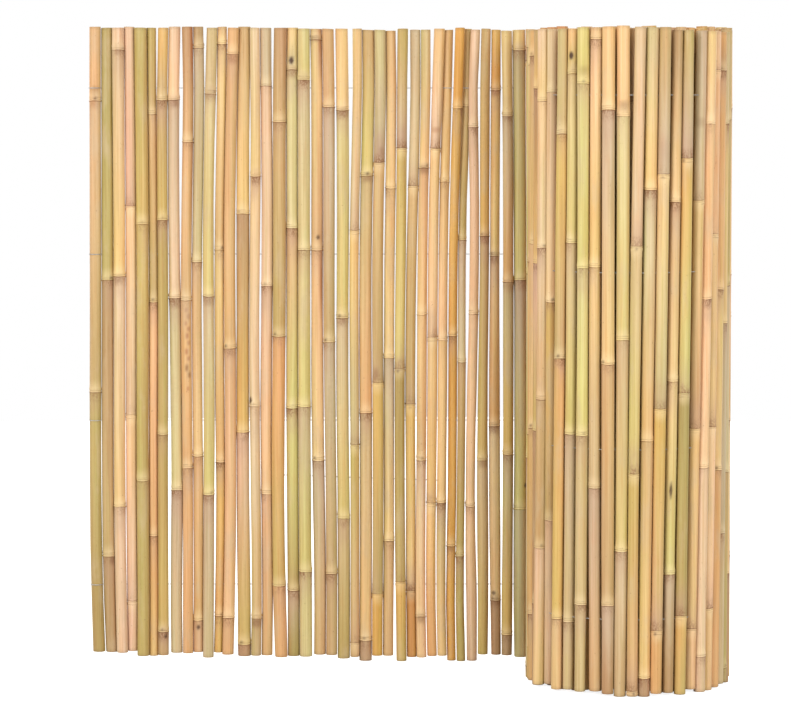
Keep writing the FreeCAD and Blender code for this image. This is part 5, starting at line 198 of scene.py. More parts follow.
    (8.45, 0.029, 0.0, 1002.9, (168.7, 415.1, 664.3, 927.2), (401.9, -95.9, 401.8, -96.0, 401.8, -96.0, 401.8, -96.0, 401.8, -96.0, 401.7, -96.1, 401.6, -96.1, 401.5, -96.2, 401.5, -96.2, 401.5, -96.2, 401.5, -96.2, 401.6, -96.1)),
    (8.87, 0.007, 0.0, 1002.3, (45.5, 343.4, 600.6, 877.1), (382.1, -100.2, 382.2, -100.2, 382.2, -100.2, 382.2, -100.1, 382.2, -100.1, 382.3, -100.1, 382.4, -100.1, 382.5, -100.0, 382.7, -99.9, 382.7, -99.9, 382.8, -99.9, 382.8, -99.9)),
    (8.35, -0.027, 1.0, 1005.0, (126.1, 385.8, 652.8, 923.5), (367.3, -111.8, 367.3, -111.8, 367.4, -111.7, 367.4, -111.7, 367.4, -111.8, 367.4, -111.8, 367.4, -111.8, 367.4, -111.7, 367.4, -111.8, 367.3, -111.8, 367.2, -111.8, 367.1, -111.8)),
    (8.86, -0.021, 1.0, 1001.8, (101.1, 362.2, 655.9, 983.3), (349.0, -109.4, 348.8, -109.5, 348.5, -109.5, 348.4, -109.5, 348.3, -109.5, 348.2, -109.5, 348.1, -109.5, 348.0, -109.5, 347.9, -109.6, 347.9, -109.6, 348.0, -109.5, 348.1, -109.5)),
    (8.18, -0.034, 1.0, 1001.9, (276.3, 570.3, 862.8), (329.4, -115.2, 329.5, -115.3, 329.7, -115.3, 329.8, -115.3, 329.8, -115.4, 329.8, -115.4, 329.9, -115.4, 329.9, -115.4, 329.9, -115.4, 330.1, -115.4, 330.3, -115.4, 330.4, -115.4)),
    (8.76, 0.018, 3.0, 1003.8, (14.8, 294.1, 578.1, 875.3), (312.9, -107.0, 312.9, -107.0, 312.8, -107.0, 312.8, -107.0, 312.8, -107.0, 312.8, -107.0, 312.7, -107.0, 312.7, -106.9, 312.6, -106.9, 312.6, -106.9, 312.5, -106.9, 312.4, -106.9)),
    (8.77, -0.003, 4.0, 1002.5, (87.9, 351.7, 624.7, 888.2), (294.4, -104.8, 294.4, -104.8, 294.3, -104.8, 294.3, -104.8, 294.4, -104.9, 294.3, -104.9, 294.3, -104.9, 294.3, -104.9, 294.2, -104.9, 294.1, -104.8, 294.0, -104.8, 293.9, -104.7)),
    (8.64, -0.023, 0.0, 1000.0, (105.3, 362.2, 646.1, 918.4), (280.2, -92.2, 280.3, -92.2, 280.3, -92.2, 280.2, -92.1, 280.2, -92.1, 280.2, -92.1, 280.2, -92.2, 280.2, -92.1, 280.2, -92.1, 280.2, -92.1, 280.3, -92.2, 280.3, -92.2)),
    (8.24, 0.006, 5.5, 1003.1, (38.5, 324.4, 581.0, 859.7), (265.2, -81.4, 265.2, -81.4, 265.2, -81.4, 265.2, -81.4, 265.2, -81.4, 265.3, -81.5, 265.3, -81.5, 265.4, -81.6, 265.5, -81.7, 265.6, -81.9, 265.7, -82.0, 265.7, -82.1)),
]
KNOT_TOP = 1006.0
KNOTS = np.linspace(0.0, KNOT_TOP, 12)
BORE_RATIO = 0.52
SEPTUM_HALF = 1.6
WIRE_R = 0.65
LOOP_GAP = 0.45
LOOP_BEND_R = 1.6
WIRE_Z_FLAT = (912.0, 649.3, 385.1, 122.6)
WIRE_Z_ROLL = (901.3, 636.6, 371.7, 115.7)
ROLL_R = 153.8
TURN = 22.0
X_TANGENT = 337.6
Y_FLAT = 150.6
STEP_DOWN_RUN = (136.0, 4.0)
SHORT_WIRE = (-203.4, 297.7, 60.6, 288.7)

NODE_OF = {}
for _k in range(1, 39):
    NODE_OF[_k] = "cane_%02d" % _k
for _name, _a, _b in (("canes_behind_roll", 39, 46), ("roll_outer_right_a", 47, 56), ("roll_outer_right_b", 57, 66), ("roll_front_right", 67, 72),
                      ("roll_front_left", 73, 79), ("roll_outer_left_a", 80, 86), ("roll_outer_left_b", 87, 92), ("roll_second_turn_a", 93, 101),
                      ("roll_second_turn_b", 102, 110), ("roll_second_turn_c", 111, 119), ("roll_second_turn_d", 120, 128), ("roll_second_turn_e", 129, 136),
                      ("roll_inner_turn_a", 137, 145), ("roll_inner_turn_b", 146, 154), ("roll_inner_turn_c", 155, len(CANES))):
    for _k in range(_a, _b + 1):
        NODE_OF[_k] = _name
GREEN = {1, 2, 5, 7, 11, 18, 19, 27, 33, 38}
TAN = {3, 4, 15, 16, 25, 26, 30, 31, 34}
AMBER = {6, 9, 12, 13, 23, 28, 29, 32, 36}

# ---------------------------------------------------------------- tones of dried bamboo
TONE = {
    "straw": (217, 184, 130), "paleyellow": (224, 199, 148), "cream": (232, 209, 163), "greenyellow": (201, 186, 119), "brightgreen": (205, 191, 122),
    "palegreen": (203, 188, 134), "greygreen": (198, 182, 140), "olivegreen": (168, 147, 90), "olive": (180, 158, 98), "oliveyellow": (192, 168, 102),
    "olivetan": (189, 160, 111), "tan": (202, 166, 119), "tanbrown": (177, 143, 102), "pinktan": (210, 174, 142), "pinkbeige": (215, 185, 151),
    "peach": (224, 188, 145), "peachorange": (219, 179, 131), "orangetan": (210, 168, 117), "orange": (208, 162, 106), "golden": (206, 168, 99),
    "yelloworange": (219, 184, 122), "orangepink": (214, 170, 130), "beige": (204, 179, 140), "greybeige": (191, 169, 137), "greenbeige": (194, 173, 126),
    "honey": (208, 158, 86), "amberbrown": (190, 136, 80), "redbrown": (164, 106, 66), "brown": (126, 86, 52), "darkbrown": (56, 34, 18), "mauve": (168, 136, 112),
}
# internodes of each cane from the head down, "upper>lower" tone of one internode
LOOK = {
    1: ["tan>orangetan", "tan>olivetan", "olive>olivegreen"],
    2: ["olivegreen>olive", "tanbrown>olivetan", "tanbrown"],
    3: ["pinkbeige", "beige>yelloworange", "pinkbeige>straw", "pinkbeige"],
    4: ["pinkbeige>pinktan", "peach>pinkbeige", "peach>pinkbeige", "pinkbeige"],
    5: ["olive>oliveyellow", "oliveyellow>olive", "olive"],
    6: ["olive>olivetan", "tan>olive", "peachorange>orangetan", "orangetan>yelloworange"],
    7: ["golden>olivetan", "olivetan>oliveyellow", "olive", "olive>oliveyellow", "olivetan"],
    8: ["pinkbeige>peach", "greybeige>pinkbeige", "greygreen>palegreen", "greybeige>greygreen"],
    9: ["tanbrown>tan", "orangetan>tan", "orangetan", "orangetan"],
    10: ["tanbrown", "greybeige>greenbeige", "tan>straw", "orangetan", "orangepink"],
    11: ["greenbeige", "palegreen>greenyellow", "greygreen>greenyellow", "greybeige>greygreen"],
    12: ["tan>straw", "straw>tan", "straw>orangetan", "golden>orange", "golden"],
    13: ["orangetan", "tan>orangetan", "orangepink>peachorange", "orangetan"],
    14: ["olivetan>yelloworange", "tanbrown>golden", "pinktan>oliveyellow", "tanbrown"],
    15: ["pinkbeige>straw", "peach>pinkbeige", "pinkbeige>tan", "olivetan"],
    16: ["greybeige", "pinktan>pinkbeige", "pinktan>peachorange", "orangepink>tan"],
    17: ["tanbrown>olivetan", "olivetan>olive", "orange>oliveyellow", "orangetan"],
    18: ["straw>greenbeige", "palegreen", "tan>greenyellow", "greenyellow>olive", "greybeige>olivegreen"],
    19: ["palegreen>greenyellow", "greygreen>palegreen", "palegreen>brightgreen", "greygreen>greenyellow", "palegreen"],
    20: ["tan", "straw>tan", "peachorange>straw", "greybeige>tan"],
    21: ["tan", "greybeige>olivetan", "greybeige>olivetan", "olivetan"],
    22: ["straw", "palegreen>greenyellow", "greygreen>greenyellow", "greenbeige>olive"],
    23: ["straw>beige", "yelloworange>greenbeige", "oliveyellow>tan", "tan"],
    24: ["olivetan>greenyellow", "greenbeige>orangetan", "greenbeige>straw", "tanbrown"],
    25: ["greenbeige>greybeige", "tan>olivetan", "golden>olivetan", "honey"],
    26: ["tan>straw", "straw", "greybeige>straw", "tan"],
    27: ["olive>greybeige", "oliveyellow>greenyellow", "olivegreen>olive", "golden>oliveyellow"],
    28: ["greybeige>beige", "tan>olivetan", "golden>straw", "amberbrown"],
    29: ["greenbeige>straw", "tan>straw", "straw>tan", "pinkbeige>peach", "peach"],
    30: ["straw>pinkbeige", "straw>peach", "straw>yelloworange", "yelloworange>orange"],
    31: ["tan>straw", "straw>peach", "straw", "greenbeige>straw"],
    32: ["honey", "golden>honey", "honey", "honey"],
    33: ["olivetan", "olivetan>olive", "greybeige>greygreen", "olivetan>olive", "olive"],
    34: ["pinkbeige", "pinkbeige>peach", "peach", "peach>pinkbeige"],
    35: ["olivetan>golden", "olivetan>oliveyellow", "greenbeige>oliveyellow"],
    36: ["golden>honey", "yelloworange", "peachorange>orange", "paleyellow>straw", "tanbrown"],
    37: ["straw", "beige>orange", "greenbeige>golden", "greenbeige>golden", "tanbrown"],
    38: ["straw>yelloworange", "greenbeige>greenyellow", "greybeige>greenyellow", "greygreen>greenbeige"],
    63: ["beige", "straw", "greybeige", "beige"],
    64: ["orange>tanbrown", "orangetan", "straw", "orangetan"],
    65: ["peach", "peachorange", "straw", "peach"],
    66: ["straw>peach", "peachorange", "peach", "pinkbeige"],
    67: ["greybeige>beige", "straw>tan", "yelloworange>straw", "peachorange"],
    68: ["olive>greybeige", "golden>greenyellow", "olivegreen>olive", "golden>oliveyellow"],
    69: ["tanbrown>straw", "tan>straw", "straw>greenyellow", "greybeige>tanbrown"],
    70: ["olivetan>greybeige", "straw>greenbeige", "golden>tan", "orange"],
    71: ["greenbeige>yelloworange", "greygreen>orangetan", "tan>yelloworange", "tanbrown"],
    72: ["beige", "greenbeige>greenyellow", "oliveyellow>tan", "tan"],
    73: ["straw", "palegreen>greenyellow", "greenbeige>greenyellow", "greygreen>greenbeige"],
    74: ["straw", "greybeige>straw", "tan>olivetan", "greybeige>tanbrown"],
    75: ["tan", "peach>yelloworange", "straw>greenbeige", "greybeige>tan"],
    76: ["greenyellow", "palegreen>greenyellow", "palegreen>brightgreen", "greenbeige", "greenbeige"],
    77: ["straw>greenyellow", "palegreen>greenyellow", "greenbeige>greenyellow", "greybeige>greenbeige", "greenbeige"],
    78: ["olivetan", "golden>olivetan", "orange>golden", "peachorange"],
    79: ["pinkbeige", "pinktan>peach", "golden>olivetan", "pinktan"],
}
REVERSED = {4, 23, 25, 27, 28, 30}
# canes of the roll that look like one of the canes above
TWIN = {67: 28, 68: 27, 69: 26, 70: 25, 71: 24, 72: 23, 73: 22, 74: 21, 75: 20, 76: 19, 77: 18, 78: 17, 79: 16, 80: 15, 81: 14, 82: 13, 83: 12, 84: 11,
        66: 29, 65: 30, 64: 32, 63: 34, 62: 33, 61: 36, 60: 35}
# marks seen on a cane's front: height, sideways place (-1 left edge to 1 right edge), half length, half width (mm), tone, strength
MARKS = {
    1: [(905, 0.1, 10, 7, "brown", 0.55), (890, -0.1, 9, 7, "redbrown", 0.5)],
    2: [(162, 0.6, 7, 4, "brown", 0.8)],
    3: [(974, 0.0, 9, 7, "brown", 0.4), (611, 0.0, 9, 8, "brown", 0.5)],
    7: [(46, 0.2, 12, 8, "mauve", 0.55), (40, 0.5, 3.5, 2.5, "darkbrown", 0.9)],
    8: [(266, 0.2, 11, 8, "mauve", 0.75), (572, 0.3, 10, 6, "brown", 0.5), (893, 0.1, 11, 8, "mauve", 0.6), (888, 0.3, 6, 4, "brown", 0.6)],
    # cane 9: the two long red-brown strips along the right edge (at 980 and 780) are painted shade on that side; the
    # short red-brown and brown spots are marks on the skin
    9: [(980, 0.85, 70, 5, "redbrown", 0.9), (561, 0.1, 4, 3, "redbrown", 0.8), (551, 0.45, 5, 3, "redbrown", 0.8), (540, 0.0, 4, 2.6, "redbrown", 0.7), (531, 0.5, 4, 3, "redbrown", 0.8), (520, 0.25, 5, 3, "redbrown", 0.8),
        (509, 0.5, 4, 2.6, "redbrown", 0.7), (495, 0.1, 5, 3, "redbrown", 0.75), (484, 0.45, 4, 2.6, "redbrown", 0.8), (469, 0.1, 6, 3, "brown", 0.75), (458, 0.6, 5, 3, "brown", 0.7), (436, 0.3, 4, 2.4, "redbrown", 0.6), (780, 0.85, 90, 4, "redbrown", 0.6)],
    11: [(905, 0.1, 11, 8, "brown", 0.6), (576, 0.0, 9, 7, "brown", 0.4)],
    10: [(54, 0.1, 4, 3, "darkbrown", 0.7)],
    13: [(958, 0.1, 9, 8, "redbrown", 0.6)],
    15: [(776, 0.1, 9, 8, "redbrown", 0.5), (417, -0.8, 6, 3.5, "darkbrown", 0.9), (62, 0.0, 8, 9, "brown", 0.7)],
    18: [(955, -0.1, 6.5, 4.2, "darkbrown", 1.0), (938, 0.2, 10, 8, "brown", 0.45), (110, 0.0, 40, 9, "tanbrown", 0.4)],
    19: [(928, 0.1, 10, 8, "brown", 0.4)],
    # cane 20: the two long red-brown strips near the right edge (at 985 and 620) are painted shade on that side; the
    # short spots are marks on the skin
    20: [(985, 0.7, 60, 4.5, "redbrown", 0.8), (676, 0.2, 4, 3, "darkbrown", 0.6), (620, 0.75, 60, 4.5, "redbrown", 0.75), (990, 0.0, 5, 9, "brown", 0.7)],
    22: [(874, 0.1, 8, 8, "brown", 0.7), (545, 0.0, 9, 8, "brown", 0.5)],
    24: [(771, 0.1, 8, 8, "brown", 0.6)],
    25: [(820, 0.1, 26, 9, "mauve", 0.5), (812, 0.4, 7, 5, "brown", 0.5), (460, -0.4, 9, 5, "brown", 0.6)],
    27: [(838, 0.0, 16, 8, "mauve", 0.4), (474, 0.0, 12, 8, "mauve", 0.45)],
    28: [(108, 0.0, 10, 9, "brown", 0.5)],
    29: [(785, 0.0, 9, 9, "brown", 0.65), (70, 0.1, 9, 8, "brown", 0.5)],
    30: [(846, 0.0, 5, 8, "redbrown", 0.5)],
    35: [(676, 0.2, 10, 8, "redbrown", 0.75), (318, 0.2, 8, 8, "brown", 0.5)],
    36: [(907, 0.0, 8, 8, "redbrown", 0.75), (373, 0.1, 8, 8, "brown", 0.6), (645, 0.1, 10, 7, "brown", 0.7), (98, 0.0, 9, 8, "brown", 0.75), (109, -0.4, 4, 4, "darkbrown", 0.6)],
    37: [(866, 0.0, 5, 8, "brown", 0.5), (600, 0.2, 12, 8, "redbrown", 0.4)],
    38: [(976, 0.2, 8, 9, "mauve", 0.5), (600, 0.3, 10, 8, "redbrown", 0.35), (281, 0.9, 4, 4, "darkbrown", 0.8)],
    67: [(860, 0.1, 8, 8, "brown", 0.3)],
    73: [(884, 0.0, 9, 8, "brown", 0.6)],
    76: [(936, 0.1, 9, 8, "brown", 0.35)],
    77: [(960, -0.4, 6.0, 3.4, "darkbrown", 1.0), (940, 0.1, 10, 8, "brown", 0.45)],
    70: [(820, 0.1, 20, 8, "mauve", 0.4)],
    69: [(310, 0.0, 12, 2.0, "darkbrown", 0.8)],
}


def linear(c):
    return np.array([((v / 255.0 + 0.055) / 1.055) ** 2.4 if v / 255.0 > 0.04045 else v / 255.0 / 12.92 for v in c])


LIN = {k: linear(v) for k, v in TONE.items()}


def centre(c, z):
    """plan position of the centre line at heights z"""
    return np.interp(z, KNOTS, c[5][0::2]), np.interp(z, KNOTS, c[5][1::2])


def radius(c, z):
    return c[0] * (1.0 + c[1] * (np.asarray(z) / KNOT_TOP - 0.5))


def smooth(t):
    t = np.clip(t, 0.0, 1.0)
    return t * t * (3 - 2 * t)


# offsets of the rings about a node, growing end upwards
NEAR = (-30, -17, -10, -6, -3.4, -2.0, -1.2, -0.6, 0.0, 0.5, 1.1, 1.9, 2.9, 4.2, 5.6, 7.4, 10, 16)
FAR = (-12, -3, -1.0, 0.0, 1.2, 2.6, 5.2, 9.0)


def look_of(k):
    """internode tones and growing direction of cane k"""
    rng = random.Random(5200 + 11 * k)
    j = k if k <= 38 else TWIN.get(k, rng.randint(1, 38))
    # canes of the inner turns, seen only through the roll's gaps, all get warm orange tones: partly bamboo tone, partly
    # painted warm bounce light in the gaps
    if k > 92:
        return [rng.choice(("peachorange", "orange", "orangepink", "yelloworange", "orangetan")) for _ in range(6)], rng.random() < 0.3
    return LOOK.get(k, LOOK[j]), j in REVERSED


def fullness(i, z):
    """a little extra radius where the gap to a neighbour is narrow"""
    cx, cy = centre(CANES[i], z)
    gap = np.full(len(z), 9.0)
    for j in (i - 1, i + 1):
        if 0 <= j < 92:
            nx, ny = centre(CANES[j], z)
            gap = np.minimum(gap, np.hypot(cx - nx, cy - ny) - radius(CANES[i], z) - radius(CANES[j], z))
    if 20 <= i < 38:
        return np.clip(0.5 * (gap - 1.6), 0.0, 0.4 + 2.0 * (1 - smooth(z / 760.0)))
    most = 0.85 if 60 <= i < 92 else 0.4
    return np.clip(0.5 * (gap - 0.8), 0.0, most) * (1 - smooth((gap - 4.0) / 2.0))


def cane_piece(i):
    c = CANES[i]
    r0, taper, z0, z1, nodes, _ = c
    k = i + 1
    rng = random.Random(9100 + 37 * k)
    seen = k <= 92
    sides = 28 if seen else 18
    look, turned = look_of(k)
    sg = -1.0 if turned else 1.0
    marks = MARKS.get(k, [])

    zs = [z0, z0 + 0.5, z0 + 1.6, z0 + 6, z1 - 6, z1 - 1.6, z1 - 0.5, z1]
    for n in nodes:
        zs += [n + sg * d for d in (NEAR if seen else FAR)]
    for m in marks:
        zs += [m[0] + m[2] * f for f in (-1.3, -0.8, -0.4, 0.0, 0.4, 0.8, 1.3)]
    gap = 24.0 if seen else 70.0
    zs = sorted(z for z in zs if z0 <= z <= z1)
    full = [zs[0]]
    for z in zs[1:]:
        if z - full[-1] < 0.3:
            continue
        steps = int((z - full[-1]) / gap)
        base = full[-1]
        for s in range(1, steps + 1):
            full.append(base + (z - base) * s / (steps + 1))
        full.append(z)
    if z1 - full[-1] > 1e-6:
        full[-1] = z1
    Z = np.array(full)
    m = len(Z)
    A = np.arange(sides) * 2 * math.pi / sides + rng.uniform(0, 0.2)

    # distance of each point above the node under it and below the node over it, in the growing direction; node rings are a little askew
    above = np.full((m, sides), 400.0)
    below = np.full((m, sides), 400.0)
    ring = np.zeros((m, sides))
    bloom = np.zeros((m, sides))
    for n in nodes:
        skew, sa = rng.uniform(0.1, 0.9), rng.uniform(0, 6.28)
        d = ((Z - n) * sg)[:, None] + skew * np.cos(A[None, :] - sa) + 0.25 * np.cos(3 * A[None, :] + sa)
        above = np.where(d > -3.0, np.minimum(above, d), above)
        below = np.where(d < 3.0, np.minimum(below, -d), below)
        hgt, lip, swell = rng.uniform(0.34, 0.80), rng.uniform(0.15, 0.50), rng.uniform(0.006, 0.038)
        ring += hgt * np.exp(-(d / 0.95) ** 2) - 0.22 * np.exp(-((d - 2.3) / 0.9) ** 2) + lip * np.exp(-((d - 5.0) / 2.3) ** 2) + swell * r0 * np.exp(-(d / 13.0) ** 2)
        amount = rng.choice((0.25, 0.45, 0.6, 0.8, 1.0))
        bloom = np.maximum(bloom, amount * np.exp(-(d / 90.0) ** 4))

    # section: a little oval, slow swelling, a shallow groove above each bud, the rings of the node
    ov, a0 = rng.uniform(0.006, 0.022), rng.uniform(0, math.pi)
    w1, w2 = rng.uniform(0, 6.28), rng.uniform(0, 6.28)
    R = radius(c, Z) * (1 + 0.007 * np.sin(Z / 41.0 + w1) + 0.006 * np.sin(Z / 97.0 + w2)) + fullness(i, Z)
    RR = (R[:, None] + ring) * (1 + ov * np.cos(2 * (A[None, :] - a0)))
    bud0 = rng.uniform(0, 2 * math.pi)
    buds = []
    for q, n in enumerate(nodes):
        b = bud0 + math.pi * q + rng.uniform(-0.3, 0.3)
        nxt = [x for x in nodes if (x - n) * sg > 5]
        run = (min(abs(x - n) for x in nxt) if nxt else 260.0) * 0.62
        da = (A[None, :] - b + math.pi) % (2 * math.pi) - math.pi
        d = ((Z - n) * sg)[:, None]
        fall = smooth((d - 4) / 10.0) * (1 - smooth((d - 0.3 * run) / (0.7 * run)))
        RR -= 0.045 * r0 * np.exp(-(da / 0.36) ** 2) * fall
        RR += 0.55 * np.exp(-(da / 0.22) ** 2 - ((d - 4.2) / 2.4) ** 2)
        buds.append((n, b, rng.uniform(0.25, 0.9)))
    RR[0] -= 0.35
    RR[-1] -= 0.35
    CX, CY = centre(c, Z)
    X = CX[:, None] + RR * np.cos(A)[None, :]
    Y = CY[:, None] + RR * np.sin(A)[None, :]
    ZZ = np.repeat(Z[:, None], sides, 1)
    # cut slightly out of square
    tilt, ta = rng.uniform(0.0, 0.05), rng.uniform(0, 6.28)
    ZZ[-1] += -tilt * r0 + tilt * RR[-1] * np.cos(A - ta)
    ZZ[-2] = np.minimum(ZZ[-2], ZZ[-1] - 0.3)
    rings = []
    cut = []

    def flat_ring(z, r, value, slope=0.0):
        x, y = centre(c, z)
        zr = np.full(sides, z)
        if slope:
            zr = zr - tilt * r0 + tilt * r * np.cos(A - ta)
        rings.append(np.stack([x + r * np.cos(A), y + r * np.sin(A), zr], 1))
        cut.append(np.full(sides, value))

    # from the lower septum down the bore, over the foot, up the outside, over the head and down to the upper septum
    low = (min(nodes) - SEPTUM_HALF) if nodes else z0 + 200
    high = (max(nodes) + SEPTUM_HALF) if nodes else z1 - 200
    bore_lo, bore_hi = BORE_RATIO * float(radius(c, z0)), BORE_RATIO * float(radius(c, z1))
    flat_ring(low, bore_lo * 0.5, 2.0)
    flat_ring(low, bore_lo * 0.96, 2.0)
    depth = low - z0
    for d in [x for x in (120.0, 45.0, 14.0, 4.0) if x < depth - 1.0]:
        flat_ring(z0 + d, bore_lo, 2.0)
    flat_ring(z0 + 0.4, bore_lo, 1.6)
    flat_ring(z0, bore_lo + 0.3, 1.0)
    flat_ring(z0, bore_lo + 0.9, 1.0)
    flat_ring(z0, R[0] - 1.0, 1.0)
    first_outer = len(rings)
    for j in range(m):
        rings.append(np.stack([X[j], Y[j], ZZ[j]], 1))
        cut.append(np.full(sides, 1.0 if j in (0, m - 1) else 0.0))
    last_outer = len(rings) - 1
    flat_ring(z1, R[-1] - 1.0, 1.0, 1)
    flat_ring(z1, bore_hi + 0.9, 1.0, 1)
    flat_ring(z1, bore_hi + 0.3, 1.0, 1)
    flat_ring(z1 - 0.5, bore_hi, 1.6, 1)
    depth = z1 - high
    for d in [x for x in (4.0, 14.0, 45.0, 120.0) if x < depth - 1.0]:
        flat_ring(z1 - d, bore_hi, 2.0)
    flat_ring(high, bore_hi * 0.96, 2.0)
    flat_ring(high, bore_hi * 0.5, 2.0)
    nr = len(rings)
    V = np.concatenate(rings)
    cut = np.concatenate(cut)
    xl, yl = centre(c, low)
    xh, yh = centre(c, high)
    V = np.vstack([V, [[xl, yl, low], [xh, yh, high]]])
    cut = np.append(cut, [2.0, 2.0])
    s = np.arange(sides)
    s1 = (s + 1) % sides
    quads = np.concatenate([np.stack([j * sides + s, j * sides + s1, (j + 1) * sides + s1, (j + 1) * sides + s], 1) for j in range(nr - 1)])
    lowc, highc = nr * sides, nr * sides + 1
    tris = np.concatenate([np.stack([np.full(sides, lowc), s1, s], 1), np.stack([np.full(sides, highc), (nr - 1) * sides + s, (nr - 1) * sides + s1], 1)])

    # tones along the cane
    cols = np.zeros((m, 3))
    bounds = [z1] + sorted(nodes, reverse=True) + [z0]
    names = list(look)
    while len(names) < len(bounds) - 1:
        names.append(names[-1] if k <= 38 else rng.choice(names))
    for q in range(len(bounds) - 1):
        hi, lo = bounds[q], bounds[q + 1]
        a, b = (names[q].split(">") + [names[q]])[:2] if ">" in names[q] else (names[q], names[q])
        inside = (Z <= hi) & (Z >= lo) if q == 0 else (Z < hi) & (Z >= lo)
        t = smooth((hi - Z) / max(hi - lo, 1.0))[:, None]
        cols = np.where(inside[:, None], LIN[a] * (1 - t) + LIN[b] * t, cols)
    vary = 1 + 0.05 * np.array([rng.uniform(-1, 1) for _ in range(3)]) * (0.6 if k <= 38 or k in TWIN else 1.3)
    tone = np.repeat((cols * vary)[:, None, :], sides, 1)
    turn = rng.choice((0.0, math.pi)) + 0.7 * np.sin(Z / 150.0 + rng.uniform(0, 6.28))
    drift = np.cos(A[None, :] - turn[:, None]) * rng.uniform(0.4, 1.0)
    tone = tone * (1 + drift[:, :, None] * np.array([0.032, -0.038, 0.024]))
    # blend the marks into the tone; the long red-brown strips along the right edge of canes 9 and 20 are painted shade
    for z, side, hl, hw, name, amount in marks:
        ang = -math.pi / 2 + math.asin(max(-0.98, min(0.98, side)))
        da = (A - ang + math.pi) % (2 * math.pi) - math.pi
        w = np.exp(-(((Z - z) / hl)[:, None] ** 2) ** 1.5) * np.exp(-((da * r0 / hw)[None, :] ** 2) ** 1.5) * amount
        tone = tone * (1 - w[:, :, None]) + LIN[name] * w[:, :, None]
    dirt = np.zeros((m, sides))
    for n, b, amount in buds:
        da = (A[None, :] - b + math.pi) % (2 * math.pi) - math.pi
        d = ((Z - n) * sg)[:, None]
        dirt = np.maximum(dirt, amount * np.exp(-(da / 0.24) ** 2 - ((d - 4.0) / 2.6) ** 2))
    for z, side, hl, hw, name, amount in marks:
        if name == "darkbrown":
            ang = -math.pi / 2 + math.asin(max(-0.98, min(0.98, side)))
            da = (A - ang + math.pi) % (2 * math.pi) - math.pi
            w = 1.25 - np.abs((Z - z) / hl)[:, None] - np.abs(da * r0 / hw)[None, :]
            dirt = np.maximum(dirt, amount * np.clip(w * 1.6, 0, 1))
    # weathered rims
    to_end = np.minimum(Z - z0, z1 - Z)[:, None]
    dirt = np.maximum(dirt, 0.30 * np.exp(-(to_end / 2.2) ** 2) * np.ones((1, sides)))
    total = len(V)

    def spread(outer, rest):
        """outer values on the outer rings, rest elsewhere"""
        full = np.empty((total,) + outer.shape[2:])
        full[:] = rest
        full[first_outer * sides:(last_outer + 1) * sides] = outer.reshape((-1,) + outer.shape[2:])
        return full

    name = "cane_%03d" % k
    me = bpy.data.meshes.new(name)
    me.from_pydata((V * MM).tolist(), [], quads.tolist() + tris.tolist())
    me.polygons.foreach_set("use_smooth", np.ones(len(me.polygons), dtype=bool))
    tone_v = spread(tone, LIN["beige"])
    tone_v[:first_outer * sides] = cols[0]
    tone_v[(last_outer + 1) * sides:] = cols[-1]
    tone_a = me.attributes.new("tone", "FLOAT_COLOR", "POINT")
    tone_a.data.foreach_set("color", np.concatenate([tone_v, np.ones((total, 1))], 1).ravel())
    for key, val in (("above_mm", spread(above, 300.0)), ("below_mm", spread(below, 300.0)), ("bloom", spread(bloom, 0.0)), ("dirt", spread(dirt, 0.0)), ("cut", cut), ("seed", np.full(total, rng.uniform(0, 50)))):
        at = me.attributes.new(key, "FLOAT", "POINT")
        at.data.foreach_set("value", np.asarray(val, dtype=float).ravel())

    # unrolled outside folded into strips, head and foot as discs at the side
    uv = me.uv_layers.new(name="OFBake")
    loops = np.empty(len(me.loops), dtype=np.int32)
    me.loops.foreach_get("vertex_index", loops)
    nq = len(quads)
    ringof = loops // sides
    sideof = loops % sides
    U = np.zeros(len(loops))
    W = np.zeros(len(loops))
    ql = np.arange(nq * 4).reshape(nq, 4)
    zv = V[:, 2]
    strips = 4
    span = (z1 - z0) / strips
    fr = np.arange(nq) // sides
    fs = np.arange(nq) % sides
    out = (fr >= first_outer) & (fr < last_outer)
    zmid = zv[quads].mean(1)
    st = np.clip(((zmid - z0) / span).astype(int), 0, strips - 1)
    zq = zv[quads]
    su = np.stack([fs, fs + 1, fs + 1, fs], 1) / sides
    uq = (st[:, None] + 0.03 + 0.94 * su) * (0.92 / strips)
    wq = 0.06 + 0.88 * (zq - z0 - st[:, None] * span) / span
    # discs
    frac_r = np.where((fr < first_outer)[:, None], np.stack([fr, fr, fr + 1, fr + 1], 1) / max(first_outer, 1), (nr - 1 - np.stack([fr, fr, fr + 1, fr + 1], 1)) / max(nr - 1 - last_outer, 1))
    rho = 0.004 + 0.029 * np.clip(frac_r, 0, 1)
    ang = su * 2 * math.pi
    ud = 0.962 + rho * np.cos(ang)
    wd = np.where((fr < first_outer)[:, None], 0.25, 0.75) + rho * np.sin(ang)
    U[ql] = np.where(out[:, None], uq, ud)
    W[ql] = np.where(out[:, None], wq, wd)
    tl = nq * 4 + np.arange(len(tris) * 3).reshape(-1, 3)
    ts = np.concatenate([np.stack([s + 0.5, s + 1.0, s], 1), np.stack([s + 0.5, s, s + 1.0], 1)]) / sides * 2 * math.pi
    tr = np.array([0.0, 0.004, 0.004])[None, :]
    U[tl] = 0.962 + tr * np.cos(ts)
    W[tl] = np.where((np.arange(len(tris)) < sides)[:, None], 0.25, 0.75) + tr * np.sin(ts)
    uv.data.foreach_set("uv", np.stack([U, W], 1).ravel())
    me.update()
    ob = bpy.data.objects.new(name, me)
    bpy.context.scene.collection.objects.link(ob)
    return ob


# ---------------------------------------------------------------- materials
def math_node(nt, op, a, b=None, clamp=False):
    n = nt.nodes.new("ShaderNodeMath")
    n.operation = op
    n.use_clamp = clamp
    for i, v in enumerate((a, b)):
        if v is None:
            continue
        if isinstance(v, (int, float)):
            n.inputs[i].default_value = v
        else:
            nt.links.new(v, n.inputs[i])
    return n.outputs[0]


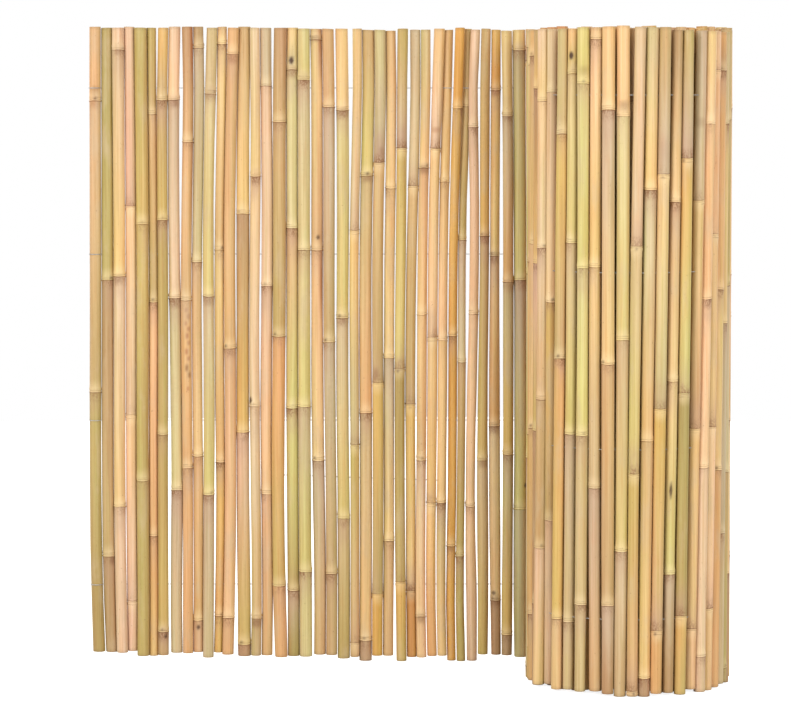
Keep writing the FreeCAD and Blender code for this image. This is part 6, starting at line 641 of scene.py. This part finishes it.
def ramp(nt, value, a, b, lo=0.0, hi=1.0, kind="SMOOTHSTEP"):
    n = nt.nodes.new("ShaderNodeMapRange")
    n.interpolation_type = kind
    n.inputs["From Min"].default_value = a
    n.inputs["From Max"].default_value = b
    n.inputs["To Min"].default_value = lo
    n.inputs["To Max"].default_value = hi
    nt.links.new(value, n.inputs["Value"])
    return n.outputs[0]


def mix(nt, fac, a, b, mode="MIX"):
    n = nt.nodes.new("ShaderNodeMix")
    n.data_type = "RGBA"
    n.blend_type = mode
    n.clamp_factor = True
    for sock, v in ((n.inputs[0], fac), (n.inputs[6], a), (n.inputs[7], b)):
        if isinstance(v, (int, float)):
            sock.default_value = v
        elif isinstance(v, (tuple, list, np.ndarray)):
            sock.default_value = (float(v[0]), float(v[1]), float(v[2]), 1.0)
        else:
            nt.links.new(v, sock)
    return n.outputs[2]


def attr(nt, name):
    n = nt.nodes.new("ShaderNodeAttribute")
    n.attribute_name = name
    return n


def noise(nt, vec, scale, detail=3.0, rough=0.55):
    n = nt.nodes.new("ShaderNodeTexNoise")
    n.inputs["Scale"].default_value = scale
    n.inputs["Detail"].default_value = detail
    n.inputs["Roughness"].default_value = rough
    nt.links.new(vec, n.inputs["Vector"])
    return n.outputs[0]


def bamboo(name, rough):
    mat = bpy.data.materials.new(name)
    mat.use_nodes = True
    nt = mat.node_tree
    nt.nodes.clear()
    outp = nt.nodes.new("ShaderNodeOutputMaterial")
    bs = nt.nodes.new("ShaderNodeBsdfPrincipled")
    nt.links.new(bs.outputs[0], outp.inputs[0])
    co = nt.nodes.new("ShaderNodeTexCoord").outputs["Object"]
    seed = attr(nt, "seed").outputs["Fac"]
    comb = nt.nodes.new("ShaderNodeCombineXYZ")
    nt.links.new(seed, comb.inputs[0])
    nt.links.new(seed, comb.inputs[2])

    def space(sx, sy, sz):
        v = nt.nodes.new("ShaderNodeVectorMath")
        v.operation = "MULTIPLY"
        nt.links.new(co, v.inputs[0])
        v.inputs[1].default_value = (sx, sy, sz)
        w = nt.nodes.new("ShaderNodeVectorMath")
        w.operation = "ADD"
        nt.links.new(v.outputs[0], w.inputs[0])
        nt.links.new(comb.outputs[0], w.inputs[1])
        return w.outputs[0]

    fibre = noise(nt, space(900, 900, 9), 1.0, 4.0, 0.6)
    streak = noise(nt, space(260, 260, 5), 1.0, 2.0, 0.5)
    blotch = noise(nt, space(70, 70, 22), 1.0, 3.0, 0.6)
    stripe = noise(nt, space(150, 150, 3.2), 1.0, 2.0, 0.5)
    cloud = noise(nt, space(28, 28, 9), 1.0, 4.0, 0.65)
    ragged = noise(nt, space(330, 330, 330), 1.0, 3.0, 0.6)
    speck = noise(nt, space(520, 520, 300), 1.0, 2.0, 0.5)
    grain = noise(nt, space(1500, 1500, 1500), 1.0, 2.0, 0.5)

    tone = attr(nt, "tone").outputs["Color"]
    up = attr(nt, "above_mm").outputs["Fac"]
    down = attr(nt, "below_mm").outputs["Fac"]
    bloom = attr(nt, "bloom").outputs["Fac"]
    dirt = attr(nt, "dirt").outputs["Fac"]
    cut = attr(nt, "cut").outputs["Fac"]

    # long streaks and slow blotches in the skin
    col = mix(nt, ramp(nt, streak, 0.40, 0.68, 0.0, 0.62), tone, mix(nt, 1.0, tone, (0.82, 0.75, 0.62), "MULTIPLY"))
    col = mix(nt, ramp(nt, streak, 0.42, 0.26, 0.0, 0.50), col, mix(nt, 1.0, col, (1.07, 1.08, 1.14), "MULTIPLY"))
    col = mix(nt, ramp(nt, blotch, 0.50, 0.74, 0.0, 0.52), col, mix(nt, 1.0, col, (1.02, 0.92, 0.88), "MULTIPLY"))
    col = mix(nt, ramp(nt, blotch, 0.46, 0.24, 0.0, 0.52), col, mix(nt, 1.0, col, (0.93, 0.98, 0.86), "MULTIPLY"))
    col = mix(nt, ramp(nt, stripe, 0.52, 0.72, 0.0, 0.75), col, mix(nt, 1.0, col, (1.01, 0.91, 0.83), "MULTIPLY"))
    col = mix(nt, ramp(nt, stripe, 0.46, 0.28, 0.0, 0.70), col, mix(nt, 1.0, col, (0.94, 1.0, 0.86), "MULTIPLY"))
    col = mix(nt, ramp(nt, cloud, 0.50, 0.72, 0.0, 0.45), col, LIN["greybeige"])
    col = mix(nt, ramp(nt, fibre, 0.40, 0.72, 0.0, 0.40), col, mix(nt, 1.0, col, (0.74, 0.68, 0.58), "MULTIPLY"))
    # the node, its edges a little ragged
    wave = math_node(nt, "MULTIPLY", math_node(nt, "SUBTRACT", ragged, 0.5), 3.4)
    fine = math_node(nt, "MULTIPLY", math_node(nt, "SUBTRACT", ragged, 0.5), 1.1)
    dn = math_node(nt, "ADD", down, wave)
    upw = math_node(nt, "ADD", up, wave)
    under = math_node(nt, "MULTIPLY", ramp(nt, dn, 70.0, 3.0), ramp(nt, dn, -0.6, 0.6))
    soot = math_node(nt, "MULTIPLY", math_node(nt, "MULTIPLY", under, bloom), ramp(nt, blotch, 0.25, 0.62, 0.30, 1.0))
    col = mix(nt, math_node(nt, "MULTIPLY", soot, 0.62), col, LIN["mauve"] * 1.05)
    near = math_node(nt, "MULTIPLY", math_node(nt, "MULTIPLY", ramp(nt, dn, 20.0, 1.5), ramp(nt, dn, -0.5, 0.5)), bloom)
    col = mix(nt, math_node(nt, "MULTIPLY", near, math_node(nt, "MULTIPLY", ramp(nt, speck, 0.36, 0.58, 0.15, 0.85), ramp(nt, blotch, 0.36, 0.58, 0.35, 1.0))), col, LIN["brown"])
    pale = math_node(nt, "MULTIPLY", ramp(nt, upw, 1.0, 3.0), ramp(nt, upw, 5.0, 24.0, 1.0, 0.0))
    col = mix(nt, math_node(nt, "MULTIPLY", pale, 0.30), col, LIN["cream"])
    upf = math_node(nt, "ADD", up, fine)
    line = math_node(nt, "MULTIPLY", ramp(nt, upf, -1.6, -0.4), ramp(nt, upf, 0.0, 0.8, 1.0, 0.0))
    col = mix(nt, math_node(nt, "MULTIPLY", line, ramp(nt, blotch, 0.3, 0.65, 0.22, 0.75)), col, LIN["brown"] * 0.75)
    lip = math_node(nt, "MULTIPLY", ramp(nt, upf, 0.3, 0.9), ramp(nt, upf, 1.2, 2.0, 1.0, 0.0))
    col = mix(nt, math_node(nt, "MULTIPLY", lip, 0.45), col, LIN["cream"])
    groove = math_node(nt, "MULTIPLY", ramp(nt, upf, 1.3, 2.2), ramp(nt, upf, 2.6, 3.8, 1.0, 0.0))
    col = mix(nt, math_node(nt, "MULTIPLY", groove, ramp(nt, blotch, 0.3, 0.7, 0.2, 0.6)), col, LIN["tanbrown"] * 0.8)
    second = math_node(nt, "MULTIPLY", ramp(nt, upf, 4.4, 5.4), ramp(nt, upf, 5.8, 7.2, 1.0, 0.0))
    col = mix(nt, math_node(nt, "MULTIPLY", second, ramp(nt, cloud, 0.46, 0.64, 0.0, 0.40)), col, LIN["brown"])
    # buds, specks
    col = mix(nt, math_node(nt, "MULTIPLY", dirt, 0.9), col, LIN["darkbrown"] * 1.5)
    col = mix(nt, ramp(nt, speck, 0.70, 0.76, 0.0, 0.55), col, LIN["brown"])
    # sawn ends and bores
    pores = ramp(nt, grain, 0.52, 0.62, 0.0, 0.5)
    endc = mix(nt, pores, (0.62, 0.46, 0.27), (0.30, 0.19, 0.09))
    endc = mix(nt, ramp(nt, cut, 1.3, 2.0), endc, (0.16, 0.095, 0.045))
    col = mix(nt, ramp(nt, cut, 0.3, 0.8), col, endc)
    nt.links.new(col, bs.inputs["Base Color"])
    rgh = ramp(nt, streak, 0.3, 0.7, rough - 0.06, rough + 0.08)
    rgh = math_node(nt, "ADD", rgh, math_node(nt, "MULTIPLY", ramp(nt, cut, 0.3, 0.8), 0.3))
    rgh = math_node(nt, "ADD", rgh, math_node(nt, "MULTIPLY", soot, 0.16), True)
    nt.links.new(rgh, bs.inputs["Roughness"])
    bs.inputs["IOR"].default_value = 1.46
    bs.inputs["Specular IOR Level"].default_value = 0.34
    bump = nt.nodes.new("ShaderNodeBump")
    bump.inputs["Strength"].default_value = 0.35
    bump.inputs["Distance"].default_value = 0.0003
    hgt = math_node(nt, "ADD", fibre, math_node(nt, "MULTIPLY", grain, 0.35))
    nt.links.new(hgt, bump.inputs["Height"])
    nt.links.new(bump.outputs[0], bs.inputs["Normal"])
    return mat


MATS = {"bamboo_straw": bamboo("bamboo_straw", 0.46), "bamboo_green": bamboo("bamboo_green", 0.42), "bamboo_tan": bamboo("bamboo_tan", 0.50), "bamboo_amber": bamboo("bamboo_amber", 0.44)}


def zinc():
    mat = bpy.data.materials.new("galvanised_wire")
    mat.use_nodes = True
    nt = mat.node_tree
    bs = nt.nodes["Principled BSDF"]
    co = nt.nodes.new("ShaderNodeTexCoord").outputs["Object"]
    spangle = noise(nt, co, 420.0, 3.0, 0.6)
    dull = noise(nt, co, 60.0, 2.0, 0.5)
    col = mix(nt, ramp(nt, spangle, 0.35, 0.65), (0.34, 0.34, 0.33), (0.55, 0.55, 0.53))
    col = mix(nt, ramp(nt, dull, 0.55, 0.75, 0.0, 0.5), col, (0.30, 0.24, 0.18))
    nt.links.new(col, bs.inputs["Base Color"])
    nt.links.new(ramp(nt, spangle, 0.3, 0.7, 0.34, 0.55), bs.inputs["Roughness"])
    bs.inputs["Metallic"].default_value = 0.7
    bump = nt.nodes.new("ShaderNodeBump")
    bump.inputs["Strength"].default_value = 0.2
    bump.inputs["Distance"].default_value = 0.0001
    nt.links.new(spangle, bump.inputs["Height"])
    nt.links.new(bump.outputs[0], bs.inputs["Normal"])
    return mat


ZINC = zinc()

# ---------------------------------------------------------------- the wires
def turns():
    k = 0
    while True:
        r = ROLL_R - k * TURN / 2
        yield Y_FLAT - ROLL_R - (TURN / 2 if k % 2 else 0.0), r, math.pi * (k % 2), math.pi * r
        k += 1


def path(s):
    """plan point, outward normal and direction at distance s past X_TANGENT"""
    if s <= 0:
        return (X_TANGENT + s, Y_FLAT), (0.0, 1.0), (1.0, 0.0)
    for cy, r, a0, length in turns():
        if s <= length:
            a = a0 + s / r
            n = (math.sin(a), math.cos(a))
            return (X_TANGENT + r * n[0], cy + r * n[1]), n, (n[1], -n[0])
        s -= length


def path_near(x, y, guess):
    best = None
    lo, hi = guess - 14.0, guess + 14.0
    for _ in range(5):
        step = (hi - lo) / 24
        for q in range(25):
            s = lo + q * step
            p = path(s)[0]
            d = (p[0] - x) ** 2 + (p[1] - y) ** 2
            if best is None or d < best[0]:
                best = (d, s)
        lo, hi = best[1] - step, best[1] + step
    return best[1]


def wire_z(k, s):
    """height of wire k at distance s past X_TANGENT: level, then two arcs down behind the roll, then level"""
    x0, x1 = -STEP_DOWN_RUN[0], -STEP_DOWN_RUN[1]
    drop = WIRE_Z_FLAT[k] - WIRE_Z_ROLL[k]
    run = x1 - x0
    r = run / (2 * math.sin(2 * math.atan2(drop, run)))
    if s <= x0:
        return WIRE_Z_FLAT[k]
    if s >= x1:
        return WIRE_Z_ROLL[k]
    first = s < (x0 + x1) / 2
    d = s - x0 if first else x1 - s
    sag = r - math.sqrt(r * r - d * d)
    return WIRE_Z_FLAT[k] - sag if first else WIRE_Z_ROLL[k] + sag


def station(i, k, guess):
    z = wire_z(k, guess)
    for _ in range(2):
        x, y = centre(CANES[i], z)
        guess = path_near(float(x), float(y), guess)
        z = wire_z(k, guess)
    return guess


def end_loop(i, k, s, way):
    """points from the hole outwards and round the end cane"""
    p, n, t = path(s)
    z = wire_z(k, s)
    cx, cy = (float(v) for v in centre(CANES[i], z))
    ex, ey = -way * t[0], -way * t[1]
    u = (cx - p[0]) * ex + (cy - p[1]) * ey
    c = (cx - p[0]) * n[0] + (cy - p[1]) * n[1]
    big = float(radius(CANES[i], z)) + LOOP_GAP + WIRE_R
    rho = LOOP_BEND_R
    xa = u - math.sqrt((big - rho) ** 2 - (c + rho) ** 2)
    a_end = math.atan2(-rho - c, xa - u) % (2 * math.pi)
    pts = []
    for q in range(7):
        a = math.pi / 2 + (a_end - math.pi / 2) * q / 6
        pts.append((xa + rho * math.cos(a), -rho + rho * math.sin(a)))
    a1 = math.radians(332)
    for q in range(1, 25):
        a = a_end + (a1 - a_end) * q / 24
        pts.append((u + big * math.cos(a), c + big * math.sin(a)))
    return [(p[0] + x * ex + y * n[0], p[1] + x * ey + y * n[1], z) for x, y in pts]


def tube(name, pts, r, sides=10):
    """round wire along points, ends nipped to a blunt edge"""
    P = np.array(pts, float)
    keep = [0]
    for j in range(1, len(P)):
        if np.linalg.norm(P[j] - P[keep[-1]]) > 0.25:
            keep.append(j)
    P = P[keep]
    T = np.gradient(P, axis=0)
    T /= np.linalg.norm(T, axis=1)[:, None]
    side = np.array([0.0, 0.0, 1.0])
    rings = []
    scale = [0.55] + [1.0] * (len(P) - 2) + [0.55]
    for p, t, sc in zip(P, T, scale):
        side = side - t * side.dot(t)
        side /= np.linalg.norm(side)
        other = np.cross(t, side)
        a = np.arange(sides) * 2 * math.pi / sides
        rings.append(p + sc * r * (np.cos(a)[:, None] * side + np.sin(a)[:, None] * other))
    V = np.concatenate(rings)
    s = np.arange(sides)
    s1 = (s + 1) % sides
    faces = []
    for j in range(len(P) - 1):
        faces += np.stack([j * sides + s, j * sides + s1, (j + 1) * sides + s1, (j + 1) * sides + s], 1).tolist()
    faces.append(list(range(sides))[::-1])
    faces.append([(len(P) - 1) * sides + q for q in range(sides)])
    me = bpy.data.meshes.new(name)
    me.from_pydata((V * MM).tolist(), [], faces)
    me.polygons.foreach_set("use_smooth", np.ones(len(me.polygons), dtype=bool))
    me.update()
    ob = bpy.data.objects.new(name, me)
    bpy.context.scene.collection.objects.link(ob)
    return ob


def long_wire(k, name):
    g = float(centre(CANES[0], WIRE_Z_FLAT[k])[0]) - X_TANGENT
    s0 = station(0, k, g)
    guess = g
    last = len(CANES) - 1
    for i in range(len(CANES)):
        guess = station(i, k, guess)
        if i < last:
            guess += 18.3
    s1 = guess
    pts = end_loop(0, k, s0, -1)[::-1]
    q = math.ceil((s0 + 12) / 6.0) * 6.0
    while q < s1 - 12:
        p = path(q)[0]
        pts.append((p[0], p[1], wire_z(k, q)))
        q += 6.0 if q > -STEP_DOWN_RUN[0] - 6 else 24.0
    pts += end_loop(last, k, s1, 1)
    return tube(name, pts, WIRE_R)


PIECES = []
for i in range(len(CANES)):
    ob = cane_piece(i)
    nd_name = NODE_OF[i + 1]
    slot = "bamboo_green" if i + 1 in GREEN else "bamboo_tan" if i + 1 in TAN else "bamboo_amber" if i + 1 in AMBER else "bamboo_straw"
    ob.data.materials.append(MATS[slot])
    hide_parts(nd_name)
    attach(ob, "root")
    PIECES.append(ob)
for k, place in enumerate(("top", "upper", "lower", "bottom")):
    ob = long_wire(k, "wire_run_" + place)
    ob.data.materials.append(ZINC)
    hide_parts("wire_" + place)
    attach(ob, "root")
x0, zz0, x1, zz1 = SHORT_WIRE
ob = tube("wire_run_short", [(x0 + (x1 - x0) * q / 24, Y_FLAT, zz0 + (zz1 - zz0) * q / 24) for q in range(25)], WIRE_R)
ob.data.materials.append(ZINC)
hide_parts("wire_short_extra")
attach(ob, "root")

# ---------------------------------------------------------------- floor, light, camera
floor = bpy.data.meshes.new("floor")
ring_n = 96
fv = [(0.0, 0.0, 0.0)] + [(4 * math.cos(2 * math.pi * q / ring_n), 4 * math.sin(2 * math.pi * q / ring_n), 0.0) for q in range(ring_n)]
floor.from_pydata([(x, y, -0.0004) for x, y, z in fv], [], [(0, q + 1, (q + 1) % ring_n + 1) for q in range(ring_n)])
floor_ob = bpy.data.objects.new("floor", floor)
bpy.context.scene.collection.objects.link(floor_ob)
fm = bpy.data.materials.new("floor_white")
fm.use_nodes = True
ft = fm.node_tree
ft.nodes.clear()
fo = ft.nodes.new("ShaderNodeOutputMaterial")
fd = ft.nodes.new("ShaderNodeBsdfDiffuse")
fd.inputs["Color"].default_value = (0.55, 0.55, 0.55, 1)
fe = ft.nodes.new("ShaderNodeEmission")
fe.inputs["Strength"].default_value = 0.86
fa = ft.nodes.new("ShaderNodeAddShader")
fx = ft.nodes.new("ShaderNodeMixShader")
fl = ft.nodes.new("ShaderNodeLightPath")
ft.links.new(fd.outputs[0], fa.inputs[0])
ft.links.new(fe.outputs[0], fa.inputs[1])
ft.links.new(fl.outputs["Is Camera Ray"], fx.inputs[0])
ft.links.new(fd.outputs[0], fx.inputs[1])
ft.links.new(fa.outputs[0], fx.inputs[2])
ft.links.new(fx.outputs[0], fo.inputs[0])
floor.materials.append(fm)

world = bpy.data.worlds.new("studio")
bpy.context.scene.world = world
world.use_nodes = True
wt = world.node_tree
wt.nodes.clear()
wo = wt.nodes.new("ShaderNodeOutputWorld")
seen_bg = wt.nodes.new("ShaderNodeBackground")
seen_bg.inputs[0].default_value = (1, 1, 1, 1)
seen_bg.inputs[1].default_value = 1.0
lit_bg = wt.nodes.new("ShaderNodeBackground")
lit_bg.inputs[0].default_value = (1.0, 0.975, 0.95, 1)
sky = wt.nodes.new("ShaderNodeTexCoord").outputs["Generated"]
sep = wt.nodes.new("ShaderNodeSeparateXYZ")
wt.links.new(sky, sep.inputs[0])
wt.links.new(ramp(wt, sep.outputs[1], -0.1, 0.9, 0.92, 0.92 * 1.9), lit_bg.inputs[1])
lp = wt.nodes.new("ShaderNodeLightPath")
mx = wt.nodes.new("ShaderNodeMixShader")
wt.links.new(lp.outputs["Is Camera Ray"], mx.inputs[0])
wt.links.new(lit_bg.outputs[0], mx.inputs[1])
wt.links.new(seen_bg.outputs[0], mx.inputs[2])
wt.links.new(mx.outputs[0], wo.inputs[0])


def lamp(name, where, aim, size, watts, colour=(1, 1, 1)):
    li = bpy.data.lights.new(name, "AREA")
    li.shape = "DISK"
    li.size = size
    li.energy = watts
    li.color = colour
    ob = bpy.data.objects.new(name, li)
    bpy.context.scene.collection.objects.link(ob)
    v = np.array(aim, float) - np.array(where, float)
    ob.location = where
    ob.rotation_euler = (math.atan2(math.hypot(v[0], v[1]), -v[2]), 0.0, math.atan2(v[1], v[0]) - math.pi / 2)
    return ob


lamp("key", (-2.9, -4.6, 2.4), (0.0, 0.0, 0.5), 2.0, 160.0, (1.0, 0.995, 0.985))
lamp("fill", (2.6, -4.8, 1.6), (0.1, 0.0, 0.5), 2.8, 98.0, (1.0, 0.99, 0.98))
lamp("back", (0.5, 4.5, 3.5), (0.0, 0.0, 0.5), 3.0, 40.0, (1.0, 0.99, 0.98))

cam = bpy.data.cameras.new("camera")
cam.sensor_fit = "HORIZONTAL"
cam.sensor_width = 36.0
cam.lens = 146.39
cam.shift_x = 0.0
cam.shift_y = -0.1029
cam.clip_start = 0.1
cam.clip_end = 60.0
cam_ob = bpy.data.objects.new("camera", cam)
cam_ob.location = (-0.01543, -4.94067, 0.90698)
cam_ob.rotation_euler = (math.radians(86.7), 0.0, 0.0)
bpy.context.scene.collection.objects.link(cam_ob)
bpy.context.scene.camera = cam_ob
bpy.context.scene.view_settings.view_transform = "Standard"
bpy.context.scene.view_settings.look = "None"
